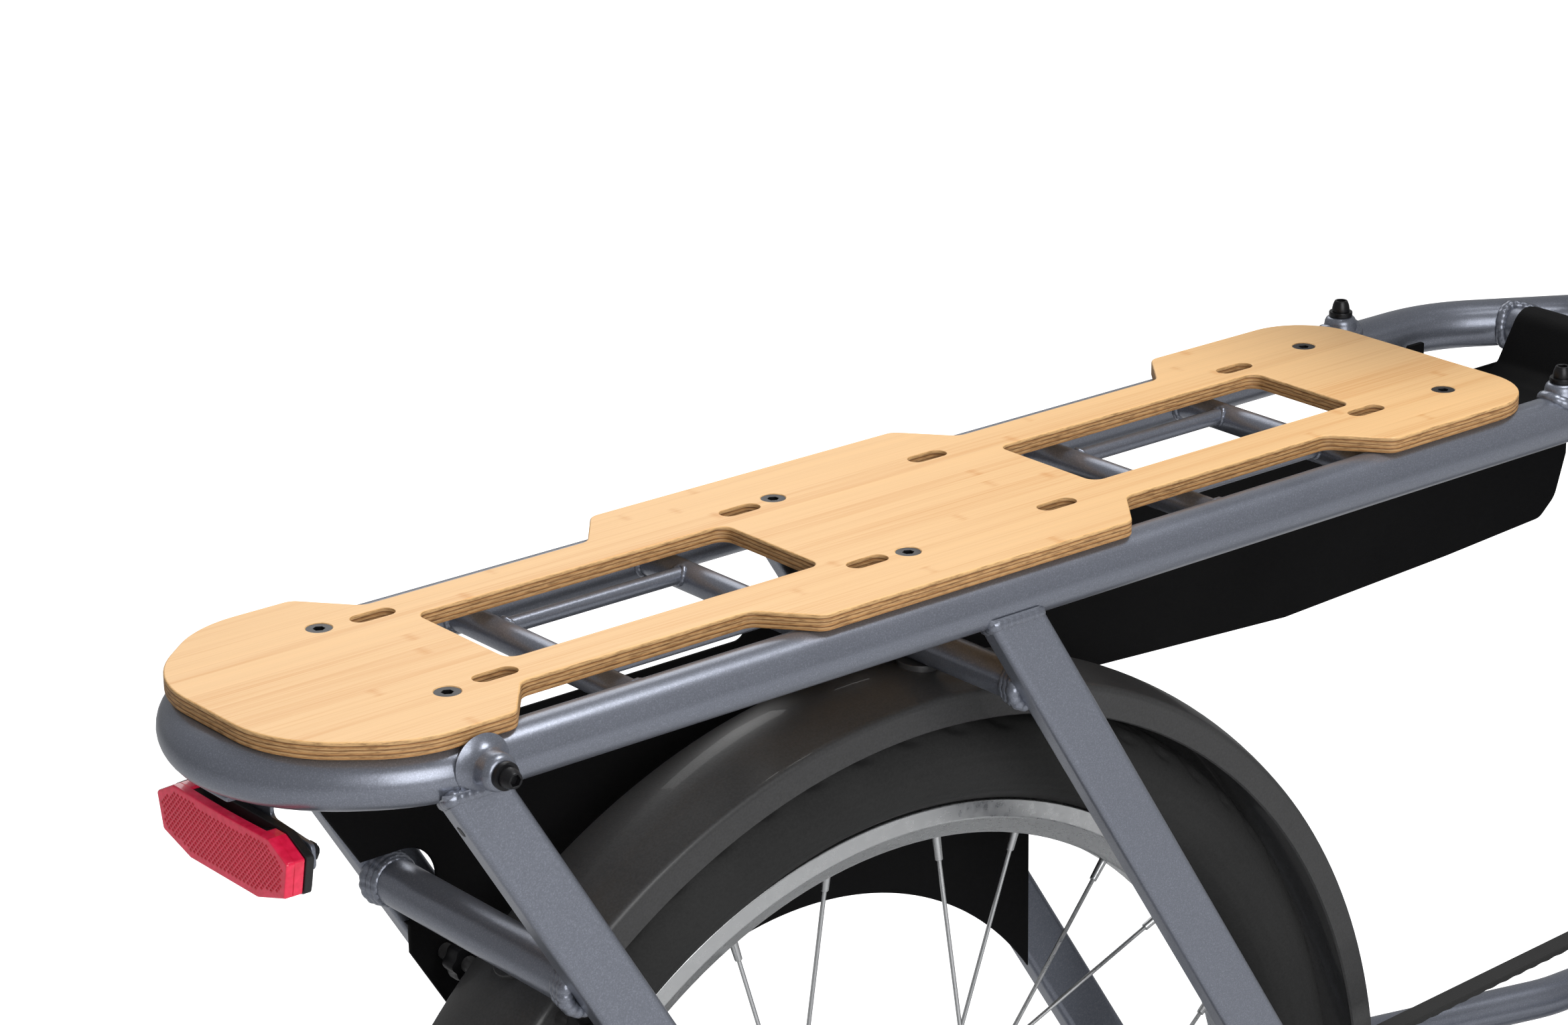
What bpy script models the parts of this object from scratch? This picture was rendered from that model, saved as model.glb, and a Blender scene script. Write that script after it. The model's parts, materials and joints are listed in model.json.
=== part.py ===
"""Long-tail electric cargo bicycle with a bamboo deck on its rear rack.

Metres, +Z up. Design coordinates: X forward from the rear pair of deck bolts, Y to the
rider's left, Z up from the top of the deck board. The finished part stands on Z = 0 with its
origin below the middle of its length.
"""
import math

import bmesh
import bpy
from mathutils import Matrix, Vector

# Running and seating gaps
CLEAR = 0.0003
BELT_GAP = 0.0008

# Stance
DECK_HEIGHT = 0.711
TYRE_R = 0.304
REAR_AXLE_X = 0.275
WHEELBASE = 1.275
BOTTOM_BRACKET_X = 0.953
BOTTOM_BRACKET_H = 0.290
SEAT_ANGLE = math.radians(74.0)
HEAD_ANGLE = math.radians(70.0)
FORK_OFFSET = 0.045

# Deck board
BOARD_T = 0.008
BOARD_WIDE = 0.0845
BOARD_NECK = 0.0586
BOARD_FRONT_X = 0.642
BOARD_FRONT_R = 0.035
BOARD_SHOULDERS = ((0.009, 0.030), (0.152, 0.173), (0.356, 0.377), (0.510, 0.531))
BOARD_TAIL = ((-0.040, 0.0845, 0.055), (-0.086, 0.046, 0.060))
SHOULDER_R = 0.008
WINDOWS = ((0.041, 0.212, 0.0345), (0.380, 0.554, 0.0335))
WINDOW_R = 0.008
SLOT_X = (0.026, 0.230, 0.345, 0.552)
SLOT_Y = 0.0455
SLOT_L = 0.022
SLOT_W = 0.0095

# Deck bolts, countersunk
BOLT_X = (0.0, 0.252, 0.605)
BOLT_Y = 0.048
BOLT_R = 0.003
BOLT_HEAD_R = 0.006
BOLT_LENGTH = 0.020
SOCKET_R = 0.0023
SOCKET_DEPTH = 0.0022
NUT_R = 0.005
NUT_H = 0.004

# Rack loop and what is welded to it
RAIL_R = 0.0127
RAIL_Y = 0.076
RAIL_REAR_X = -0.030
RAIL_REAR_R = 0.070
TAIL_X = -0.086
TAIL_CORNER = (-0.084, 0.038)
TAIL_R = 0.075
RAIL_BEND_X = 0.728
RAIL_BEND_R = 0.090
RAIL_BEND = math.radians(31.6)
FRONT_TUBE_X = 0.765
FRONT_TUBE_R = 0.011
TAB_T = 0.004
TAB_HALF = 0.012
TAB_INNER_Y = 0.038
BOSS_R = 0.0085
BOSS_BORE = 0.012
REAR_BOSS_X = -0.011
REAR_BOSS_DROP = 0.017
REAR_BOSS_Y = 0.102
FRONT_BOSS_X = 0.662
FRONT_BOSS_DROP = 0.0018
BOSS_FOOT_R = 0.0115
BOSS_BOLT_H = 0.0085
WASHER_R = 0.0062
WASHER_T = 0.0027

# Grids under the windows
GRID_TUBE_R = 0.007
GRID_DROP = 0.020
GRID_PAIRS = (("rear", 0.0835, 0.1904), ("front", 0.429, 0.535))
GRID_ROD_R = 0.0039
GRID_ROD_Y = 0.0337
GRID_ROD_DROP = 0.0178

# Struts: a point on each centre line, its lean and its outer size
STRUT_DEPTH = 0.028
STRUT_IN_Y = 0.075
STRUT_T = 0.014
MID_STRUT_T = 0.0135
STRUT_CORNER_R = 0.003
STRUT_TOP_ABOVE_RAIL = -0.006
REAR_STRUT_POINT = (0.0536, -0.1405)
REAR_STRUT_LEAN = math.radians(31.0)
MID_STRUT_POINT = (0.3086, -0.070)
MID_STRUT_LEAN = math.radians(32.0)
REAR_BRIDGE = (0.045, -0.140)
REAR_BRIDGE_R = 0.011
MID_BRIDGE = (0.300, -0.070)
MID_BRIDGE_R = 0.009

# Chainstays and dropouts
STAY_R = 0.011
STAY_Y = 0.082
STAY_BEHIND_AXLE = 0.069
STAY_BELOW_AXLE = 0.030
STAY_OUTER_X = 0.620
STAY_INNER_X = 0.800
STAY_INNER_Y = 0.027
STAY_FRONT_Y = 0.020
STAY_FRONT_DROP = 0.004
DROPOUT_Y = (0.0755, 0.0815)
AXLE_R = 0.006

# Main frame
SEAT_TUBE_R = 0.0175
SEAT_TUBE_TOP = 0.050
SEAT_BORE_BOTTOM = -0.135
POST_R = 0.0158
TOP_TUBE_R = 0.017
TOP_TUBE_HEAD_S = 0.505
TOP_TUBE_SEAT_Z = -0.160
DOWN_TUBE_R = 0.028
DOWN_TUBE_HEAD_S = 0.432
HEAD_TUBE_R = 0.022
HEAD_TUBE_S = (0.385, 0.525)
STEERER_R = 0.0143
MOTOR_REAR_R = 0.058
MOTOR_FRONT = (1.045, -0.385)
MOTOR_FRONT_R = 0.072
MOTOR_HALF = 0.040
MOTOR_COLLAR_R = 0.020
MOTOR_COLLAR_T = 0.0035
BRACKET_WALL = 0.014
BRACKET_HALF = 0.030
BRACKET_DROP = 0.024
LUG_HALF = 0.015
LUG_DEPTH = 0.020
BATTERY_SPAN = (0.115, 0.380)
BATTERY_HEIGHT = 0.060
BATTERY_HALF = 0.040
BATTERY_CORNER_R = 0.014
RAIL_PLATE_T = 0.008
RAIL_PLATE_HALF = 0.020

# Drive
SPINDLE_R = 0.012
CRANK_LENGTH = 0.170
CRANK_IN_Y = 0.060
CRANK_T = 0.014
BELT_Y = -0.048
BELT_W = 0.011
BELT_T = 0.004
BELT_PITCH = 0.011
RING_TEETH = 50
SPROCKET_TEETH = 24
TOOTH_H = 0.0022
RING_T = 0.005
SPROCKET_T = 0.008
PEDAL_Y = (0.092, 0.188)
PEDAL_LENGTH = 0.096
PEDAL_T = 0.018
PEDAL_SPINDLE_R = 0.0055

# Brake calipers, as corners measured from their axle
REAR_CALIPER = ((0.025, 0.033), (0.075, 0.077))
REAR_CALIPER_IN_Y = 0.0535
FRONT_CALIPER = ((-0.095, 0.017), (-0.050, 0.063))
FRONT_CALIPER_Y = (0.029, 0.051)
FRONT_CALIPER_MOUNT = ((-0.017, 0.005), (-0.080, 0.021), (-0.088, 0.059), (-0.038, 0.072))
ROTOR_GAP = 0.0018
ROTOR_RIM_GAP = 0.003

# Wheels
TYRE_HALF = 0.025
TYRE_INNER_R = 0.2575
RIM_HALF = 0.0125
RIM_DEPTH = 0.019
RIM_STEPS = 36
SPOKE_R = 0.0011
SPOKE_COUNT = 24
REAR_FLANGE_R = 0.047
REAR_FLANGE_Y = 0.031
REAR_HUB_R = 0.040
REAR_HUB_HALF = 0.0752
DRIVER_R = 0.020
FRONT_FLANGE_R = 0.027
FRONT_FLANGE_Y = 0.030
FRONT_HUB_R = 0.016
FRONT_HUB_HALF = 0.048
ROTOR_R = 0.080
ROTOR_T = 0.0018
REAR_ROTOR_Y = 0.062
FRONT_ROTOR_Y = 0.039

# Fenders
FENDER_GAP = 0.016
FENDER_CROWN = 0.0065
FENDER_HALF = 0.030
FENDER_T = 0.002
FENDER_LIP = 0.014
REAR_FENDER_ARC = (math.radians(2.0), math.radians(200.0))
FRONT_FENDER_ARC = (math.radians(48.0), math.radians(188.0))
FENDER_POST_R = 0.006
KNOB_ANGLE = math.radians(132.5)
KNOB_IN = 0.0093
KNOB_R = 0.009
KNOB_Y = (0.041, 0.050)
STAY_ROD_R = 0.004

# Wheel skirt, on the left only
SKIRT_Y = 0.060
SKIRT_T = 0.0025
SKIRT_TOP = -0.072
SKIRT_TOP_FRONT = -0.047
SKIRT_STEP_X = (0.242, 0.258)
SKIRT_FRONT_X = 0.832
SKIRT_HUB_R = 0.185
SKIRT_HUB_ARC = (math.radians(144.9), math.radians(35.0))
SKIRT_REAR_EDGE = ((-0.006, -0.072), (0.005, -0.094))
SKIRT_WING = (0.002, 0.034)
SKIRT_LOWER_EDGE = ((0.4265, -0.146), (0.466, -0.146), (0.610, -0.155), (0.736, -0.151))
SKIRT_FRONT_EDGE = ((0.812, -0.147), (0.824, -0.137), (SKIRT_FRONT_X, -0.113))
SKIRT_PEG_Z = (-0.097, -0.280, -0.120)
SKIRT_PEG_R = 0.005
SKIRT_HANGER_X = (0.694, 0.706)
SKIRT_HANGER_LOW = -0.060
SKIRT_NOTCH_GAP = 0.0070

# Guard over the front tube of the rack
GUARD_HALF = 0.036
GUARD_NOSE_HALF = 0.019
GUARD_T = 0.0015

# Rear reflector: lens front, lens back, housing front and bracket front, then its outline and bolts
REFLECTOR_X = (-0.0840, -0.0746, -0.0690, -0.0665)
REFLECTOR_FACE = ((0.037, -0.046), (0.0505, -0.053), (0.047, -0.0695), (0.026, -0.076))
REFLECTOR_BOLT = (0.039, -0.056)
REFLECTOR_STEM_HALF = 0.0155

# Steering
FORK_LEG_R = 0.011
FORK_LEG_Y = 0.060
CROWN_Y = 0.046
CROWN_S = 0.364
CROWN_R = 0.024
CROWN_END_R = 0.013
CROWN_HALF_T = 0.011
STEM_R = 0.019
STEM_TOP_S = 0.735
BAR_S = 0.715
BAR_F = 0.045
BAR_R = 0.0111
BAR_SLEEVE_R = 0.0159
BAR_RISE = 0.055
GRIP_R = 0.0165
GRIP_START = 0.10
LEVER_REACH = 0.040
LEVER_LENGTH = 0.115
LEVER_BARREL_H = 0.012

# Centre stand
STAND_PIVOT = (0.760, -0.530)
STAND_FOOT = (0.775, 0.150)
STAND_LEG_R = 0.009
STAND_PIN_R = 0.006

# Saddle
SADDLE_BASE = 0.222
SADDLE_TOP = 0.262
SADDLE_X = (0.620, 0.890)
SADDLE_HALF = 0.082
SADDLE_NOSE_HALF = 0.021
SADDLE_RAIL_R = 0.0035
SADDLE_RAIL_Y = 0.022
SADDLE_RAIL_Z = 0.207

# Worked out from the sizes above
AXLE_Z = TYRE_R - DECK_HEIGHT
FRONT_AXLE_X = REAR_AXLE_X + WHEELBASE
STAY_REAR = (REAR_AXLE_X - STAY_BEHIND_AXLE, AXLE_Z - STAY_BELOW_AXLE)
FENDER_R = TYRE_R + FENDER_GAP
KNOB_REACH = FENDER_R - KNOB_IN
KNOB = (REAR_AXLE_X + KNOB_REACH * math.cos(KNOB_ANGLE), AXLE_Z + KNOB_REACH * math.sin(KNOB_ANGLE))
RAIL_Z = -(BOARD_T + CLEAR + RAIL_R)
RAIL_TOP = RAIL_Z + RAIL_R
REAR_EDGE = TAIL_X - RAIL_R
FRONT_EDGE = FRONT_AXLE_X + TYRE_R
MID_X = (REAR_EDGE + FRONT_EDGE) / 2.0
BB = (BOTTOM_BRACKET_X, BOTTOM_BRACKET_H - DECK_HEIGHT)
RING_R = RING_TEETH * BELT_PITCH / math.tau
SPROCKET_R = SPROCKET_TEETH * BELT_PITCH / math.tau
DOWN_START = Vector((MOTOR_FRONT[0], 0.0, MOTOR_FRONT[1]))
PARTS = "electric_bicycle"
CUTTERS = "cutters"

FINISHES = {
    "frame": ((0.160, 0.182, 0.230), 0.42, 0.35),
    "bamboo": ((0.800, 0.500, 0.245), 0.50, 0.0),
    "black_steel": ((0.020, 0.020, 0.022), 0.45, 0.6),
    "black_plastic": ((0.016, 0.016, 0.017), 0.60, 0.0),
    "fender": ((0.037, 0.037, 0.038), 0.45, 0.0),
    "red_lens": ((0.560, 0.012, 0.035), 0.22, 0.0),
    "rubber": ((0.014, 0.014, 0.014), 0.80, 0.0),
    "alloy": ((0.600, 0.610, 0.620), 0.32, 0.9),
    "saddle": ((0.022, 0.021, 0.020), 0.62, 0.0),
    "lamp": ((0.700, 0.720, 0.740), 0.12, 0.0),
}


# Building blocks

def clear_scene():
    for obj in list(bpy.data.objects):
        bpy.data.objects.remove(obj, do_unlink=True)


def collection(name):
    group = bpy.data.collections.get(name)
    if group is None:
        group = bpy.data.collections.new(name)
        bpy.context.scene.collection.children.link(group)
    return group


def place(point):
    """Design coordinates to the part's own frame."""
    return Vector((point[0] - MID_X, point[1], point[2] + DECK_HEIGHT))


def link(name, data):
    obj = bpy.data.objects.new(name, data)
    collection(PARTS).objects.link(obj)
    return obj


def evaluated_mesh(obj):
    bpy.context.view_layer.update()
    graph = bpy.context.evaluated_depsgraph_get()
    return bpy.data.meshes.new_from_object(obj.evaluated_get(graph))


def weld(mesh, distance=1e-6):
    shape = bmesh.new()
    shape.from_mesh(mesh)
    bmesh.ops.remove_doubles(shape, verts=shape.verts, dist=distance)
    bmesh.ops.dissolve_degenerate(shape, edges=shape.edges, dist=distance)
    bmesh.ops.recalc_face_normals(shape, faces=shape.faces)
    shape.to_mesh(mesh)
    shape.free()


def bake(obj):
    """Replace an object's data by its evaluated mesh, in its parent's space."""
    mesh = evaluated_mesh(obj)
    mesh.transform(obj.matrix_world)
    weld(mesh)
    name = obj.name
    bpy.data.objects.remove(obj, do_unlink=True)
    baked = link(name, mesh)
    return baked


def solid_from(name, shape, matrix):
    mesh = bpy.data.meshes.new(name)
    shape.to_mesh(mesh)
    shape.free()
    mesh.transform(matrix)
    weld(mesh)
    return link(name, mesh)


def frame_along(start, end):
    """Matrix at the middle of a line, local Z along it and local Y near the world's Y."""
    a = place(start)
    b = place(end)
    z_axis = (b - a).normalized()
    side = Vector((0.0, 1.0, 0.0)) if abs(z_axis.y) < 0.9 else Vector((1.0, 0.0, 0.0))
    x_axis = side.cross(z_axis).normalized()
    y_axis = z_axis.cross(x_axis)
    matrix = Matrix((x_axis, y_axis, z_axis)).transposed().to_4x4()
    matrix.translation = (a + b) / 2.0
    return matrix


def rod(name, start, end, radius, end_radius=None, sides=16):
    shape = bmesh.new()
    length = (Vector(end) - Vector(start)).length
    far = radius if end_radius is None else end_radius
    bmesh.ops.create_cone(shape, cap_ends=True, segments=sides, radius1=radius, radius2=far, depth=length)
    return solid_from(name, shape, frame_along(start, end))


def block(name, low, high):
    shape = bmesh.new()
    bmesh.ops.create_cube(shape, size=1.0)
    a = place(low)
    b = place(high)
    size = Matrix.Diagonal((b.x - a.x, b.y - a.y, b.z - a.z, 1.0))
    return solid_from(name, shape, Matrix.Translation((a + b) / 2.0) @ size)


def tube(name, path, radius, sides=12):
    """A round bar along a path, as a curve with filled caps made into a mesh."""
    curve = bpy.data.curves.new(name, "CURVE")
    curve.dimensions = "3D"
    curve.bevel_depth = radius
    curve.bevel_resolution = sides // 2 - 2
    curve.use_fill_caps = True
    spline = curve.splines.new("POLY")
    spline.points.add(len(path) - 1)
    for point, target in zip(spline.points, path):
        point.co = (*place(target), 1.0)
    return bake(link(name, curve))


def outline_curve(name, loops, thickness):
    curve = bpy.data.curves.new(name, "CURVE")
    curve.dimensions = "2D"
    curve.fill_mode = "BOTH"
    curve.extrude = thickness / 2.0
    for loop in loops:
        spline = curve.splines.new("POLY")
        spline.points.add(len(loop) - 1)
        spline.use_cyclic_u = True
        for point, target in zip(spline.points, loop):
            point.co = (target[0], target[1], 0.0, 1.0)
    return link(name, curve)


def board(name, loops, low, high):
    """Outlines in X and Y made into a flat solid between two heights."""
    obj = outline_curve(name, loops, high - low)
    obj.location = place((0.0, 0.0, (low + high) / 2.0))
    return bake(obj)


def side_plate(name, loops, low, high):
    """Outlines in X and Z made into a flat solid between two Y values."""
    obj = outline_curve(name, loops, high - low)
    obj.rotation_euler = (math.pi / 2.0, 0.0, 0.0)
    obj.location = place((0.0, (low + high) / 2.0, 0.0))
    return bake(obj)


def beam(name, loop, start, end):
    """A cross-section carried straight from start to end."""
    obj = outline_curve(name, [loop], (Vector(end) - Vector(start)).length)
    obj.matrix_world = frame_along(start, end)
    return bake(obj)


def turned(name, profile, centre, axis, steps=24, ring=False):
    """Spin a profile of (radius, height) about an axis through a point."""
    mesh = bpy.data.meshes.new(name)
    edges = [(i, i + 1) for i in range(len(profile) - 1)]
    if ring:
        edges.append((len(profile) - 1, 0))
    mesh.from_pydata([(radius, 0.0, height) for radius, height in profile], edges, [])
    obj = link(name, mesh)
    screw = obj.modifiers.new("turn", "SCREW")
    screw.steps = steps
    screw.render_steps = steps
    screw.use_merge_vertices = True
    screw.merge_threshold = 1e-5
    turn = Vector((0.0, 0.0, 1.0)).rotation_difference(Vector(axis)).to_matrix().to_4x4()
    obj.matrix_world = Matrix.Translation(place(centre)) @ turn
    return bake(obj)


def fuse(target, *others):
    """Join solids into one closed body."""
    name = target.name
    for other in others:
        modifier = target.modifiers.new("join", "BOOLEAN")
        modifier.operation = "UNION"
        modifier.solver = "EXACT"
        modifier.object = other
    result = bake(target)
    for other in others:
        bpy.data.objects.remove(other, do_unlink=True)
    result.name = name
    return result


def carve(target, cutter):
    """Cut a solid by another, which is kept as a hidden wire in the cutters' collection."""
    modifier = target.modifiers.new("cut", "BOOLEAN")
    modifier.operation = "DIFFERENCE"
    modifier.solver = "EXACT"
    modifier.object = cutter
    if cutter.name not in collection(CUTTERS).objects:
        collection(PARTS).objects.unlink(cutter)
        collection(CUTTERS).objects.link(cutter)
    cutter.hide_render = True
    cutter.display_type = "WIRE"
    return target


def rounded(points, radii, steps=5, closed=False):
    """Replace each corner of a path by an arc of its radius."""
    corners = [Vector((*p, 0.0)) if len(p) == 2 else Vector(p) for p in points]
    flat = len(points[0]) == 2
    count = len(corners)
    result = []
    for i, corner in enumerate(corners):
        radius = radii if isinstance(radii, float) else radii[i]
        at_end = not closed and i in (0, count - 1)
        before = corners[i - 1] - corner
        after = corners[(i + 1) % count] - corner
        if at_end or radius <= 0.0:
            result.append(corner)
            continue
        before.normalize()
        after.normalize()
        half = before.angle(after) / 2.0
        middle = corner + (before + after).normalized() * radius / math.sin(half)
        start = corner + before * radius / math.tan(half) - middle
        end = corner + after * radius / math.tan(half) - middle
        normal = start.cross(end).normalized()
        sweep = start.angle(end)
        for step in range(steps + 1):
            result.append(middle + Matrix.Rotation(sweep * step / steps, 3, normal) @ start)
    return [(p.x, p.y) if flat else (p.x, p.y, p.z) for p in result]


def arc(centre, radius, start, end, steps):
    """Points on a circle from one angle to another."""
    angles = [start + (end - start) * i / steps for i in range(steps + 1)]
    return [(centre[0] + radius * math.cos(a), centre[1] + radius * math.sin(a)) for a in angles]


def rounded_box(width, height, radius, steps=2):
    w = width / 2.0
    h = height / 2.0
    return rounded([(-w, -h), (w, -h), (w, h), (-w, h)], radius, steps, closed=True)


def hull_outline(first, first_r, second, second_r, grow=0.0, steps=12):
    """The band round two circles: an arc on each, joined by their common tangents."""
    a = first_r + grow
    b = second_r + grow
    run = Vector((second[0] - first[0], second[1] - first[1]))
    heading = math.atan2(run.y, run.x)
    open_angle = math.acos((a - b) / run.length)
    back = arc(first, a, heading + open_angle, heading + math.tau - open_angle, steps)
    front = arc(second, b, heading - open_angle, heading + open_angle, steps)
    return back + front


def mirrored(points):
    return [(x, -y, *rest) for x, y, *rest in points]


def finish(obj, kind):
    """Give a sub-part its own material and smooth shading between sharp edges."""
    colour, roughness, metallic = FINISHES[kind]
    material = bpy.data.materials.new(f"{obj.name}_{kind}")
    material.use_nodes = True
    shader = material.node_tree.nodes["Principled BSDF"]
    shader.inputs["Base Color"].default_value = (*colour, 1.0)
    shader.inputs["Roughness"].default_value = roughness
    shader.inputs["Metallic"].default_value = metallic
    material.diffuse_color = (*colour, 1.0)
    obj.data.materials.clear()
    obj.data.materials.append(material)
    obj.data.shade_smooth()
    obj.data.set_sharp_from_angle(angle=math.radians(35.0))
    if obj.modifiers:
        close = obj.modifiers.new("close", "WELD")
        close.merge_threshold = 2e-6
    return obj


def moving(obj, empty):
    """Hang a sub-part on the empty that stands on its joint's axis."""
    origin = empty.matrix_world.translation
    obj.data.transform(Matrix.Translation(-origin))
    obj.matrix_world = Matrix.Translation(origin)
    bpy.context.view_layer.update()
    obj.parent = empty
    obj.matrix_parent_inverse = empty.matrix_world.inverted()
    return obj


def pivot(name, point, parent=None):
    empty = link(name, None)
    empty.location = place(point)
    bpy.context.view_layer.update()
    if parent is not None:
        empty.parent = parent
        empty.matrix_parent_inverse = parent.matrix_world.inverted()
        bpy.context.view_layer.update()
    return empty


def seat_point(z, y=0.0):
    """A point on the seat tube's centre line at a height."""
    return (BB[0] - (z - BB[1]) / math.tan(SEAT_ANGLE), y, z)


def steer_point(s, forward=0.0, y=0.0):
    """A point beside the steering axis: s up along it from axle height, and forward of it."""
    base = FRONT_AXLE_X - FORK_OFFSET / math.sin(HEAD_ANGLE)
    x = base - s * math.cos(HEAD_ANGLE) + forward * math.sin(HEAD_ANGLE)
    z = AXLE_Z + s * math.sin(HEAD_ANGLE) + forward * math.cos(HEAD_ANGLE)
    return (x, y, z)


def down_point(s, rise=0.0, y=0.0):
    """A point on the down tube's centre line, s up along it, raised square to it."""
    head = Vector(steer_point(DOWN_TUBE_HEAD_S))
    run = (head - DOWN_START).normalized()
    up = Vector((-run.z, 0.0, run.x))
    point = DOWN_START + run * s + up * rise
    return (point.x, y, point.z)


# Rack

def rail_path():
    reach = seat_point(RAIL_Z)[0] - RAIL_BEND_X - 0.6 * SEAT_TUBE_R
    end = (RAIL_BEND_X + reach, RAIL_Y - reach * math.tan(RAIL_BEND), RAIL_Z)
    left = [
        end,
        (RAIL_BEND_X, RAIL_Y, RAIL_Z),
        (RAIL_REAR_X, RAIL_Y, RAIL_Z),
        (*TAIL_CORNER, RAIL_Z),
    ]
    radii = [0.0, RAIL_BEND_R, RAIL_REAR_R, TAIL_R]
    points = left + [(TAIL_X, 0.0, RAIL_Z)] + mirrored(left[::-1])
    return rounded(points, radii + [0.0] + radii[::-1], 4)


def seat_tube_solid(name, grow=0.0):
    return rod(name, seat_point(BB[1]), seat_point(SEAT_TUBE_TOP), SEAT_TUBE_R + grow, sides=20)


def bolt_places():
    return [(x, y) for x in BOLT_X for y in (BOLT_Y, -BOLT_Y)]


def boss_places():
    """Face point and outward direction of each of the four threaded bosses."""
    places = []
    for side in (1.0, -1.0):
        face = (REAR_BOSS_X, side * REAR_BOSS_Y, -REAR_BOSS_DROP)
        places.append((face, (0.0, side, 0.0)))
        face = (FRONT_BOSS_X, side * RAIL_Y, -FRONT_BOSS_DROP)
        places.append((face, (0.0, 0.0, 1.0)))
    return places


def make_rack_loop():
    loop = tube("rack_loop", rail_path(), RAIL_R, sides=12)
    cross_y = RAIL_Y - (FRONT_TUBE_X - RAIL_BEND_X) * math.tan(RAIL_BEND)
    cross = rod("cross", (FRONT_TUBE_X, -cross_y, RAIL_Z), (FRONT_TUBE_X, cross_y, RAIL_Z), FRONT_TUBE_R)
    extras = [cross]
    for face, outward in boss_places():
        if outward[2] > 0.0:
            foot = (face[0], face[1], RAIL_TOP - 0.006)
            extras.append(rod("boss", foot, face, BOSS_FOOT_R, BOSS_R, 12))
        else:
            foot = (face[0], math.copysign(RAIL_Y + 0.004, face[1]), face[2])
            extras.append(rod("boss", foot, face, BOSS_R, sides=12))
    for x in BOLT_X:
        for side in (1.0, -1.0):
            inner, outer = sorted((side * TAB_INNER_Y, side * (RAIL_Y - 0.004)))
            low = (x - TAB_HALF, inner, RAIL_TOP - TAB_T)
            extras.append(block("tab", low, (x + TAB_HALF, outer, RAIL_TOP)))
    loop = fuse(loop, *extras)
    for i, (face, outward) in enumerate(boss_places()):
        top = Vector(face) + Vector(outward) * 0.002
        bottom = Vector(face) - Vector(outward) * BOSS_BORE
        carve(loop, rod(f"boss_bore_{i}", bottom, top, BOLT_R + CLEAR, sides=8))
    for i, (x, y) in enumerate(bolt_places()):
        low = (x, y, RAIL_TOP - 2.0 * TAB_T)
        carve(loop, rod(f"tab_bore_{i}", low, (x, y, RAIL_TOP + TAB_T), BOLT_R + CLEAR, sides=8))
    carve(loop, seat_tube_solid("seat_tube_cope", CLEAR))
    finish(loop, "frame")


def rail_cutter(name, side):
    y = side * RAIL_Y
    start = (RAIL_REAR_X - 0.02, y, RAIL_Z)
    return rod(name, start, (RAIL_BEND_X, y, RAIL_Z), RAIL_R + CLEAR, sides=32)


def make_grid(name, first_x, second_x):
    tubes = []
    for x in (first_x, second_x):
        tubes.append(rod("tube", (x, -RAIL_Y, -GRID_DROP), (x, RAIL_Y, -GRID_DROP), GRID_TUBE_R, sides=12))
    for side in (1.0, -1.0):
        y = side * GRID_ROD_Y
        ends = (first_x, y, -GRID_ROD_DROP), (second_x, y, -GRID_ROD_DROP)
        tubes.append(rod("rod", *ends, GRID_ROD_R, sides=8))
    tubes[0].name = name
    grid = fuse(*tubes)
    for side in (1.0, -1.0):
        carve(grid, rail_cutter(f"{name}_cope_{'left' if side > 0 else 'right'}", side))
    finish(grid, "frame")


def deck_outline():
    left = [(x, y) for x, y, _ in BOARD_TAIL[::-1]]
    radii = [radius for _, _, radius in BOARD_TAIL[::-1]]
    inward = True
    for start, end in BOARD_SHOULDERS:
        widths = (BOARD_WIDE, BOARD_NECK) if inward else (BOARD_NECK, BOARD_WIDE)
        left += [(start, widths[0]), (end, widths[1])]
        radii += [SHOULDER_R, SHOULDER_R]
        inward = not inward
    left.append((BOARD_FRONT_X, BOARD_WIDE))
    radii.append(BOARD_FRONT_R)
    return rounded(left + mirrored(left[::-1]), radii + radii[::-1], 2, closed=True)


def deck_windows():
    loops = []
    for start, end, half in WINDOWS:
        corners = [(start, -half), (end, -half), (end, half), (start, half)]
        loops.append(rounded(corners, WINDOW_R, 2, closed=True))
    return loops


def strap_slots():
    loops = []
    reach = (SLOT_L - SLOT_W) / 2.0
    for x in SLOT_X:
        for y in (SLOT_Y, -SLOT_Y):
            loops.append(hull_outline((x - reach, y), SLOT_W / 2.0, (x + reach, y), SLOT_W / 2.0, steps=3))
    return loops


def bolt_profile(grow=0.0, over=0.0):
    """Countersunk head and shank; over lifts the top for a cutter."""
    top = over if over else -CLEAR
    head = BOLT_HEAD_R + grow
    shank = BOLT_R + grow
    return [(0.0, top), (head, top), (head, -CLEAR), (shank, -CLEAR - BOLT_HEAD_R + BOLT_R)]


def make_deck():
    deck = board("deck_board", [deck_outline()], -BOARD_T, 0.0)
    carve(deck, board("deck_openings", [*deck_windows(), *strap_slots()], -2.0 * BOARD_T, BOARD_T))
    for i, (x, y) in enumerate(bolt_places()):
        below = -2.0 * BOARD_T
        profile = bolt_profile(CLEAR, 0.001) + [(BOLT_R + CLEAR, below), (0.0, below)]
        carve(deck, turned(f"deck_bore_{i}", profile, (x, y, 0.0), (0, 0, 1), 10))
    finish(deck, "bamboo")


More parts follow.
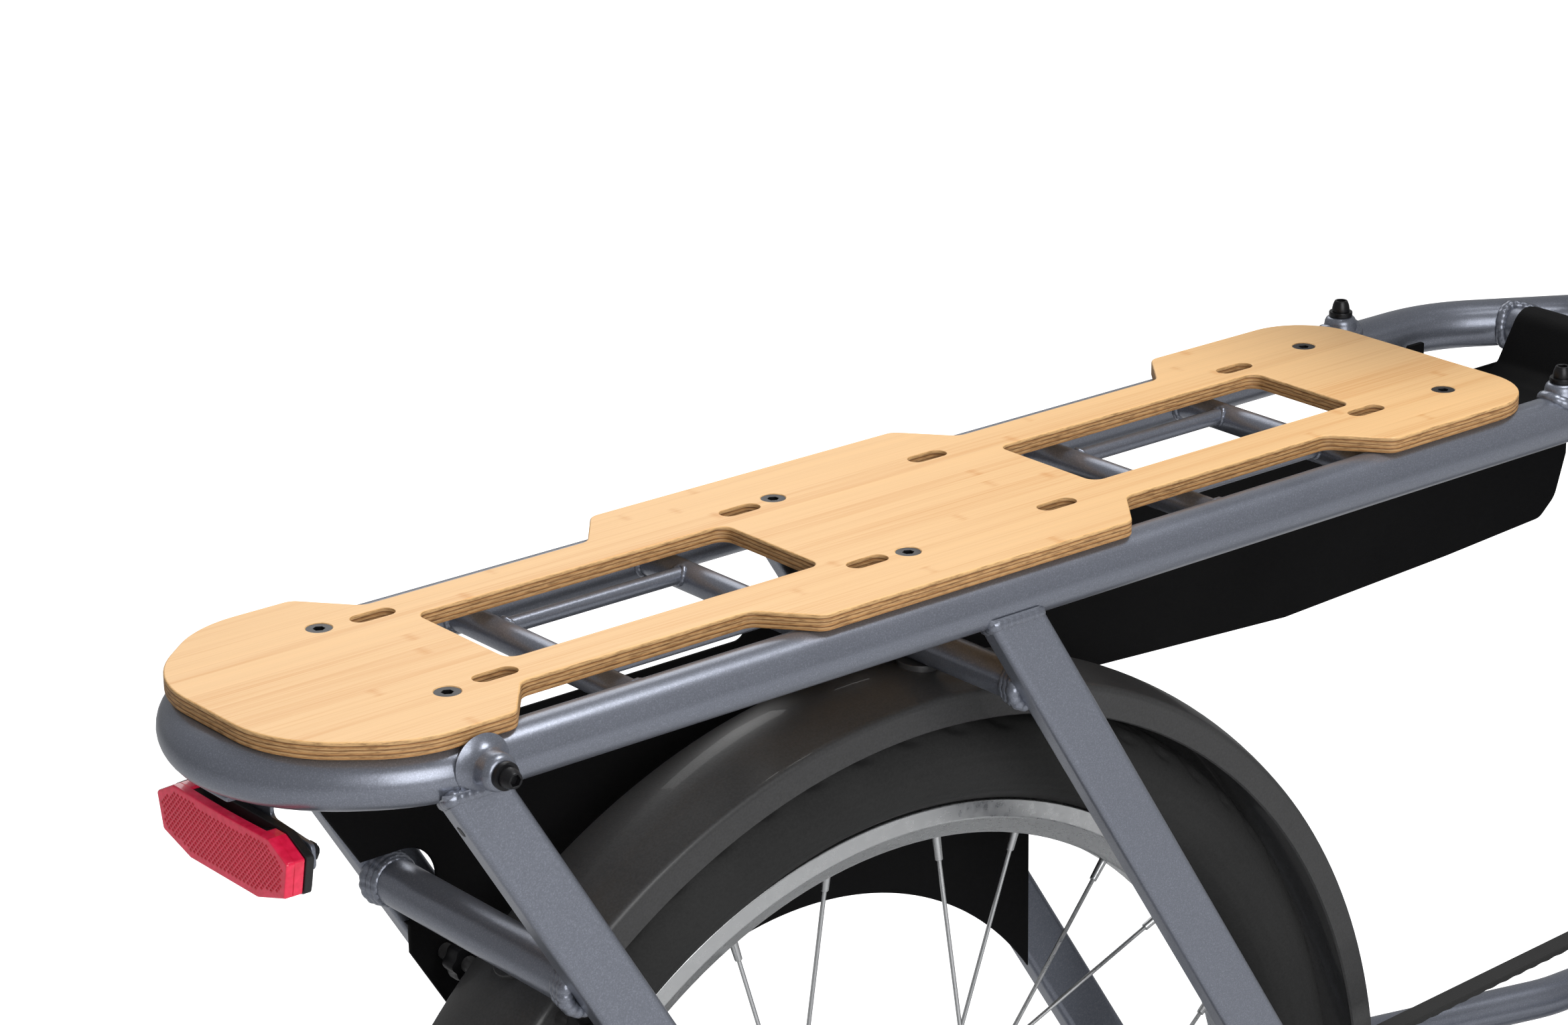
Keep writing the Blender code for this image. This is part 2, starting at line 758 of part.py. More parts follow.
def make_deck_bolts():
    nut_top = RAIL_TOP - TAB_T - CLEAR
    nut = [(BOLT_R, nut_top), (NUT_R, nut_top), (NUT_R, nut_top - NUT_H), (BOLT_R, nut_top - NUT_H)]
    tail = [(BOLT_R, -BOLT_LENGTH), (0.0, -BOLT_LENGTH)]
    for i, (x, y) in enumerate(bolt_places()):
        bolt = turned(f"deck_bolt_{i + 1}", bolt_profile() + nut + tail, (x, y, 0.0), (0, 0, 1), 10)
        socket = rod(f"deck_socket_{i}", (x, y, -SOCKET_DEPTH), (x, y, 0.001), SOCKET_R, sides=6)
        finish(carve(bolt, socket), "black_steel")


def make_boss_bolts():
    top = BOSS_BOLT_H
    profile = [
        (0.0, top), (0.0033, top), (0.0047, WASHER_T + 0.0012), (0.0047, WASHER_T),
        (WASHER_R, WASHER_T), (WASHER_R, CLEAR), (BOLT_R, CLEAR),
        (BOLT_R, 0.002 - BOSS_BORE), (0.0, 0.002 - BOSS_BORE),
    ]
    for i, (face, outward) in enumerate(boss_places()):
        bolt = turned(f"boss_bolt_{i + 1}", profile, face, outward, 12)
        up = Vector(outward)
        start = Vector(face) + up * (top - SOCKET_DEPTH)
        socket = rod(f"boss_socket_{i}", start, Vector(face) + up * (top + 0.001), SOCKET_R, sides=6)
        finish(carve(bolt, socket), "black_steel")


# Struts, bridges and chainstays

def strut_point(point, lean, z):
    """Centre of a strut at a height."""
    return point[0] + (point[1] - z) * math.tan(lean), z


def stay_height(x):
    """Centre of the chainstays, which fall a little from the motor to the dropouts."""
    front_z = BB[1] - STAY_FRONT_DROP
    return front_z + (STAY_REAR[1] - front_z) * (BB[0] - x) / (BB[0] - STAY_REAR[0])


def strut_solid(name, point, lean, thickness, side, grow=0.0):
    top = strut_point(point, lean, RAIL_Z + 0.012)
    foot_x = strut_point(point, lean, STAY_REAR[1])[0]
    bottom = strut_point(point, lean, stay_height(foot_x) + 0.002)
    y = side * (STRUT_IN_Y + thickness / 2.0)
    loop = rounded_box(STRUT_DEPTH + 2 * grow, thickness + 2 * grow, STRUT_CORNER_R + grow)
    return beam(name, loop, (bottom[0], y, bottom[1]), (top[0], y, top[1]))


def stay_path(side):
    def at(x, y):
        return (x, side * y, stay_height(x))

    front_x = BB[0] - MOTOR_REAR_R - BRACKET_WALL / 2.0
    points = [
        at(STAY_REAR[0], STAY_Y), at(STAY_OUTER_X, STAY_Y),
        at(STAY_INNER_X, STAY_INNER_Y), at(front_x, STAY_FRONT_Y),
    ]
    return rounded(points, [0.0, 0.08, 0.08, 0.0], 3)


def bracket_outline(grow=0.0):
    """Side view of the motor's housing in the frame, or of the motor itself at grow 0."""
    return hull_outline(BB, MOTOR_REAR_R, MOTOR_FRONT, MOTOR_FRONT_R, grow)


def dropout_outline():
    axle = (REAR_AXLE_X, AXLE_Z)
    low = STAY_REAR[1]
    corners = [
        (REAR_AXLE_X - 0.050, low), (REAR_AXLE_X + 0.030, low), (REAR_AXLE_X + 0.050, axle[1] + 0.020),
        (REAR_AXLE_X + 0.040, axle[1] + 0.045), (REAR_AXLE_X - 0.012, axle[1] + 0.022),
        (REAR_AXLE_X - 0.068, axle[1] + 0.022),
    ]
    return rounded(corners, [0.0, 0.0, 0.010, 0.010, 0.012, 0.0], 4, closed=True)


def make_struts():
    kinds = (
        ("rear_strut", REAR_STRUT_POINT, REAR_STRUT_LEAN, STRUT_T),
        ("mid_strut", MID_STRUT_POINT, MID_STRUT_LEAN, MID_STRUT_T),
    )
    for name, point, lean, thickness in kinds:
        for word, side in (("left", 1.0), ("right", -1.0)):
            strut = strut_solid(f"{name}_{word}", point, lean, thickness, side)
            top_z = RAIL_Z + STRUT_TOP_ABOVE_RAIL
            x = strut_point(point, lean, top_z)[0]
            trim = block(f"{name}_trim_{word}", (x - 0.06, -0.12, top_z), (x + 0.06, 0.12, top_z + 0.08))
            carve(strut, trim)
            carve(strut, rail_cutter(f"{name}_rail_{word}", side))
            carve(strut, tube(f"{name}_stay_{word}", stay_path(side), STAY_R + CLEAR, sides=16))
            finish(strut, "frame")


def make_bridges():
    end = STRUT_IN_Y - CLEAR
    for name, point, radius in (
        ("rear_bridge_tube", REAR_BRIDGE, REAR_BRIDGE_R), ("mid_bridge_tube", MID_BRIDGE, MID_BRIDGE_R),
    ):
        finish(rod(name, (point[0], -end, point[1]), (point[0], end, point[1]), radius, sides=20), "frame")


def make_chainstays():
    for word, side in (("left", 1.0), ("right", -1.0)):
        low, high = sorted((side * DROPOUT_Y[0], side * DROPOUT_Y[1]))
        plate = side_plate(f"chainstay_{word}", [dropout_outline()], low, high)
        near = strut_solid(f"dropout_cope_{word}", REAR_STRUT_POINT, REAR_STRUT_LEAN, STRUT_T, side, CLEAR)
        carve(plate, near)
        stay = fuse(plate, tube("stay", stay_path(side), STAY_R, sides=10))
        start = (REAR_AXLE_X, -0.12, AXLE_Z)
        carve(stay, rod(f"axle_bore_{word}", start, (REAR_AXLE_X, 0.12, AXLE_Z), AXLE_R + CLEAR))
        wall = side_plate(f"stay_cope_{word}", [bracket_outline(BRACKET_WALL + CLEAR)], -0.1, 0.1)
        finish(carve(stay, wall), "frame")


# Main frame, motor and battery

def make_main_frame():
    bracket = side_plate("main_frame", [bracket_outline(BRACKET_WALL)], -BRACKET_HALF, BRACKET_HALF)
    slope = Vector((0.886, 0.463))
    across = Vector((-slope.y, slope.x))
    edge = Vector(BB) - across * BRACKET_DROP
    start, end = edge - slope * 0.3, edge + slope * 0.4
    loop = [start, end, end - across * 0.3, start - across * 0.3]
    below = side_plate("bracket_trim", [[(p.x, p.y) for p in loop]], -0.1, 0.1)
    carve(bracket, below)
    pieces = [
        seat_tube_solid("seat_tube"),
        rod("head", steer_point(HEAD_TUBE_S[0]), steer_point(HEAD_TUBE_S[1]), HEAD_TUBE_R, sides=20),
        rod("top", seat_point(TOP_TUBE_SEAT_Z), steer_point(TOP_TUBE_HEAD_S), TOP_TUBE_R, sides=16),
        rod("down", down_point(0.0), steer_point(DOWN_TUBE_HEAD_S), DOWN_TUBE_R, sides=18),
    ]
    low, high = BATTERY_SPAN
    middle = DOWN_TUBE_R + RAIL_PLATE_T / 2.0 - 0.004
    loop = rounded_box(RAIL_PLATE_T + 0.008, 2.0 * RAIL_PLATE_HALF, 0.002, 1)
    pieces.append(beam("rail_plate", loop, down_point(low, middle), down_point(high, middle)))
    rear = BB[0] - MOTOR_REAR_R - BRACKET_WALL / 2.0
    lug_start = (rear + 0.010, 0.0, BB[1] - 0.038)
    lug_end = (STAND_PIVOT[0], 0.0, STAND_PIVOT[1])
    pieces.append(beam("lug", rounded_box(LUG_DEPTH, 2.0 * LUG_HALF, 0.004), lug_start, lug_end))
    barrel = (STAND_PIVOT[0], BRACKET_HALF, STAND_PIVOT[1])
    pieces.append(rod("barrel", (barrel[0], -barrel[1], barrel[2]), barrel, STAND_PIN_R + 0.006, sides=20))
    frame = fuse(bracket, *pieces)
    motor = side_plate("motor_space", [bracket_outline(CLEAR)], -0.08, 0.08)
    carve(frame, motor)
    carve(frame, rod("head_bore", steer_point(0.36), steer_point(0.55), STEERER_R + CLEAR, sides=24))
    top = seat_point(SEAT_TUBE_TOP + 0.02)
    carve(frame, rod("seat_bore", seat_point(SEAT_BORE_BOTTOM), top, POST_R + CLEAR, sides=24))
    start = (STAND_PIVOT[0], -0.06, STAND_PIVOT[1])
    carve(frame, rod("stand_bore", start, (start[0], 0.06, start[2]), STAND_PIN_R + CLEAR, sides=20))
    finish(frame, "frame")


def make_motor():
    motor = side_plate("motor_unit", [bracket_outline()], -MOTOR_HALF, MOTOR_HALF)
    reach = MOTOR_HALF + MOTOR_COLLAR_T
    collar = rod("collar", (BB[0], -reach, BB[1]), (BB[0], reach, BB[1]), MOTOR_COLLAR_R, sides=24)
    motor = fuse(motor, collar)
    start = (BB[0], -0.08, BB[1])
    bore = rod("spindle_bore", start, (BB[0], 0.08, BB[1]), SPINDLE_R + CLEAR, sides=24)
    finish(carve(motor, bore), "black_plastic")


def battery_rise():
    return DOWN_TUBE_R + RAIL_PLATE_T + CLEAR


def make_battery():
    low, high = BATTERY_SPAN
    middle = battery_rise() + BATTERY_HEIGHT / 2.0
    loop = rounded_box(BATTERY_HEIGHT, 2.0 * BATTERY_HALF, BATTERY_CORNER_R, 3)
    battery = beam("battery", loop, down_point(low, middle), down_point(high, middle))
    slide = pivot("battery_slide", down_point((low + high) / 2.0, battery_rise()))
    moving(finish(battery, "black_plastic"), slide)


# Skirt, guard, reflector and fenders

def skirt_outline():
    hub = (REAR_AXLE_X, AXLE_Z)
    notch_r = REAR_BRIDGE_R + SKIRT_NOTCH_GAP
    notch_top = REAR_BRIDGE[1] + notch_r
    notch_low = REAR_BRIDGE[1] - notch_r
    rear = [*SKIRT_REAR_EDGE, (REAR_BRIDGE[0] - 2.0 * REAR_BRIDGE_R, notch_top)]
    notch = arc(REAR_BRIDGE, notch_r, math.pi / 2.0, -math.pi / 2.0, 8)
    wing_x = REAR_BRIDGE[0] + SKIRT_WING[0]
    wing = [(wing_x, notch_low - SKIRT_T), (wing_x, REAR_BRIDGE[1] - SKIRT_WING[1])]
    low = arc(hub, SKIRT_HUB_R, *SKIRT_HUB_ARC, 14)
    front_low = rounded([low[-1], *SKIRT_LOWER_EDGE[:2]], [0.0, 0.016, 0.0])
    front = [*SKIRT_LOWER_EDGE[2:], *SKIRT_FRONT_EDGE]
    top = [
        (SKIRT_FRONT_X, SKIRT_TOP_FRONT), (SKIRT_STEP_X[1], SKIRT_TOP_FRONT), (SKIRT_STEP_X[0], SKIRT_TOP),
    ]
    return rear + notch + wing + low[:-1] + front_low + front + top


def skirt_pegs():
    """Where the skirt stands off from the struts' inner faces."""
    rear = [strut_point(REAR_STRUT_POINT, REAR_STRUT_LEAN, z) for z in SKIRT_PEG_Z[:2]]
    return [*rear, KNOB, strut_point(MID_STRUT_POINT, MID_STRUT_LEAN, SKIRT_PEG_Z[2])]


def make_wheel_skirt():
    outer = SKIRT_Y + SKIRT_T
    skirt = side_plate("wheel_skirt", [skirt_outline()], SKIRT_Y, outer)
    pegs = []
    for x, z in skirt_pegs():
        pegs.append(rod("peg", (x, SKIRT_Y + 0.001, z), (x, STRUT_IN_Y - CLEAR, z), SKIRT_PEG_R, sides=12))
    hanger_y = RAIL_Y - RAIL_R - CLEAR
    low = (SKIRT_HANGER_X[0], SKIRT_Y + CLEAR, SKIRT_HANGER_LOW)
    pegs.append(block("hanger", low, (SKIRT_HANGER_X[1], hanger_y, RAIL_Z)))
    skirt = fuse(skirt, *pegs)
    start = (MID_BRIDGE[0], 0.04, MID_BRIDGE[1])
    end = (MID_BRIDGE[0], 0.09, MID_BRIDGE[1])
    hole = rod("skirt_bridge_hole", start, end, MID_BRIDGE_R + SKIRT_NOTCH_GAP / 2.0, sides=20)
    finish(carve(skirt, hole), "black_plastic")


def make_spray_guard():
    """A sheet that rises over the front tube and narrows between the rails."""
    centre = (FRONT_TUBE_X, RAIL_Z)
    radius = FRONT_TUBE_R + CLEAR + GUARD_T
    over = arc(centre, radius, math.radians(150.0), math.radians(35.0), 7)
    path = [(0.700, -0.041), (0.732, -0.040), (0.742, -0.034), *over, (0.781, -0.018), (0.792, -0.021)]
    mesh = bpy.data.meshes.new("spray_guard")
    verts = []
    for x, z in path:
        share = min(max((x - FRONT_TUBE_X + 0.002) / (0.792 - FRONT_TUBE_X + 0.002), 0.0), 1.0)
        half = GUARD_HALF + (GUARD_NOSE_HALF - GUARD_HALF) * share
        verts += [place((x, half, z)), place((x, -half, z))]
    faces = [(2 * i, 2 * i + 1, 2 * i + 3, 2 * i + 2) for i in range(len(path) - 1)]
    mesh.from_pydata(verts, [], faces)
    guard = link("spray_guard", mesh)
    wall = guard.modifiers.new("wall", "SOLIDIFY")
    wall.thickness = GUARD_T
    wall.offset = 1.0 if mesh.polygons[0].normal.z < 0.0 else -1.0
    finish(bake(guard), "black_plastic")


def cross_plate(name, loops, low, high):
    """Outlines in Y and Z made into a flat solid between two X values."""
    obj = outline_curve(name, loops, high - low)
    turn = Matrix(((0, 0, 1), (1, 0, 0), (0, 1, 0))).to_4x4()
    obj.matrix_world = Matrix.Translation(place(((low + high) / 2.0, 0.0, 0.0))) @ turn
    return bake(obj)


def reflector_loop(inset=0.0):
    half = [(y - inset, z + (-inset if z > -0.06 else inset)) for y, z in REFLECTOR_FACE]
    return half + [(-y, z) for y, z in half[::-1]]


def make_reflector():
    front, back, rear, plate = REFLECTOR_X
    lens = cross_plate("reflector_lens", [reflector_loop()], front, back)
    finish(lens, "red_lens")
    housing = cross_plate("reflector_housing", [reflector_loop(0.002)], back + CLEAR, rear)
    finish(housing, "black_plastic")
    bolt_y, bolt_z = REFLECTOR_BOLT
    wing = [
        (0.046, -0.050), (0.046, -0.062), (0.020, -0.066), (-0.020, -0.066), (-0.046, -0.062), (-0.046, -0.050),
    ]
    neck_z = RAIL_Z - RAIL_R - CLEAR
    half = REFLECTOR_STEM_HALF
    stem = [(-half, -0.048), (-half, neck_z), (half, neck_z), (half, -0.048)]
    bracket = cross_plate("reflector_bracket", [wing + stem], rear + CLEAR, plate)
    low = (TAIL_X - 0.004, -half, neck_z - 0.0025)
    foot = block("foot", low, (plate - CLEAR, half, RAIL_Z - 0.004))
    nuts = [foot]
    foot_cut = tube("reflector_rim_cope", rail_path(), RAIL_R + CLEAR, sides=16)
    for side in (1.0, -1.0):
        start = (plate - 0.001, side * bolt_y, bolt_z)
        nuts.append(rod("nut", start, (plate + 0.0045, side * bolt_y, bolt_z), 0.0045, sides=6))
    bracket = fuse(bracket, *nuts)
    finish(carve(bracket, foot_cut), "frame")


def fender_shell(name, centre, span):
    """A crowned strip round part of the wheel, with its wall on the inside."""
    count = 4
    profile = []
    for i in range(count + 1):
        across = 2.0 * i / count - 1.0
        radius = FENDER_R + FENDER_CROWN * (1.0 - across ** 2)
        profile.append((radius, -across * FENDER_HALF))
    lip = FENDER_R - FENDER_LIP
    profile = [(lip, FENDER_HALF + 0.0005), *profile, (lip, -FENDER_HALF - 0.0005)]
    mesh = bpy.data.meshes.new(name)
    edges = [(i, i + 1) for i in range(len(profile) - 1)]
    mesh.from_pydata([(radius, 0.0, height) for radius, height in profile], edges, [])
    obj = link(name, mesh)
    screw = obj.modifiers.new("turn", "SCREW")
    steps = round(math.degrees(span[1] - span[0]) / 10.0)
    screw.angle = span[1] - span[0]
    screw.steps = steps
    screw.render_steps = steps
    screw.use_merge_vertices = False
    wall = obj.modifiers.new("wall", "SOLIDIFY")
    wall.thickness = FENDER_T
    wall.offset = -1.0
    lay = Matrix.Rotation(math.pi / 2.0, 4, "X")
    begin = Matrix.Rotation(-span[0], 4, "Y")
    obj.matrix_world = Matrix.Translation(place((centre[0], 0.0, centre[1]))) @ begin @ lay
    return bake(obj)


def wheel_polar(centre, radius, angle, y=0.0):
    return (centre[0] + radius * math.cos(angle), y, centre[1] + radius * math.sin(angle))


def make_rear_fender():
    centre = (REAR_AXLE_X, AXLE_Z)
    fender = fender_shell("rear_fender", centre, REAR_FENDER_ARC)
    pieces = []
    for point, radius in ((REAR_BRIDGE, REAR_BRIDGE_R), (MID_BRIDGE, MID_BRIDGE_R)):
        offset = Vector(point) - Vector(centre)
        angle = math.atan2(offset.y, offset.x)
        start = wheel_polar(centre, FENDER_R + FENDER_CROWN - 2.0 * FENDER_T, angle)
        end = wheel_polar(centre, offset.length - radius - CLEAR, angle)
        pieces.append(rod("spacer", start, end, FENDER_POST_R, sides=12))
    for side in (1.0, -1.0):
        outer = SKIRT_Y - CLEAR if side > 0.0 else STRUT_IN_Y - CLEAR
        x, z = KNOB
        start = (x, side * (FENDER_HALF - 0.001), z)
        pieces.append(rod("stay", start, (x, side * outer, z), STAY_ROD_R, sides=10))
        pieces.append(rod("knob", (x, side * KNOB_Y[0], z), (x, side * KNOB_Y[1], z), KNOB_R, sides=12))
    finish(fuse(fender, *pieces), "fender")


# Wheels

def tyre_profile():
    """Half-round tread with straight beads, as radius and width from the wheel's middle."""
    middle = TYRE_R - TYRE_HALF
    points = arc((middle, 0.0), TYRE_HALF, math.radians(-128.0), math.radians(128.0), 8)
    bead = 0.011
    return [(TYRE_INNER_R, -bead), *points, (TYRE_INNER_R, bead)]


def make_tyre(name, centre, empty):
    tyre = turned(name, tyre_profile(), centre, (0, 1, 0), RIM_STEPS, ring=True)
    moving(finish(tyre, "rubber"), empty)


def spokes(name, centre, flange_r, flange_y):
    """Straight spokes laced in crossing pairs from each flange to the rim."""
    shape = bmesh.new()
    rim_r = TYRE_INNER_R - CLEAR - RIM_DEPTH + 0.002
    lean = math.radians(62.0)
    for i in range(SPOKE_COUNT):
        side = 1.0 if i % 2 == 0 else -1.0
        pull = 1.0 if (i // 2) % 2 == 0 else -1.0
        rim_angle = math.tau * (i + 0.5) / SPOKE_COUNT
        hub_angle = rim_angle - pull * lean
        hub_y = side * (flange_y + pull * 0.0016)
        start = wheel_polar((centre[0], centre[2]), flange_r - 0.003, hub_angle, hub_y)
        end = wheel_polar((centre[0], centre[2]), rim_r, rim_angle, side * (0.003 + pull * 0.0016))
        matrix = frame_along(start, end)
        length = (Vector(end) - Vector(start)).length
        made = bmesh.ops.create_cone(
            shape, cap_ends=True, segments=4, radius1=SPOKE_R, radius2=SPOKE_R, depth=length
        )
        bmesh.ops.transform(shape, matrix=matrix, verts=made["verts"])
    return solid_from(name, shape, Matrix.Identity(4))


def hub_profile(flange_r, flange_y, hub_r, half, driver_end=0.0):
    """Axle, hub shell and flanges along Y; driver_end is where the sprocket's seat stops."""
    flange_t = 0.004
    ends = [(0.0, half + 0.016), (AXLE_R, half + 0.016), (AXLE_R, half), (0.011, half)]
    flange = [
        (0.011, flange_y + flange_t), (flange_r - 0.002, flange_y + flange_t), (flange_r, flange_y),
        (flange_r - 0.002, flange_y - flange_t), (hub_r, flange_y - flange_t - 0.003),
    ]
    right_flange = [(r, -y) for r, y in flange[::-1]]
    if driver_end:
        right_flange[-1] = (DRIVER_R, -flange_y - flange_t)
        right_flange += [(DRIVER_R, -driver_end), (0.011, -driver_end)]
    return ends + flange + right_flange + [(r, -y) for r, y in ends[::-1]]


def rotor_plate(name, centre, y):
    hub = (centre[0], centre[2])
    loops = [arc(hub, ROTOR_R, 0.0, math.tau * 27 / 28, 27)]
    for i in range(5):
        spot = wheel_polar(hub, 0.048, math.tau * i / 5)
        loops.append(arc((spot[0], spot[2]), 0.018, 0.0, math.tau * 6 / 7, 6))
    return side_plate(name, loops, y - ROTOR_T / 2.0, y + ROTOR_T / 2.0)


def make_wheel(name, centre, hub, spoke_seat, rotor_y, empty):
    outer = TYRE_INNER_R - CLEAR
    inner = outer - RIM_DEPTH
    section = [
        (outer, RIM_HALF), (outer, -RIM_HALF), (outer - 0.008, -RIM_HALF), (inner, -0.007),
        (inner, 0.007), (outer - 0.008, RIM_HALF),
    ]
    rim = turned(name, section, centre, (0, 1, 0), RIM_STEPS, ring=True)
    body = turned("hub", hub, centre, (0, 1, 0), 12)
    rotor = rotor_plate("rotor", centre, rotor_y)
    wheel = fuse(rim, spokes("spokes", centre, *spoke_seat), body, rotor)
    moving(finish(wheel, "alloy"), empty)


# Drive

def toothed_outline(centre, radius, teeth):
    """A belt pulley's rim: a flat land and a groove for each tooth."""
    points = []
    for i in range(teeth):
        for share, depth in ((0.0, 0.0), (0.42, 0.0), (0.71, TOOTH_H)):
            angle = -math.tau * (i + share) / teeth
            spot = wheel_polar(centre, radius - depth, angle)
            points.append((spot[0], spot[2]))
    return points


def make_rear_sprocket(empty):
    centre = (REAR_AXLE_X, AXLE_Z)
    loops = [toothed_outline(centre, SPROCKET_R, SPROCKET_TEETH)]
    loops.append(arc(centre, DRIVER_R + CLEAR, 0.0, math.tau * 31 / 32, 31))
    y = BELT_Y
    sprocket = side_plate("rear_sprocket", loops, y - SPROCKET_T / 2.0, y + SPROCKET_T / 2.0)
    moving(finish(sprocket, "black_steel"), empty)


def make_drive_belt():
    rear = (REAR_AXLE_X, AXLE_Z)
    loops = []
    for grow in (BELT_GAP + BELT_T, BELT_GAP):
        loops.append(hull_outline(rear, SPROCKET_R, BB, RING_R, grow, steps=18))
    finish(side_plate("drive_belt", loops, BELT_Y - BELT_W / 2.0, BELT_Y + BELT_W / 2.0), "rubber")


def crank_arm(name, side, out):
    """Tapered arm from the spindle to the pedal; out is -1 to the rear or 1 to the front."""
    end = (BB[0] + out * CRANK_LENGTH, BB[1])
    loop = hull_outline(BB, 0.018, end, 0.013, steps=10)
    low, high = sorted((side * CRANK_IN_Y, side * (CRANK_IN_Y + CRANK_T)))
    arm = side_plate(name, [loop], low, high)
    start = (end[0], side * (CRANK_IN_Y + CRANK_T / 2.0), end[1])
    stop = (end[0], side * (PEDAL_Y[1] - 0.012), end[1])
    return arm, rod("pedal_spindle", start, stop, PEDAL_SPINDLE_R, sides=16)


def make_cranks(empty):
    arm, pin = crank_arm("crank_right", -1.0, -1.0)
    spindle_end = CRANK_IN_Y + CRANK_T * 0.7
    spindle_start = (BB[0], -CRANK_IN_Y - 0.004, BB[1])
    spindle = rod("spindle", spindle_start, (BB[0], spindle_end, BB[1]), SPINDLE_R, sides=24)
    loops = [toothed_outline(BB, RING_R, RING_TEETH)]
    for i in range(5):
        mid = math.tau * (i + 0.5) / 5
        wide = math.radians(23.0)
        outer = arc(BB, 0.070, mid - wide, mid + wide, 4)
        loops.append(outer + arc(BB, 0.036, mid + wide * 0.7, mid - wide * 0.7, 2))
    ring = side_plate("ring", loops, BELT_Y - RING_T / 2.0, BELT_Y + RING_T / 2.0)
    carrier_end = (BB[0], -CRANK_IN_Y - 0.002, BB[1])
    carrier = rod("carrier", (BB[0], BELT_Y + 0.001, BB[1]), carrier_end, 0.030, 0.022, 24)
    right = fuse(arm, pin, ring, carrier, spindle)
    moving(finish(right, "black_steel"), empty)
    arm, pin = crank_arm("crank_left", 1.0, 1.0)
    left = fuse(arm, pin)
    start = (BB[0], CRANK_IN_Y - 0.01, BB[1])
    socket = rod("crank_socket", start, (BB[0], spindle_end + CLEAR, BB[1]), SPINDLE_R + CLEAR, sides=24)
    moving(finish(carve(left, socket), "black_steel"), empty)


def make_pedal(name, side, out, crank):
    end = (BB[0] + out * CRANK_LENGTH, BB[1])
    low, high = sorted((side * PEDAL_Y[0], side * PEDAL_Y[1]))
    half = PEDAL_LENGTH / 2.0
    corners = [(end[0] - half, low), (end[0] + half, low), (end[0] + half, high), (end[0] - half, high)]
    loops = [rounded(corners, 0.014, 2, closed=True)]
    for way in (-1.0, 1.0):
        near = end[0] + way * 0.016
        far = end[0] + way * (half - 0.010)
        a, b = sorted((near, far))
        window = [(a, low + 0.012), (b, low + 0.012), (b, high - 0.012), (a, high - 0.012)]
        loops.append(rounded(window, 0.006, 1, closed=True))
    body = board(name, loops, end[1] - PEDAL_T / 2.0, end[1] + PEDAL_T / 2.0)
    inner = (end[0], side * PEDAL_Y[0], end[1])
    core = rod("core", inner, (end[0], side * PEDAL_Y[1], end[1]), 0.012, sides=12)
    body = fuse(body, core)
    start = (end[0], side * (PEDAL_Y[0] - 0.01), end[1])
    stop = (end[0], side * (PEDAL_Y[1] - 0.012 + CLEAR), end[1])
    bore = rod(f"{name}_bore", start, stop, PEDAL_SPINDLE_R + CLEAR, sides=16)
    axis = pivot(f"{name}_turn", (end[0], side * (PEDAL_Y[0] + PEDAL_Y[1]) / 2.0, end[1]), crank)
    moving(finish(carve(body, bore), "black_plastic"), axis)


def make_rear_caliper():
    centre = (REAR_AXLE_X, AXLE_Z)
    outer = DROPOUT_Y[0] - CLEAR
    low, high = ((centre[0] + x, centre[1] + z) for x, z in REAR_CALIPER)
    body = block("rear_caliper", (low[0], REAR_CALIPER_IN_Y, low[1]), (high[0], outer, high[1]))
    start = (centre[0], REAR_ROTOR_Y - ROTOR_GAP, centre[1])
    end = (centre[0], REAR_ROTOR_Y + ROTOR_GAP, centre[1])
    space = rod("rear_rotor_space", start, end, ROTOR_R + ROTOR_RIM_GAP, sides=48)
    finish(carve(body, space), "black_steel")


# Steering

def make_fork(empty):
    steerer = rod("fork", steer_point(CROWN_S - 0.004), steer_point(HEAD_TUBE_S[1] + 0.07), STEERER_R, sides=24)
    crown_top = steer_point(HEAD_TUBE_S[0] - CLEAR)
    pieces = [rod("race", steer_point(CROWN_S), crown_top, 0.021, sides=20)]
    crown_ends = (steer_point(CROWN_S - CROWN_HALF_T), steer_point(CROWN_S + CROWN_HALF_T))
    for side in (1.0, -1.0):
        loop = hull_outline((0.0, 0.0), CROWN_R, (0.0, side * CROWN_Y), CROWN_END_R, steps=8)
        pieces.append(beam("crown", loop, *crown_ends))
        path = [
            steer_point(CROWN_S, 0.0, side * CROWN_Y),
            steer_point(CROWN_S - 0.004, 0.0, side * FORK_LEG_Y),
            steer_point(0.150, 0.004, side * FORK_LEG_Y),
            (FRONT_AXLE_X, side * FORK_LEG_Y, AXLE_Z),
        ]
        pieces.append(tube("leg", rounded(path, [0.0, 0.012, 0.12, 0.0], 3), FORK_LEG_R, sides=8))
        start = (FRONT_AXLE_X, side * (FRONT_HUB_HALF + CLEAR), AXLE_Z)
        end = (FRONT_AXLE_X, side * (FORK_LEG_Y + 0.010), AXLE_Z)
        pieces.append(rod("dropout", start, end, 0.0145, sides=12))
    mount = [(FRONT_AXLE_X + x, AXLE_Z + z) for x, z in FRONT_CALIPER_MOUNT]
    low = FRONT_CALIPER_Y[1] + CLEAR
    pieces.append(side_plate("caliper_mount", [mount], low, FORK_LEG_Y - 0.002))
    fork = fuse(steerer, *pieces)
    start = (FRONT_AXLE_X, -0.10, AXLE_Z)
    carve(fork, rod("front_axle_bore", start, (FRONT_AXLE_X, 0.10, AXLE_Z), AXLE_R + CLEAR))
    moving(finish(fork, "frame"), empty)


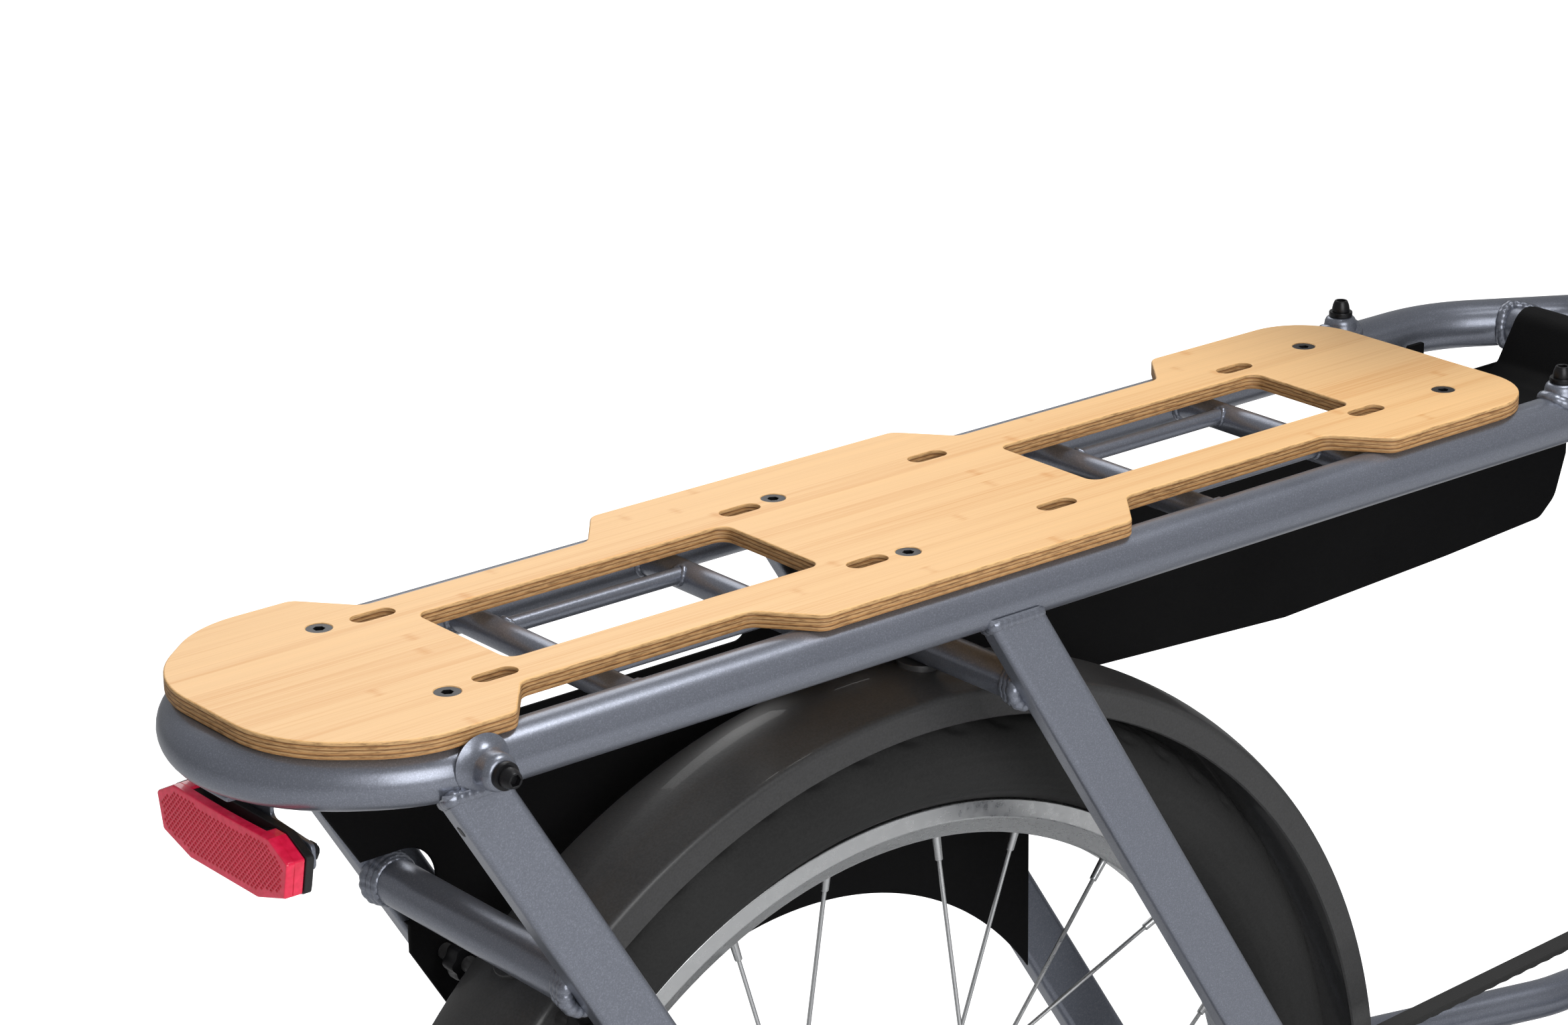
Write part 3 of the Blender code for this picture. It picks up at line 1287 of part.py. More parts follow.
def make_front_caliper(empty):
    low, high = ((FRONT_AXLE_X + x, AXLE_Z + z) for x, z in FRONT_CALIPER)
    inner, outer = FRONT_CALIPER_Y
    body = block("front_caliper", (low[0], inner, low[1]), (high[0], outer, high[1]))
    start = (FRONT_AXLE_X, FRONT_ROTOR_Y - ROTOR_GAP, AXLE_Z)
    end = (FRONT_AXLE_X, FRONT_ROTOR_Y + ROTOR_GAP, AXLE_Z)
    carve(body, rod("front_rotor_space", start, end, ROTOR_R + ROTOR_RIM_GAP, sides=48))
    moving(finish(body, "black_steel"), empty)


def make_front_fender(empty):
    centre = (FRONT_AXLE_X, AXLE_Z)
    fender = fender_shell("front_fender", centre, FRONT_FENDER_ARC)
    middle = steer_point(CROWN_S)
    drop = (CROWN_HALF_T + FENDER_POST_R * math.cos(HEAD_ANGLE)) / math.sin(HEAD_ANGLE)
    foot_z = middle[2] - drop - CLEAR
    angle = math.acos((middle[0] - centre[0]) / (FENDER_R + FENDER_CROWN - 2.0 * FENDER_T))
    start = wheel_polar(centre, FENDER_R + FENDER_CROWN - 2.0 * FENDER_T, angle)
    pieces = [rod("post", start, (middle[0], 0.0, foot_z), FENDER_POST_R, sides=12)]
    for side in (1.0, -1.0):
        edge = wheel_polar(centre, FENDER_R - 0.004, math.radians(172.0), side * (FENDER_HALF - 0.0005))
        outside = FORK_LEG_Y + FORK_LEG_R + 0.003
        path = [
            edge, (edge[0] + 0.030, side * outside, edge[2] - 0.006),
            (FRONT_AXLE_X - 0.010, side * outside, AXLE_Z),
        ]
        pieces.append(tube("stay", rounded(path, [0.0, 0.02, 0.0], 3), 0.0025, sides=8))
    moving(finish(fuse(fender, *pieces), "fender"), empty)


def bar_points(side):
    x, _, z = steer_point(BAR_S, BAR_F)
    return [
        (x, side * 0.055, z), (x - 0.012, side * 0.105, z + BAR_RISE - 0.010),
        (x - 0.045, side * 0.190, z + BAR_RISE), (x - 0.125, side * 0.330, z + BAR_RISE - 0.010),
    ]


def make_handlebar(empty):
    x, _, z = steer_point(BAR_S, BAR_F)
    right = bar_points(-1.0)
    left = bar_points(1.0)
    path = rounded([*right[::-1], *left], [0.0, 0.05, 0.03, 0.03, 0.03, 0.03, 0.05, 0.0], 3)
    bar = tube("handlebar", path, BAR_R, sides=10)
    sleeve = rod("sleeve", (x, -0.041, z), (x, 0.041, z), BAR_SLEEVE_R, sides=20)
    moving(finish(fuse(bar, sleeve), "black_steel"), empty)


def make_stem(empty):
    base = HEAD_TUBE_S[1] + CLEAR
    stem = rod("stem", steer_point(base), steer_point(STEM_TOP_S), STEM_R, sides=20)
    x, _, z = steer_point(BAR_S, BAR_F)
    reach = rod("reach", steer_point(BAR_S), (x, 0.0, z), 0.016, sides=14)
    clamp = rod("clamp", (x, -0.024, z), (x, 0.024, z), BAR_SLEEVE_R + 0.006, sides=24)
    stem = fuse(stem, reach, clamp)
    carve(stem, rod("bar_bore", (x, -0.05, z), (x, 0.05, z), BAR_SLEEVE_R + CLEAR, sides=20))
    start = steer_point(base - 0.01)
    carve(stem, rod("steerer_bore", start, steer_point(base + 0.073), STEERER_R + CLEAR, sides=24))
    moving(finish(stem, "black_steel"), empty)


def grip_frame(side):
    """Start of the grip's straight on the bar, the way along it, and the way the lever lies."""
    inner, outer = (Vector(p) for p in bar_points(side)[2:])
    along = (outer - inner).normalized()
    ahead = Vector((0.0, 0.0, 1.0)).cross(along) * -side
    return inner, along, ahead.normalized(), (outer - inner).length


def make_grips(empty):
    for word, side in (("left", 1.0), ("right", -1.0)):
        inner, along, _, length = grip_frame(side)
        start = inner + along * length * 0.22
        end = inner + along * (length + 0.003)
        grip = rod(f"grip_{word}", start, end, GRIP_R, sides=20)
        bore_ends = (start - along * 0.01, end - along * 0.0027)
        bore = rod(f"grip_bore_{word}", *bore_ends, BAR_R + 2.0 * CLEAR, sides=14)
        moving(finish(carve(grip, bore), "rubber"), empty)


def lever_pivot(side):
    inner, along, ahead, _ = grip_frame(side)
    return inner + along * 0.012 + ahead * LEVER_REACH


def make_brakes(empty):
    up = Vector((0.0, 0.0, 1.0))
    for word, side in (("left", 1.0), ("right", -1.0)):
        inner, along, ahead, _ = grip_frame(side)
        seat = inner + along * 0.012
        body = rod(f"brake_body_{word}", seat - along * 0.009, seat + along * 0.009, 0.0175, sides=20)
        tip = lever_pivot(side)
        arm = beam("arm", rounded_box(0.026, 0.026, 0.006), seat + ahead * 0.013, tip + ahead * 0.010)
        tank = rod("tank", seat + ahead * 0.027 - along * 0.040, seat + ahead * 0.027 + along * 0.004, 0.0105)
        body = fuse(body, arm, tank)
        back = seat - along * 0.02
        carve(body, rod(f"brake_bore_{word}", back, seat + along * 0.02, BAR_R + 2.0 * CLEAR, sides=14))
        gap = LEVER_BARREL_H / 2.0 + CLEAR
        start = tip - up * gap
        carve(body, rod(f"lever_space_{word}", start, tip + up * gap, 0.0185, sides=16))
        body = fuse(body, rod("pin", tip - up * 0.010, tip + up * 0.010, 0.0022, sides=12))
        moving(finish(body, "black_steel"), empty)


def make_levers(empty):
    up = Vector((0.0, 0.0, 1.0))
    for word, side in (("left", 1.0), ("right", -1.0)):
        _, along, ahead, _ = grip_frame(side)
        tip = lever_pivot(side)
        path = [
            tip, tip + along * 0.022 + ahead * 0.012,
            tip + along * 0.060 + ahead * 0.026, tip + along * LEVER_LENGTH + ahead * 0.024,
        ]
        lever = tube(f"lever_{word}", rounded(path, [0.0, 0.02, 0.03, 0.0], 3), 0.0048, sides=10)
        half = LEVER_BARREL_H / 2.0
        barrel = rod("barrel", tip - up * half, tip + up * half, 0.007, sides=16)
        lever = fuse(lever, barrel)
        start = tip - up * 0.02
        carve(lever, rod(f"lever_bore_{word}", start, tip + up * 0.02, 0.0022 + CLEAR, sides=12))
        axis = pivot(f"lever_axis_{word}", tip, empty)
        moving(finish(lever, "alloy"), axis)


def display_top():
    x, _, z = steer_point(BAR_S, BAR_F)
    return x, z + BAR_SLEEVE_R + 0.0225


def make_display(empty):
    x, top = display_top()
    bottom = top - 0.014
    display = block("display", (x - 0.026, -0.040, bottom), (x + 0.026, 0.040, top))
    _, _, z = steer_point(BAR_S, BAR_F)
    rings = []
    for side in (1.0, -1.0):
        rings.append(rod("ring", (x, side * 0.029, z), (x, side * 0.037, z), BAR_SLEEVE_R + 0.004, sides=16))
        low = (x - 0.008, min(side * 0.029, side * 0.037), z + 0.012)
        rings.append(block("leg", low, (x + 0.008, max(side * 0.029, side * 0.037), bottom + 0.002)))
    display = fuse(display, *rings)
    carve(display, rod("display_bore", (x, -0.05, z), (x, 0.05, z), BAR_SLEEVE_R + CLEAR, sides=20))
    spot = (x - 0.018, 0.030)
    pocket = rod("button_pocket", (*spot, top - 0.0045), (*spot, top + 0.01), 0.0055 + CLEAR, sides=20)
    moving(finish(carve(display, pocket), "black_plastic"), empty)
    slide = pivot("button_slide", (*spot, top), empty)
    button = rod("assist_button", (*spot, top - 0.0025), (*spot, top + 0.0015), 0.0055, sides=20)
    moving(finish(button, "black_plastic"), slide)


def make_headlight(empty):
    centre = steer_point(HEAD_TUBE_S[0] + 0.045, 0.072)
    profile = [
        (0.0, 0.024), (0.022, 0.0235), (0.0275, 0.020), (0.0285, 0.010),
        (0.026, -0.006), (0.016, -0.020), (0.0, -0.024),
    ]
    lamp = turned("headlight", profile, centre, (1, 0, 0), 20)
    foot = steer_point(CROWN_S)
    reach = CROWN_R * math.sin(HEAD_ANGLE) + CROWN_HALF_T * math.cos(HEAD_ANGLE)
    front = (foot[0] + reach + CLEAR, 0.0, foot[2])
    strap = beam("strap", rounded_box(0.004, 0.020, 0.0012, 1), (front[0] + 0.002, 0.0, front[2] - 0.008),
                 (front[0] + 0.002, 0.0, centre[2] - 0.014))
    shelf = beam("shelf", rounded_box(0.004, 0.020, 0.0012, 1), (front[0] + 0.001, 0.0, centre[2] - 0.016),
                 (centre[0] + 0.002, 0.0, centre[2] - 0.016))
    moving(finish(fuse(lamp, strap, shelf), "black_plastic"), empty)


# Saddle and stand

def make_seatpost(empty):
    post = rod("seatpost", seat_point(-0.120), seat_point(SADDLE_RAIL_Z - 0.012), POST_R, sides=24)
    x = seat_point(SADDLE_RAIL_Z)[0]
    top = SADDLE_RAIL_Z - SADDLE_RAIL_R - CLEAR
    head = block("head", (x - 0.024, -0.030, top - 0.014), (x + 0.024, 0.030, top))
    moving(finish(fuse(post, head), "alloy"), empty)


def saddle_half(share):
    """Half-width along the saddle, from the tail at 0 to the nose at 1."""
    wing = 1.0 / (1.0 + math.exp((share - 0.46) * 13.0))
    return SADDLE_NOSE_HALF + (SADDLE_HALF - SADDLE_NOSE_HALF) * wing


def make_saddle(empty):
    shape = bmesh.new()
    rings = []
    count = 11
    sides = 12
    for i in range(count):
        share = i / (count - 1)
        x = SADDLE_X[0] + (SADDLE_X[1] - SADDLE_X[0]) * share
        tuck = math.sin(math.pi * min(max(share, 0.03), 0.97)) ** 0.22
        half = saddle_half(share) * tuck
        low = SADDLE_BASE + 0.006 * (1.0 - tuck)
        rise = (SADDLE_TOP - 0.012 * math.sin(math.pi * share) + 0.004 * (share < 0.2) - low) * tuck
        ring = []
        for j in range(sides):
            angle = math.tau * j / sides
            y = half * math.copysign(abs(math.cos(angle)) ** 0.75, math.cos(angle))
            height = 0.5 + 0.5 * math.copysign(abs(math.sin(angle)) ** 0.7, math.sin(angle))
            ring.append(shape.verts.new(place((x, y, low + rise * height))))
        rings.append(ring)
    for a, b in zip(rings, rings[1:]):
        for j in range(sides):
            k = (j + 1) % sides
            shape.faces.new((a[j], a[k], b[k], b[j]))
    shape.faces.new(rings[0])
    shape.faces.new(rings[-1][::-1])
    pad = solid_from("saddle", shape, Matrix.Identity(4))
    rails = []
    for side in (1.0, -1.0):
        y = side * SADDLE_RAIL_Y
        path = [
            (0.655, y * 1.6, SADDLE_BASE + 0.010), (0.690, y, SADDLE_RAIL_Z),
            (0.800, y, SADDLE_RAIL_Z), (0.862, y * 0.45, SADDLE_BASE + 0.012),
        ]
        rails.append(tube("rail", rounded(path, [0.0, 0.02, 0.02, 0.0], 3), SADDLE_RAIL_R, sides=8))
    moving(finish(fuse(pad, *rails), "saddle"), empty)


def make_seat_clamp():
    low = seat_point(SEAT_TUBE_TOP - 0.017)
    high = seat_point(SEAT_TUBE_TOP)
    ring = rod("seat_clamp", low, high, SEAT_TUBE_R + 0.0055, sides=24)
    mid = seat_point(SEAT_TUBE_TOP - 0.0085)
    ear = (mid[0] - SEAT_TUBE_R - 0.015, -0.011, mid[2] - 0.0055)
    ears = block("ears", ear, (mid[0] - SEAT_TUBE_R, 0.011, mid[2] + 0.0055))
    screw = rod("screw", (ear[0] + 0.007, -0.015, mid[2]), (ear[0] + 0.007, 0.015, mid[2]), 0.004, sides=12)
    ring = fuse(ring, ears, screw)
    start = seat_point(SEAT_TUBE_TOP - 0.04)
    bore = rod("clamp_bore", start, seat_point(SEAT_TUBE_TOP + 0.02), SEAT_TUBE_R + CLEAR, sides=24)
    finish(carve(ring, bore), "black_steel")


def make_centre_stand():
    pivot_x, pivot_z = STAND_PIVOT
    foot_x, foot_y = STAND_FOOT
    ground = -DECK_HEIGHT
    side_y = BRACKET_HALF + CLEAR
    pin = rod("centre_stand", (pivot_x, -side_y - 0.014, pivot_z), (pivot_x, side_y + 0.014, pivot_z),
              STAND_PIN_R, sides=20)
    pieces = []
    for side in (1.0, -1.0):
        start = (pivot_x, side * side_y, pivot_z)
        hub_end = (pivot_x, side * (side_y + 0.016), pivot_z)
        pieces.append(rod("eye", start, hub_end, 0.013, sides=16))
        path = [
            (pivot_x, side * (side_y + 0.008), pivot_z),
            (pivot_x + 0.001, side * (side_y + 0.014), pivot_z - 0.030),
            (foot_x, side * (foot_y - 0.006), ground + 0.012),
        ]
        pieces.append(tube("leg", rounded(path, [0.0, 0.03, 0.0], 4), STAND_LEG_R, sides=8))
        low = (foot_x - 0.020, side * foot_y - 0.014, ground)
        pieces.append(block("foot", low, (foot_x + 0.020, side * foot_y + 0.014, ground + 0.014)))
    turn = pivot("stand_turn", (pivot_x, 0.0, pivot_z))
    moving(finish(fuse(pin, *pieces), "black_steel"), turn)


def main():
    clear_scene()
    make_rack_loop()
    for word, first_x, second_x in GRID_PAIRS:
        make_grid(f"rack_grid_{word}", first_x, second_x)
    make_deck()
    make_deck_bolts()
    make_boss_bolts()
    make_struts()
    make_bridges()
    make_chainstays()
    make_main_frame()
    make_motor()
    make_battery()
    make_wheel_skirt()
    make_spray_guard()
    make_reflector()
    make_rear_fender()
    make_rear_caliper()
    make_drive_belt()
    make_seat_clamp()
    make_centre_stand()

    rear_axle = (REAR_AXLE_X, 0.0, AXLE_Z)
    rear_turn = pivot("rear_axle", rear_axle)
    make_tyre("rear_tyre", rear_axle, rear_turn)
    rear_hub = hub_profile(REAR_FLANGE_R, REAR_FLANGE_Y, REAR_HUB_R, REAR_HUB_HALF, -BELT_Y + 0.006)
    seat = (REAR_FLANGE_R, REAR_FLANGE_Y)
    make_wheel("rear_wheel", rear_axle, rear_hub, seat, REAR_ROTOR_Y, rear_turn)
    make_rear_sprocket(pivot("sprocket_turn", rear_axle))

    crank_turn = pivot("crank_turn", (BB[0], 0.0, BB[1]))
    make_cranks(crank_turn)
    make_pedal("pedal_right", -1.0, -1.0, crank_turn)
    make_pedal("pedal_left", 1.0, 1.0, crank_turn)

    post_slide = pivot("post_slide", seat_point(SEAT_TUBE_TOP))
    make_seatpost(post_slide)
    make_saddle(post_slide)

    steer_turn = pivot("steer_turn", steer_point(HEAD_TUBE_S[0]))
    make_fork(steer_turn)
    make_front_caliper(steer_turn)
    make_front_fender(steer_turn)
    make_stem(steer_turn)
    make_handlebar(steer_turn)
    make_grips(steer_turn)
    make_brakes(steer_turn)
    make_levers(steer_turn)
    make_display(steer_turn)
    make_headlight(steer_turn)
    front_axle = (FRONT_AXLE_X, 0.0, AXLE_Z)
    front_turn = pivot("front_axle", front_axle, steer_turn)
    make_tyre("front_tyre", front_axle, front_turn)
    front_hub = hub_profile(FRONT_FLANGE_R, FRONT_FLANGE_Y, FRONT_HUB_R, FRONT_HUB_HALF)
    seat = (FRONT_FLANGE_R, FRONT_FLANGE_Y)
    make_wheel("front_wheel", front_axle, front_hub, seat, FRONT_ROTOR_Y, front_turn)


if __name__ == "__main__":
    main()
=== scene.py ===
"""Finish and fine shapes of a long-tail electric bicycle, laid out as a Blender add-on.

Metres. Design coordinates: X forward from the rear pair of deck bolts, Y to the rider's left,
Z up from the top of the deck board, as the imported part's source has them.
"""

import json
import math

import bmesh
import bpy
import numpy as np
from bpy.props import FloatProperty, FloatVectorProperty, PointerProperty
from mathutils import Matrix, Vector
from mathutils.geometry import delaunay_2d_cdt


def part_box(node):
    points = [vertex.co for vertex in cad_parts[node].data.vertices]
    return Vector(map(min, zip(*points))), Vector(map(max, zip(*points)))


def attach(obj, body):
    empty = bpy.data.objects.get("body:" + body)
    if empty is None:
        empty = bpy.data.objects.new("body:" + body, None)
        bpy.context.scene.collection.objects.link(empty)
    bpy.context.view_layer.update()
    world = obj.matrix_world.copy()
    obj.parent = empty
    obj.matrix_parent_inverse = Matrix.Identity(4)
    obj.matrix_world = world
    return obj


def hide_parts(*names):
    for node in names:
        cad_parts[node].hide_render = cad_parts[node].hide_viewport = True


bl_info = {
    "name": "Cargo bicycle finish",
    "version": (1, 0, 0),
    "blender": (4, 5, 0),
    "location": "3D View > Sidebar > Bicycle",
    "description": "Makes the surfaces, welds, wood, rubber and studio of a long-tail bicycle",
    "category": "Object",
}

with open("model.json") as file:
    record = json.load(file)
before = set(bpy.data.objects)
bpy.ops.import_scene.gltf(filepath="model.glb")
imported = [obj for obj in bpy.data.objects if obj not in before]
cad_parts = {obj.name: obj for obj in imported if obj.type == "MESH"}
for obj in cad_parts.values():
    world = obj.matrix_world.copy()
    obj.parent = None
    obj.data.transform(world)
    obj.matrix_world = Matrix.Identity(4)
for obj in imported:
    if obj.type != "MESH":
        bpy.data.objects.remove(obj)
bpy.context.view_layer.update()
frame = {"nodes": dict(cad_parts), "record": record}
NODES = frame["nodes"]

# Directions, the two sides, and the gap between seated pieces
AHEAD = np.array((1.0, 0.0, 0.0))
LEFT = np.array((0.0, 1.0, 0.0))
UP = np.array((0.0, 0.0, 1.0))
SIDES = {"left": 1.0, "right": -1.0}
CLEAR = 0.0003

# Usual rounding of bars and of plates, and the angle in degrees above which an edge shades sharp
BAR_EDGE = 0.0006
PLATE_EDGE = 0.0005
SHARP = 38.0

# Stance, read from the frame where a node gives it
DECK_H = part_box("deck_board")[1].z
TYRE_R = (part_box("rear_tyre")[1].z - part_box("rear_tyre")[0].z) / 2.0
REAR_AXLE_X = 0.275
WHEELBASE = 1.275
SHIFT_X = (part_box("rear_tyre")[0].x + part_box("rear_tyre")[1].x) / 2.0 - REAR_AXLE_X
SHIFT = np.array((SHIFT_X, 0.0, DECK_H))
AXLE_Z = TYRE_R - DECK_H
FRONT_AXLE_X = REAR_AXLE_X + WHEELBASE
REAR_AXLE = (REAR_AXLE_X, AXLE_Z)
FRONT_AXLE = (FRONT_AXLE_X, AXLE_Z)
BB = (0.953, 0.290 - DECK_H)
SEAT_ANGLE = math.radians(74.0)
HEAD_ANGLE = math.radians(70.0)
FORK_OFFSET = 0.045

# Deck board: shoulders by start and end, tail by x, y and radius, windows by start, end and half
BOARD_T = 0.008
BOARD_WIDE = 0.0845
BOARD_NECK = 0.0586
BOARD_FRONT_X = 0.642
BOARD_FRONT_R = 0.035
BOARD_SHOULDERS = ((0.009, 0.030), (0.152, 0.173), (0.356, 0.377), (0.510, 0.531))
BOARD_TAIL = ((-0.040, 0.0845, 0.055), (-0.086, 0.046, 0.060))
SHOULDER_R = 0.008
WINDOWS = ((0.041, 0.212, 0.0345), (0.380, 0.554, 0.0335))
WINDOW_R = 0.006
SLOT_X = (0.026, 0.230, 0.345, 0.552)
SLOT_Y = 0.0455
SLOT_L = 0.022
SLOT_W = 0.0095
BOLT_X = (0.0, 0.252, 0.605)
BOLT_Y = 0.048
BOLT_HEAD_R = 0.006
BOLT_R = 0.003

# Rack tubes
RAIL_R = 0.0127
RAIL_Y = 0.076
RAIL_Z = -CLEAR - BOARD_T - RAIL_R
RAIL_TOP = RAIL_Z + RAIL_R
TAIL_X = -0.086
RAIL_REAR_X = -0.030
RAIL_REAR_R = 0.070
TAIL_CORNER = (-0.084, 0.038)
TAIL_CORNER_R = 0.075
RAIL_BEND_X = 0.728
RAIL_BEND_R = 0.090
RAIL_BEND = math.radians(31.6)
FRONT_TUBE_X = 0.765
FRONT_TUBE_R = 0.011
TAB_T = 0.004
TAB_HALF = 0.012
TAB_INNER_Y = 0.038
BOSS_R = 0.0085
BOSS_FOOT_R = 0.0102
SOCKET_R = 0.0023
REAR_BOSS = (-0.011, 0.102, -0.017)
FRONT_BOSS = (0.662, RAIL_Y, -0.0018)
GRID_PAIRS = (("rear", 0.0835, 0.1904), ("front", 0.429, 0.535))
GRID_TUBE_R = 0.007
GRID_Z = -0.020
GRID_ROD_R = 0.0039
GRID_ROD_Y = 0.0337
GRID_ROD_Z = -0.0178

# Struts: a point on the centre line, lean from upright and thickness
STRUT_DEPTH = 0.028
STRUT_IN_Y = 0.075
DRAIN_UP = 0.118
STRUTS = (
    ("rear_strut", (0.0536, -0.1405), math.radians(31.0), 0.014),
    ("mid_strut", (0.3086, -0.070), math.radians(32.0), 0.0135),
)
BRIDGES = (("rear_bridge_tube", (0.045, -0.140), 0.011), ("mid_bridge_tube", (0.300, -0.070), 0.009))
STAY_R = 0.011
STAY_Y = 0.082
STAY_REAR = (REAR_AXLE_X - 0.069, AXLE_Z - 0.030)
STAY_OUTER_X = 0.620
STAY_INNER_X = 0.800
STAY_INNER_Y = 0.027
STAY_FRONT_Y = 0.020
STAY_FRONT_DROP = 0.004
DROPOUT_Y = (0.0755, 0.0815)
AXLE_R = 0.006

# Main frame, motor and battery, where S is a distance up the steering axis from axle height
SEAT_TUBE_R = 0.0175
SEAT_TUBE_TOP = 0.050
POST_R = 0.0158
TOP_TUBE_R = 0.017
TOP_TUBE_HEAD_S = 0.505
TOP_TUBE_SEAT_Z = -0.160
DOWN_TUBE_R = 0.028
DOWN_TUBE_HEAD_S = 0.432
HEAD_TUBE_R = 0.022
HEAD_TUBE_S = (0.385, 0.525)
STEERER_R = 0.0143
MOTOR_REAR_R = 0.058
MOTOR_FRONT = (1.045, -0.385)
MOTOR_FRONT_R = 0.072
MOTOR_HALF = 0.040
BRACKET_WALL = 0.014
BRACKET_HALF = 0.030
BRACKET_DROP = 0.024
BATTERY_SPAN = (0.115, 0.380)
BATTERY_HEIGHT = 0.060
BATTERY_HALF = 0.040
RAIL_PLATE_T = 0.008

# Steering, saddle and stand
CROWN_S = 0.364
CROWN_Y = 0.046
CROWN_R = 0.024
CROWN_END_R = 0.013
CROWN_HALF_T = 0.011
FORK_LEG_R = 0.011
FORK_LEG_Y = 0.060
STEM_R = 0.019
STEM_TOP_S = 0.735
BAR_S = 0.715
BAR_F = 0.045
BAR_R = 0.0111
BAR_SLEEVE_R = 0.0159
BAR_RISE = 0.055
GRIP_R = 0.0165
LEVER_REACH = 0.040
LEVER_LENGTH = 0.115
SADDLE_X = (0.620, 0.890)
SADDLE_HALF = (0.082, 0.021)
SADDLE_BASE = 0.222
SADDLE_TOP = 0.262
PAD_LOW = 0.2338
SEAM_INSET = 0.013
SEAM_DEPTH = 0.0011
SEAM_WIDTH = 0.0026
STITCH = 0.0030
STITCH_STEP = 0.0050
PAD_SWELL = 0.005
CLOTH_FRAMES = 20
SADDLE_RAIL_R = 0.0035
SADDLE_RAIL_Y = 0.022
SADDLE_RAIL_Z = 0.207
STAND_PIVOT = (0.760, -0.530)
STAND_FOOT = (0.775, 0.150)
STAND_LEG_R = 0.009
STAND_PIN_R = 0.006

# Calipers: offsets of the low and high corner from the axle, and inner, disc and outer distances
REAR_CALIPER = ((0.025, 0.033), (0.075, 0.077), (0.0535, 0.062, 0.0752))
FRONT_CALIPER = ((-0.095, 0.017), (-0.050, 0.063), (0.029, 0.039, 0.051))

# Wheels and drive: a hub is its flanges' radius and distance, its shell's radius and its half width
TYRE_HALF = 0.025
TYRE_INNER_R = 0.2575
RIM_HALF = 0.0125
RIM_DEPTH = 0.019
SPOKE_COUNT = 24
REAR_HUB = (0.047, 0.031, 0.040, 0.0752)
FRONT_HUB = (0.027, 0.030, 0.016, 0.048)
DRIVER_R = 0.020
ROTOR_R = 0.080
ROTOR_T = 0.0018
REAR_ROTOR_Y = 0.062
FRONT_ROTOR_Y = 0.039
BELT_PITCH = 0.011
RING_TEETH = 50
SPROCKET_TEETH = 24
RING_R = RING_TEETH * BELT_PITCH / math.tau
SPROCKET_R = SPROCKET_TEETH * BELT_PITCH / math.tau
TOOTH_H = 0.0022
RING_T = 0.005
SPROCKET_T = 0.008
BELT_Y = -0.048
BELT_W = 0.011
BELT_T = 0.004
BELT_GAP = 0.0008
CRANK_LENGTH = 0.170
CRANK_IN_Y = 0.060
CRANK_T = 0.014
SPINDLE_R = 0.012
PEDAL_Y = (0.092, 0.188)
PEDAL_LENGTH = 0.096
PEDAL_T = 0.018
PEDAL_SPINDLE_R = 0.0055

# Fenders, skirt and guard
FENDER_R = TYRE_R + 0.016
FENDER_CROWN = 0.0065
FENDER_HALF = 0.030
FENDER_T = 0.002
FENDER_LIP = 0.014
REAR_FENDER_ARC = (math.radians(2.0), math.radians(200.0))
FRONT_FENDER_ARC = (math.radians(48.0), math.radians(188.0))
FENDER_POST_R = 0.006
KNOB_ANGLE = math.radians(132.5)
KNOB_REACH = FENDER_R - 0.0093
KNOB = (REAR_AXLE_X + KNOB_REACH * math.cos(KNOB_ANGLE), AXLE_Z + KNOB_REACH * math.sin(KNOB_ANGLE))
KNOB_R = 0.009
KNOB_Y = (0.041, 0.050)
STAY_ROD_R = 0.004
SKIRT_Y = 0.060
SKIRT_T = 0.0025
SKIRT_TOP = -0.072
SKIRT_TOP_FRONT = -0.047
SKIRT_HUB_R = 0.185
GUARD_HALF = 0.036
GUARD_NOSE_HALF = 0.019
GUARD_T = 0.0015

# Reflector: X of the lens's front and back, tray's back and bracket's back, then places in Y and Z
REFLECTOR_X = (-0.0840, -0.0746, -0.0690, -0.0665)
REFLECTOR_FACE = ((0.037, -0.046), (0.0505, -0.053), (0.047, -0.0695), (0.026, -0.076))
REFLECTOR_BOLT = (0.039, -0.056)
REFLECTOR_DIP = 0.0285
REFLECTOR_SINK = 0.0005
LENS_CORNER_R = 0.0015

# Camera, from the measured rack, and lamps as name, place, size and power, with the point they face
PICTURE_WIDTH = 2340
LENS_PIXELS = 6255.0
CAMERA_SPOT = (-0.9032, -1.3836, 0.6521)
CAMERA_ANGLES = (-39.056, 19.722, -0.829)
WORLD_LIGHT = 0.30
FLOOR_GLOW = 1.0
LAMPS = (
    ("key", (0.90, -0.45, 2.3), 1.1, 33.0),
    ("side", (-0.4, -2.5, 0.8), 1.8, 44.0),
    ("far", (1.4, 2.2, 1.6), 1.6, 16.0),
)
LAMP_AIM = (0.45, 0.0, -0.15)
SENSOR_WIDTH = 36.0
FLOOR_REACH = 12.0
FLOOR_GREY = 0.72


# Sizes and colours that the panel offers

def length(label, about, value):
    """A length that can be set, with its first value."""
    return FloatProperty(name=label, description=about, default=value, unit="LENGTH")


def paint(label, about, value):
    """A colour that can be set, with its first value."""
    return FloatVectorProperty(name=label, description=about, default=value, subtype="COLOR")


class BikeSizes(bpy.types.PropertyGroup):
    """Sizes of the details that are added over the solids."""

    bead: length("Weld bead", "Radius of a weld bead", 0.0030)
    bead_pitch: length("Weld ripple", "Distance between two ripples of a weld", 0.0038)
    board_edge: length("Deck edge", "Rounding of the deck board's edges", 0.0009)
    tread: length("Tread depth", "Depth of the tyre's grooves", 0.0016)
    spoke: length("Spoke", "Radius of a spoke", 0.0011)
    prism: length("Reflector prism", "Width of one prism of the reflector", 0.0021)


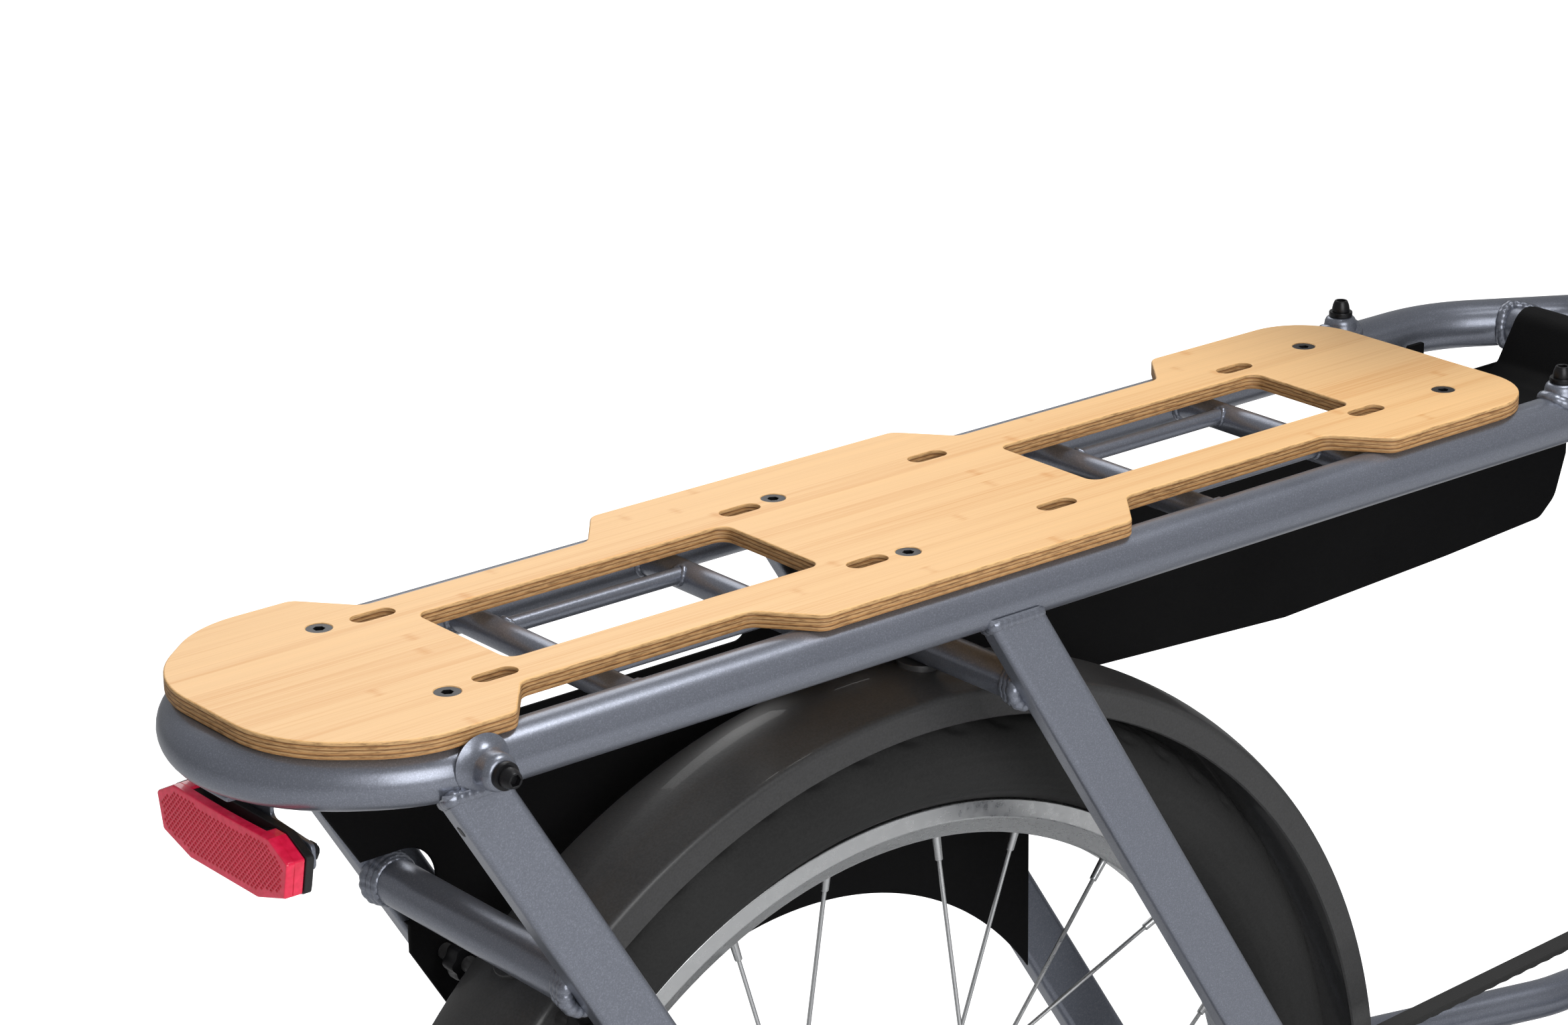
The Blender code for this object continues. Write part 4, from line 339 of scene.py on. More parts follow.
class BikeColours(bpy.types.PropertyGroup):
    """Colours of the finishes."""

    frame: paint("Frame", "Satin paint of tubes and plates", (0.225, 0.242, 0.290))
    bamboo: paint("Bamboo", "Light strips of the deck's face", (0.920, 0.565, 0.250))
    bamboo_dark: paint("Bamboo grain", "Darker fibres of the deck", (0.760, 0.355, 0.100))
    ply_dark: paint("Ply edge", "Dark layers on the deck's edge", (0.170, 0.062, 0.014))
    plastic: paint("Plastic", "Matt black mouldings and sheets", (0.010, 0.010, 0.011))
    coated: paint("Coated metal", "Black coated metal", (0.016, 0.016, 0.018))
    fender: paint("Fender", "Satin dark grey fender", (0.040, 0.040, 0.041))
    lens: paint("Red lens", "Moulded red lens", (0.720, 0.008, 0.040))
    alloy: paint("Alloy", "Anodised metal", (0.580, 0.590, 0.600))
    rubber: paint("Rubber", "Tyre and grip rubber", (0.016, 0.016, 0.016))
    saddle: paint("Saddle", "Saddle cover", (0.020, 0.019, 0.018))


def sizes():
    """The sizes that are set in the panel."""
    return bpy.context.scene.bike_sizes


def colours():
    """The colours that are set in the panel."""
    return bpy.context.scene.bike_colours


# Places

def design(points):
    """Design coordinates to the frame's own, for one point or an array of them."""
    return np.asarray(points, float) + SHIFT


def seat_point(z):
    """A point on the seat tube's centre line at a height."""
    return np.array((BB[0] - (z - BB[1]) / math.tan(SEAT_ANGLE), 0.0, z))


def seat_way():
    """Direction of the seat tube, upwards."""
    return np.array((-math.cos(SEAT_ANGLE), 0.0, math.sin(SEAT_ANGLE)))


def steer_point(s, forward=0.0, y=0.0):
    """A point s up the steering axis from axle height, moved square to it by forward."""
    base = FRONT_AXLE_X - FORK_OFFSET / math.sin(HEAD_ANGLE)
    x = base - s * math.cos(HEAD_ANGLE) + forward * math.sin(HEAD_ANGLE)
    z = AXLE_Z + s * math.sin(HEAD_ANGLE) + forward * math.cos(HEAD_ANGLE)
    return np.array((x, y, z))


def steer_way():
    """Direction of the steering axis, upwards."""
    return unit(steer_point(1.0) - steer_point(0.0))


def unit(vectors):
    """Vectors divided by their lengths, along the last axis."""
    vectors = np.asarray(vectors, float)
    return vectors / np.maximum(np.linalg.norm(vectors, axis=-1, keepdims=True), 1e-12)


def smooth_path(points, radii, steps, closed=False):
    """Corners replaced by arcs centred on the bisector, the start radius turned to the end radius."""
    corners = np.asarray(points, float)
    radii = np.broadcast_to(radii, len(corners))
    result = []
    for i, corner in enumerate(corners):
        ends = not closed and i in (0, len(corners) - 1)
        if ends or radii[i] <= 0.0:
            result.append(corner[None])
            continue
        before = unit(corners[i - 1] - corner)
        after = unit(corners[(i + 1) % len(corners)] - corner)
        half = math.acos(np.clip(before @ after, -1.0, 1.0)) / 2.0
        centre = corner + unit(before + after) * radii[i] / math.sin(half)
        start = corner + before * radii[i] / math.tan(half) - centre
        end = corner + after * radii[i] / math.tan(half) - centre
        turn = math.pi - 2.0 * half
        t = np.linspace(0.0, 1.0, steps + 1)[:, None]
        result.append(centre + (np.sin((1.0 - t) * turn) * start + np.sin(t * turn) * end) / math.sin(turn))
    return np.concatenate(result)


def even_path(points, spacing, closed=False):
    """The same path with points at even distances along it."""
    path = np.asarray(points, float)
    if closed:
        path = np.concatenate([path, path[:1]])
    lengths = np.concatenate([[0.0], np.cumsum(np.linalg.norm(np.diff(path, axis=0), axis=1))])
    count = max(int(round(lengths[-1] / spacing)), 8)
    marks = np.linspace(0.0, lengths[-1], count + 1)
    even = np.stack([np.interp(marks, lengths, path[:, k]) for k in range(path.shape[1])], axis=1)
    return even[:-1] if closed else even


def circle(radius, sides):
    """A ring of points in its own plane."""
    a = np.arange(sides) * math.tau / sides
    return np.stack([np.cos(a), np.sin(a)], axis=1) * radius


def rounded_rect(width, height, radius, steps=6):
    """A rectangle's outline with each corner turned into an arc."""
    w = width / 2.0
    h = height / 2.0
    return smooth_path([(-w, -h), (w, -h), (w, h), (-w, h)], radius, steps, closed=True)


# Shapes: a pair of an array of points and a list of face arrays

def join(*shapes):
    """Several shapes as one, with each one's faces counted on from the last."""
    points = []
    faces = []
    start = 0
    for part_points, part_faces in shapes:
        points.append(part_points)
        faces += [block + start for block in part_faces]
        start += len(part_points)
    return np.concatenate(points), faces


def outward(shape):
    """Faces turned round where the sum of signed wedge volumes to the origin is below zero."""
    points, faces = shape
    middle = points.mean(axis=0)
    volume = 0.0
    for block in faces:
        a = points[block[:, 0]] - middle
        for k in range(1, block.shape[1] - 1):
            b = points[block[:, k]] - middle
            c = points[block[:, k + 1]] - middle
            volume += np.einsum("ij,ij->", a, np.cross(b, c))
    if volume < 0.0:
        faces = [block[:, ::-1] for block in faces]
    return points, faces


def quads_between(rows, sides, closed=False):
    """Four-sided faces from each ring of points to the next, and from the last to the first where closed."""
    i = np.arange(rows if closed else rows - 1)[:, None]
    j = np.arange(sides)[None]
    k = (j + 1) % sides
    n = (i + 1) % rows
    return np.stack([i * sides + j, i * sides + k, n * sides + k, n * sides + j], axis=-1).reshape(-1, 4)


def grid(points, closed=False):
    """A closed skin over rows of rings: quads between neighbours, and a fan to the middle on each end."""
    rows, sides = points.shape[:2]
    flat = points.reshape(-1, 3)
    faces = [quads_between(rows, sides, closed)]
    if not closed:
        first = flat[:sides].mean(axis=0)
        last = flat[-sides:].mean(axis=0)
        tip = len(flat)
        ring = np.arange(sides)
        turn = np.roll(ring, -1)
        base = (rows - 1) * sides
        faces.append(np.stack([np.full(sides, tip), turn, ring], axis=1))
        faces.append(np.stack([np.full(sides, tip + 1), base + ring, base + turn], axis=1))
        flat = np.concatenate([flat, first[None], last[None]])
    return outward((flat, faces))


def frames(path, up, closed=False):
    """Side and over vectors along a path: side is tangent x up, and over is side x tangent."""
    if closed:
        tangent = unit(np.roll(path, -1, axis=0) - np.roll(path, 1, axis=0))
    else:
        tangent = unit(np.gradient(path, axis=0))
    side = unit(np.cross(tangent, np.broadcast_to(up, path.shape)))
    return side, np.cross(side, tangent)


def sweep(path, ring, up, scale, closed=False):
    """A ring carried along a path: point + size (side x + over y) for each point x, y of the ring."""
    path = np.asarray(path, float)
    side, over = frames(path, up, closed)
    size = np.ones((len(path), 1, 1)) if scale is None else np.reshape(scale, (-1, 1, 1))
    across = side[:, None] * ring[None, :, :1] * size
    return grid(path[:, None] + across + over[:, None] * ring[None, :, 1:] * size, closed)


def tube(path, radius, sides, up=UP, scale=None, closed=False):
    """A round bar along a path."""
    return sweep(path, circle(radius, sides), up, scale, closed)


def rod(start, end, radius, end_radius=None, sides=28, edge=BAR_EDGE):
    """A straight round bar whose radius goes evenly from one end to the other, with rounded rims."""
    start = np.asarray(start, float)
    end = np.asarray(end, float)
    length = np.linalg.norm(end - start)
    far = radius if end_radius is None else end_radius
    edge = min(edge, radius * 0.4, far * 0.4, length * 0.3)
    turn = np.linspace(0.0, math.pi / 2.0, 4)
    first = np.stack([edge - edge * np.sin(turn), radius - edge + edge * np.cos(turn)], axis=1)[::-1]
    last = np.stack([length - edge + edge * np.sin(turn), far - edge + edge * np.cos(turn)], axis=1)
    profile = np.concatenate([first, last])
    return lathe(profile[:, ::-1], start, end - start, sides)


def lathe(profile, centre, axis, steps, ring=False):
    """A profile of radius and height spun about an axis: centre + axis h + radius (u cos a + v sin a)."""
    profile = np.asarray(profile, float)
    around = ring_curve(np.zeros(3), axis, 1.0, steps)
    middles = np.asarray(centre, float) + profile[:, None, 1:] * unit(axis)
    return grid(middles + profile[:, None, :1] * around[None], closed=ring)


def sleeve(bore, outer, low, high, edge):
    """Profile of a ring to be turned: its bore, and an outer wall with both rims bevelled."""
    wall = [(outer - edge, low), (outer, low + edge), (outer, high - edge), (outer - edge, high)]
    return [(bore, low), *wall, (bore, high)]


def bar(start, end, ring, up=LEFT, edge=BAR_EDGE):
    """A straight bar of any cross-section, its ends eased by shrinking the last rings by the edge."""
    start = np.asarray(start, float)
    end = np.asarray(end, float)
    way = unit(end - start)
    reach = np.abs(ring).max()
    inset = 1.0 - edge / reach
    path = np.stack([start, start + way * edge, end - way * edge, end])
    return sweep(path, ring, up, scale=(inset, 1.0, 1.0, inset))


def signed_area(loop):
    """Half the sum of cross products of neighbours, above zero when the loop runs anticlockwise."""
    after = np.roll(loop, -1, axis=0)
    return 0.5 * float(np.sum(loop[:, 0] * after[:, 1] - loop[:, 1] * after[:, 0]))


def shifted(loop, amount):
    """A loop moved to its left by an amount, square to the mean of its two sides at each corner."""
    before = unit(loop - np.roll(loop, 1, axis=0))
    after = unit(np.roll(loop, -1, axis=0) - loop)
    left = unit(np.stack([-(before + after)[:, 1], (before + after)[:, 0]], axis=1))
    normal = np.stack([-before[:, 1], before[:, 0]], axis=1)
    share = np.maximum(np.sum(left * normal, axis=1), 0.5)
    return loop + left * (amount / share)[:, None]


def eased(low, high, edge):
    """Wall stations from low to high as offset and height, with a quarter round at both rims."""
    turn = np.linspace(0.0, math.pi / 2.0, 5)
    first = np.stack([edge * (1.0 - np.sin(turn)), low + edge * (1.0 - np.cos(turn))], axis=1)
    last = np.stack([edge * (1.0 - np.cos(turn)), high - edge + edge * np.sin(turn)], axis=1)
    return np.concatenate([first, last])


def within(loop, spots):
    """Whether each spot is inside a loop: a ray to +X crosses an odd number of its sides."""
    after = np.roll(loop, -1, axis=0)
    x, y = spots[:, :1], spots[:, 1:]
    spans = (loop[:, 1] > y) != (after[:, 1] > y)
    rise = after[:, 1] - loop[:, 1]
    rise = np.where(np.abs(rise) < 1e-15, 1e-15, rise)
    cross = loop[:, 0] + (y - loop[:, 1]) * (after[:, 0] - loop[:, 0]) / rise
    return np.sum(spans & (x < cross), axis=1) % 2


def triangles_between(loops):
    """Triangles over what lies inside the first loop and outside the others, by their points' places."""
    flat = np.concatenate(loops)
    edges = []
    base = 0
    for loop in loops:
        count = len(loop)
        edges += [(base + a, base + (a + 1) % count) for a in range(count)]
        base += count
    spots = [tuple(spot) for spot in flat.tolist()]
    _, _, cells, origins, _, _ = delaunay_2d_cdt(spots, edges, [], 0, 1e-7)
    lookup = np.array([origin[0] if origin else -1 for origin in origins])
    triangles = lookup[np.array([list(cell) for cell in cells if len(cell) == 3])]
    triangles = triangles[(triangles >= 0).all(axis=1)]
    middles = flat[triangles].mean(axis=1)
    crossings = np.sum([within(loop, middles) for loop in loops], axis=0)
    return triangles[crossings == 1]


def plate(loops, low, high, edge=PLATE_EDGE, turn=None, walls=None):
    """A flat plate with holes: eased walls on every loop, and triangles between the loops on both faces."""
    points = []
    faces = []
    ends = ([], [])
    start = 0
    for index, loop in enumerate(loops):
        loop = np.asarray(loop, float)
        if (signed_area(loop) > 0.0) != (index == 0):
            loop = loop[::-1]
        stations = walls[index] if walls and walls[index] is not None else eased(low, high, edge)
        rings = np.stack([np.column_stack([shifted(loop, o), np.full(len(loop), z)]) for o, z in stations])
        count = len(loop)
        points.append(rings.reshape(-1, 3))
        faces.append(quads_between(len(stations), count) + start)
        ends[0].append((rings[0], start))
        ends[1].append((rings[-1], start + (len(stations) - 1) * count))
        start += len(stations) * count
    for which, loops_here in enumerate(ends):
        index = np.concatenate([first + np.arange(len(ring)) for ring, first in loops_here])
        triangles = index[triangles_between([ring[:, :2] for ring, _ in loops_here])]
        faces.append(triangles if which else triangles[:, ::-1])
    points = np.concatenate(points)
    if turn is not None:
        points = points @ np.asarray(turn, float).T
    return points, faces


# How a plate is turned: drawn in X and Z, or in Y and Z
ACROSS = ((1, 0, 0), (0, 0, -1), (0, 1, 0))
FACING = ((0, 0, 1), (1, 0, 0), (0, 1, 0))


def side_plate(loops, low, high, edge):
    """A plate drawn in X and Z that is thick in Y, between two distances."""
    low, high = sorted((low, high))
    return plate(loops, -high, -low, edge, ACROSS)


def cross_plate(loops, low, high, edge):
    """A plate drawn in Y and Z that is thick in X, from low to high."""
    return plate(loops, low, high, edge, FACING)


def pin(spot, start, end, radius, sides=28, edge=BAR_EDGE):
    """A round bar straight across the bicycle at a place in X and Z, from one distance to another."""
    return rod((spot[0], start, spot[1]), (spot[0], end, spot[1]), radius, sides=sides, edge=edge)


def arc(centre, radius, start, end, steps):
    """Points on a circle from one angle to another."""
    a = np.linspace(start, end, steps + 1)
    return np.stack([centre[0] + radius * np.cos(a), centre[1] + radius * np.sin(a)], axis=1)


def full_circle(centre, radius, steps):
    """A closed circle round a point."""
    return arc(centre, radius, 0.0, math.tau, steps)[:-1]


def hull_outline(first, first_r, second, second_r, grow=0.0, steps=40):
    """The band round two circles: an arc on each, joined by their common tangents."""
    a = first_r + grow
    b = second_r + grow
    run = np.subtract(second, first)
    heading = math.atan2(run[1], run[0])
    spread = math.acos((a - b) / np.linalg.norm(run))
    back = arc(first, a, heading + spread, heading + math.tau - spread, steps)
    front = arc(second, b, heading - spread, heading + spread, steps)
    return np.concatenate([back, front])


def bead(curve, radius, pitch, ripple=0.08):
    """A weld: a small round carried round a closed curve, its radius rippling once for each pitch."""
    path = even_path(curve, pitch / 6.0, closed=True)
    steps = len(path)
    ripples = max(round(steps / 6.0), 4)
    phase = np.arange(steps) * math.pi * ripples / steps
    scale = 1.0 - ripple + 1.4 * ripple * np.abs(np.sin(phase))
    return sweep(path, circle(radius, 12), path - path.mean(axis=0), scale, closed=True)


def line_bead(curve, radius, pitch):
    """The same weld along an open line, thinned out at both ends."""
    path = even_path(curve, pitch / 6.0)
    share = np.linspace(0.0, 1.0, len(path))
    ripples = max(round(len(path) / 6.0), 3)
    scale = (0.86 + 0.20 * np.abs(np.sin(share * math.pi * ripples))) * np.minimum(1.0, 0.45 + 6.0 * share)
    return sweep(path, circle(radius, 10), LEFT, scale * np.minimum(1.0, 0.45 + 6.0 * (1.0 - share)))


def ring_curve(centre, way, radius, steps=72):
    """A circle in space: centre + radius (u cos a + v sin a), square to way."""
    way = unit(way)
    helper = LEFT if abs(way[1]) < 0.9 else AHEAD
    u = unit(np.cross(helper, way))
    a = np.arange(steps)[:, None] * math.tau / steps
    return np.asarray(centre, float) + radius * (np.cos(a) * u + np.sin(a) * np.cross(way, u))


def tube_seam(spot, way, ring_radius, tube_spot, tube_way, tube_radius):
    """Where a round bar meets a tube: each line of its wall followed to the nearest root on the tube."""
    starts = ring_curve(spot, way, ring_radius)
    return line_to_tube(starts, unit(way), tube_spot, tube_way, tube_radius)


def line_to_tube(starts, way, tube_spot, tube_way, tube_radius):
    """Starts moved along way to a tube's wall: the lower root of the quadratic for the axis distance."""
    tube_way = unit(tube_way)
    across = way - tube_way * (way @ tube_way)
    offset = starts - np.asarray(tube_spot, float)
    offset = offset - (offset @ tube_way)[:, None] * tube_way
    a = across @ across
    b = offset @ across
    c = np.sum(offset * offset, axis=1) - tube_radius ** 2
    root = np.sqrt(np.maximum(b * b - a * c, 0.0))
    return starts + ((-b - root) / a)[:, None] * way


# Meshes and objects

def mesh_of(name, shape):
    """A mesh filled from whole arrays, with doubled points merged."""
    points, faces = shape
    mesh = bpy.data.meshes.new(name)
    corners = np.concatenate([block.ravel() for block in faces]).astype(np.int32)
    totals = np.concatenate([np.full(len(block), block.shape[1]) for block in faces])
    starts = np.concatenate([[0], np.cumsum(totals)[:-1]]).astype(np.int32)
    mesh.vertices.add(len(points))
    mesh.vertices.foreach_set("co", design(points).astype(np.float32).ravel())
    mesh.loops.add(len(corners))
    mesh.polygons.add(len(totals))
    mesh.polygons.foreach_set("loop_start", starts)
    mesh.polygons.foreach_set("vertices", corners)
    mesh.update(calc_edges=True)
    merge_doubles(mesh)
    return mesh


def merge_doubles(mesh):
    """Points closer than a micron become one, and what has no area goes."""
    shape = bmesh.new()
    shape.from_mesh(mesh)
    bmesh.ops.remove_doubles(shape, verts=shape.verts, dist=1e-6)
    bmesh.ops.dissolve_degenerate(shape, edges=shape.edges, dist=1e-7)
    shape.to_mesh(mesh)
    shape.free()


def new_object(name, data):
    """An object of a mesh, lamp or camera, linked to the scene."""
    obj = bpy.data.objects.new(name, data)
    bpy.context.scene.collection.objects.link(obj)
    return obj


def piece(name, shape, finish, body, nodes=(), angle=SHARP, weigh=True):
    """An object of one shape in one finish, which rides on a body and stands for the nodes named.

    Where weigh is set, normals lean to the larger faces, so that flat faces shade flat up to their edges.
    """
    nodes = (nodes,) if isinstance(nodes, str) else nodes
    mesh = mesh_of(name, shape)
    obj = new_object(name, mesh)
    mesh.shade_smooth()
    mesh.set_sharp_from_angle(angle=math.radians(angle))
    mesh.materials.append(finish_of(finish))
    if weigh:
        normals = obj.modifiers.new("normals", "WEIGHTED_NORMAL")
        normals.keep_sharp = True
    if nodes:
        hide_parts(*nodes)
    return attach(obj, body)


def second_finish(obj, finish, chosen):
    """Give an object another finish on the faces that chosen picks by their centres and normals."""
    mesh = obj.data
    mesh.materials.append(finish_of(finish))
    count = len(mesh.polygons)
    centres = np.empty(count * 3, np.float32)
    normals = np.empty(count * 3, np.float32)
    mesh.polygons.foreach_get("center", centres)
    mesh.polygons.foreach_get("normal", normals)
    places = centres.reshape(-1, 3) - SHIFT
    index = chosen(places, normals.reshape(-1, 3)).astype(np.int32)
    mesh.polygons.foreach_set("material_index", index * (len(mesh.materials) - 1))
    mesh.update()


def dress(finish, *nodes):
    """Give solids whose shape is kept a finish."""
    for name in nodes:
        for slot in NODES[name].material_slots:
            slot.material = finish_of(finish)


# Finishes

def new_finish(name, colour, roughness, metallic=0.0, **sockets):
    """A material with its plain values set on the shader's own sockets, its node tree and its shader."""
    material = bpy.data.materials.new(name)
    material.use_nodes = True
    tree = material.node_tree
    shader = tree.nodes["Principled BSDF"]
    shader.inputs["Base Color"].default_value = (*colour, 1.0)
    shader.inputs["Roughness"].default_value = roughness
    shader.inputs["Metallic"].default_value = metallic
    for socket, value in sockets.items():
        shader.inputs[socket.replace("_", " ")].default_value = value
    material.diffuse_color = (*colour, 1.0)
    return material, tree, shader


def node(tree, kind, **values):
    """A node with its settings, or its inputs' values, given by name."""
    made = tree.nodes.new(kind)
    for key, value in values.items():
        if key in made.inputs:
            made.inputs[key].default_value = value
        else:
            setattr(made, key, value)
    return made


def place_on(tree, scale=(1.0, 1.0, 1.0), turn=(0.0, 0.0, 0.0), shift=(0.0, 0.0, 0.0)):
    """Object coordinates in metres, stretched, turned and moved."""
    coords = tree.nodes.new("ShaderNodeTexCoord")
    mapping = node(tree, "ShaderNodeMapping", Scale=scale, Rotation=turn, Location=shift)
    tree.links.new(coords.outputs["Object"], mapping.inputs["Vector"])
    return mapping.outputs["Vector"]


def noise(tree, vector, scale, detail, rough=0.5):
    """A cloudy value along coordinates."""
    made = node(tree, "ShaderNodeTexNoise", Scale=scale, Detail=detail, Roughness=rough)
    tree.links.new(vector, made.inputs["Vector"])
    return made.outputs["Fac"]


def maths(tree, operation, first, second=None, third=None):
    """One sum on values or sockets."""
    made = node(tree, "ShaderNodeMath", operation=operation)
    for index, value in enumerate((first, second, third)):
        if value is None:
            continue
        if isinstance(value, (int, float)):
            made.inputs[index].default_value = value
        else:
            tree.links.new(value, made.inputs[index])
    return made.outputs[0]


def ramp(tree, fac, stops):
    """Colours along a value, given as position and colour."""
    made = tree.nodes.new("ShaderNodeValToRGB")
    points = made.color_ramp.elements
    points[1].position = stops[-1][0]
    points[1].color = (*stops[-1][1][:3], 1.0)
    points[0].position = stops[0][0]
    points[0].color = (*stops[0][1][:3], 1.0)
    for spot, colour in stops[1:-1]:
        points.new(spot).color = (*colour[:3], 1.0)
    tree.links.new(fac, made.inputs["Fac"])
    return made.outputs["Color"]


def spread(tree, value, low, high, to_low, to_high):
    """A value carried from one range to another."""
    made = tree.nodes.new("ShaderNodeMapRange")
    for socket, limit in zip(("From Min", "From Max", "To Min", "To Max"), (low, high, to_low, to_high)):
        made.inputs[socket].default_value = limit
    tree.links.new(value, made.inputs["Value"])
    return made.outputs["Result"]


def bump(tree, shader, height, strength, distance):
    """Relief from a height, laid over the relief that the shader has."""
    made = node(tree, "ShaderNodeBump", Strength=strength, Distance=distance)
    tree.links.new(height, made.inputs["Height"])
    before = shader.inputs["Normal"].links
    if before:
        tree.links.new(before[0].from_socket, made.inputs["Normal"])
    tree.links.new(made.outputs["Normal"], shader.inputs["Normal"])


def shade(colour, amount):
    """A colour made darker or lighter."""
    return tuple(min(channel * amount, 1.0) for channel in colour)


def painted_frame(name):
    """Satin metallic paint: small flakes in its colour, a slight orange peel and a soft clear coat."""
    colour = tuple(colours().frame)
    material, tree, shader = new_finish(
        name, colour, 0.31, 0.65, Coat_Weight=0.10, Coat_Roughness=0.25, Specular_IOR_Level=0.5
    )
    spots = place_on(tree)
    flakes = noise(tree, spots, 1500.0, 2.0, 0.6)
    tone = ramp(tree, flakes, ((0.30, shade(colour, 0.86)), (0.55, colour), (0.74, shade(colour, 1.35))))
    tree.links.new(tone, shader.inputs["Base Color"])
    cloud = noise(tree, spots, 26.0, 3.0)
    tree.links.new(spread(tree, cloud, 0.3, 0.7, 0.28, 0.34), shader.inputs["Roughness"])
    bump(tree, shader, noise(tree, spots, 420.0, 2.0), 0.10, 0.0004)
    bump(tree, shader, flakes, 0.10, 0.0002)
    return material


def bamboo_grain(tree, spots):
    """Fibres, streaks, strips and knuckles as one value from 0, dark, to 1, light."""
    fibre = noise(tree, place_on(tree, (9.0, 900.0, 900.0)), 1.0, 5.0, 0.62)
    streak = noise(tree, place_on(tree, (2.2, 130.0, 130.0), shift=(3.0, 1.0, 0.0)), 1.0, 4.0, 0.55)
    split = tree.nodes.new("ShaderNodeSeparateXYZ")
    tree.links.new(spots, split.inputs[0])
    strip = maths(tree, "FLOOR", maths(tree, "MULTIPLY", split.outputs["Y"], 118.0))
    tint = node(tree, "ShaderNodeTexWhiteNoise", noise_dimensions="1D")
    tree.links.new(strip, tint.inputs["W"])
    along = maths(tree, "ADD", maths(tree, "MULTIPLY", split.outputs["X"], 3.1), tint.outputs["Value"])
    band = maths(tree, "ABSOLUTE", maths(tree, "SUBTRACT", maths(tree, "FRACT", along), 0.5))
    knuckle = spread(tree, band, 0.0, 0.012, 0.16, 0.0)
    value = maths(tree, "MULTIPLY_ADD", fibre, 0.55, maths(tree, "MULTIPLY", streak, 0.50))
    value = maths(tree, "MULTIPLY_ADD", tint.outputs["Value"], 0.16, value)
    return maths(tree, "SUBTRACT", value, knuckle), fibre


def bamboo_face(name):
    """Clear-coated bamboo, its fibres running along the deck."""
    light = tuple(colours().bamboo)
    dark = tuple(colours().bamboo_dark)
    material, tree, shader = new_finish(name, light, 0.48, 0.0, Coat_Weight=0.06, Coat_Roughness=0.30)
    grain, fibre = bamboo_grain(tree, place_on(tree))
    middle = tuple((a + b) / 2.0 for a, b in zip(light, dark))
    tone = ramp(tree, grain, ((0.30, dark), (0.45, middle), (0.60, light), (0.84, shade(light, 1.07))))
    tree.links.new(tone, shader.inputs["Base Color"])
    tree.links.new(spread(tree, fibre, 0.2, 0.8, 0.50, 0.38), shader.inputs["Roughness"])
    bump(tree, shader, fibre, 0.16, 0.0003)
    return material


def bamboo_edge(name):
    """The board's cut edge: thin plies one over another, the cross plies darker and more open."""
    light = tuple(colours().bamboo)
    dark = tuple(colours().ply_dark)
    material, tree, shader = new_finish(name, shade(light, 0.6), 0.62)
    spots = place_on(tree)
    split = tree.nodes.new("ShaderNodeSeparateXYZ")
    tree.links.new(spots, split.inputs[0])
    wander = noise(tree, place_on(tree, (40.0, 40.0, 300.0)), 1.0, 3.0)
    height = maths(tree, "SUBTRACT", split.outputs["Z"], DECK_H + 0.00035)
    level = maths(tree, "MULTIPLY_ADD", wander, 0.0007, height)
    depth = maths(tree, "DIVIDE", maths(tree, "MULTIPLY", level, -1.0), BOARD_T)
    brown = (light[0] * 0.58, light[1] * 0.48, light[2] * 0.38)
    layers = ramp(tree, depth, (
        (0.00, shade(light, 0.92)), (0.18, shade(light, 0.74)), (0.24, dark), (0.29, brown),
        (0.40, shade(light, 0.70)), (0.46, shade(dark, 1.3)), (0.52, shade(light, 0.66)), (0.66, brown),
        (0.72, dark), (0.78, shade(light, 0.62)), (0.90, brown),
    ))
    fibre = noise(tree, place_on(tree, (160.0, 160.0, 1400.0)), 1.0, 4.0, 0.65)
    mixed = node(tree, "ShaderNodeMix", data_type="RGBA", blend_type="MULTIPLY")
    mixed.inputs["Factor"].default_value = 0.85
    tree.links.new(layers, mixed.inputs[6])
    shadow = ramp(tree, fibre, ((0.32, (0.40, 0.34, 0.27)), (0.56, (1.0, 1.0, 1.0))))
    tree.links.new(shadow, mixed.inputs[7])
    tree.links.new(mixed.outputs[2], shader.inputs["Base Color"])
    bump(tree, shader, fibre, 0.45, 0.0006)
    return material


def grained(name, colour, roughness, metallic, scale, depth, spread_by, **sockets):
    """A fine moulded or cast grain over a slow change of gloss."""
    material, tree, shader = new_finish(name, colour, roughness, metallic, **sockets)
    spots = place_on(tree)
    fine = noise(tree, spots, scale, 3.0, 0.6)
    tone = ramp(tree, fine, ((0.30, shade(colour, 0.80)), (0.70, shade(colour, 1.20))))
    tree.links.new(tone, shader.inputs["Base Color"])
    cloud = noise(tree, spots, 18.0, 3.0)
    low = roughness - spread_by
    tree.links.new(spread(tree, cloud, 0.3, 0.7, low, roughness + spread_by), shader.inputs["Roughness"])
    bump(tree, shader, fine, 0.25, depth)
    return material


def silver_alloy(name):
    """Anodised metal with faint lines from its brushing."""
    colour = tuple(colours().alloy)
    material, tree, shader = new_finish(name, colour, 0.30, 1.0)
    lines = noise(tree, place_on(tree, (300.0, 2600.0, 300.0)), 1.0, 3.0)
    tree.links.new(spread(tree, lines, 0.3, 0.7, 0.24, 0.38), shader.inputs["Roughness"])
    bump(tree, shader, lines, 0.08, 0.0001)
    return material


def disc_steel(name):
    """Ground steel of the brake discs, its lines running round."""
    material, tree, shader = new_finish(name, (0.52, 0.52, 0.53), 0.26, 1.0, Anisotropic=0.4)
    lines = noise(tree, place_on(tree, (900.0, 120.0, 900.0)), 1.0, 4.0, 0.6)
    tone = ramp(tree, lines, ((0.3, (0.42, 0.42, 0.43)), (0.7, (0.60, 0.60, 0.61))))
    tree.links.new(tone, shader.inputs["Base Color"])
    tree.links.new(spread(tree, lines, 0.3, 0.7, 0.20, 0.36), shader.inputs["Roughness"])
    bump(tree, shader, lines, 0.10, 0.0001)
    return material


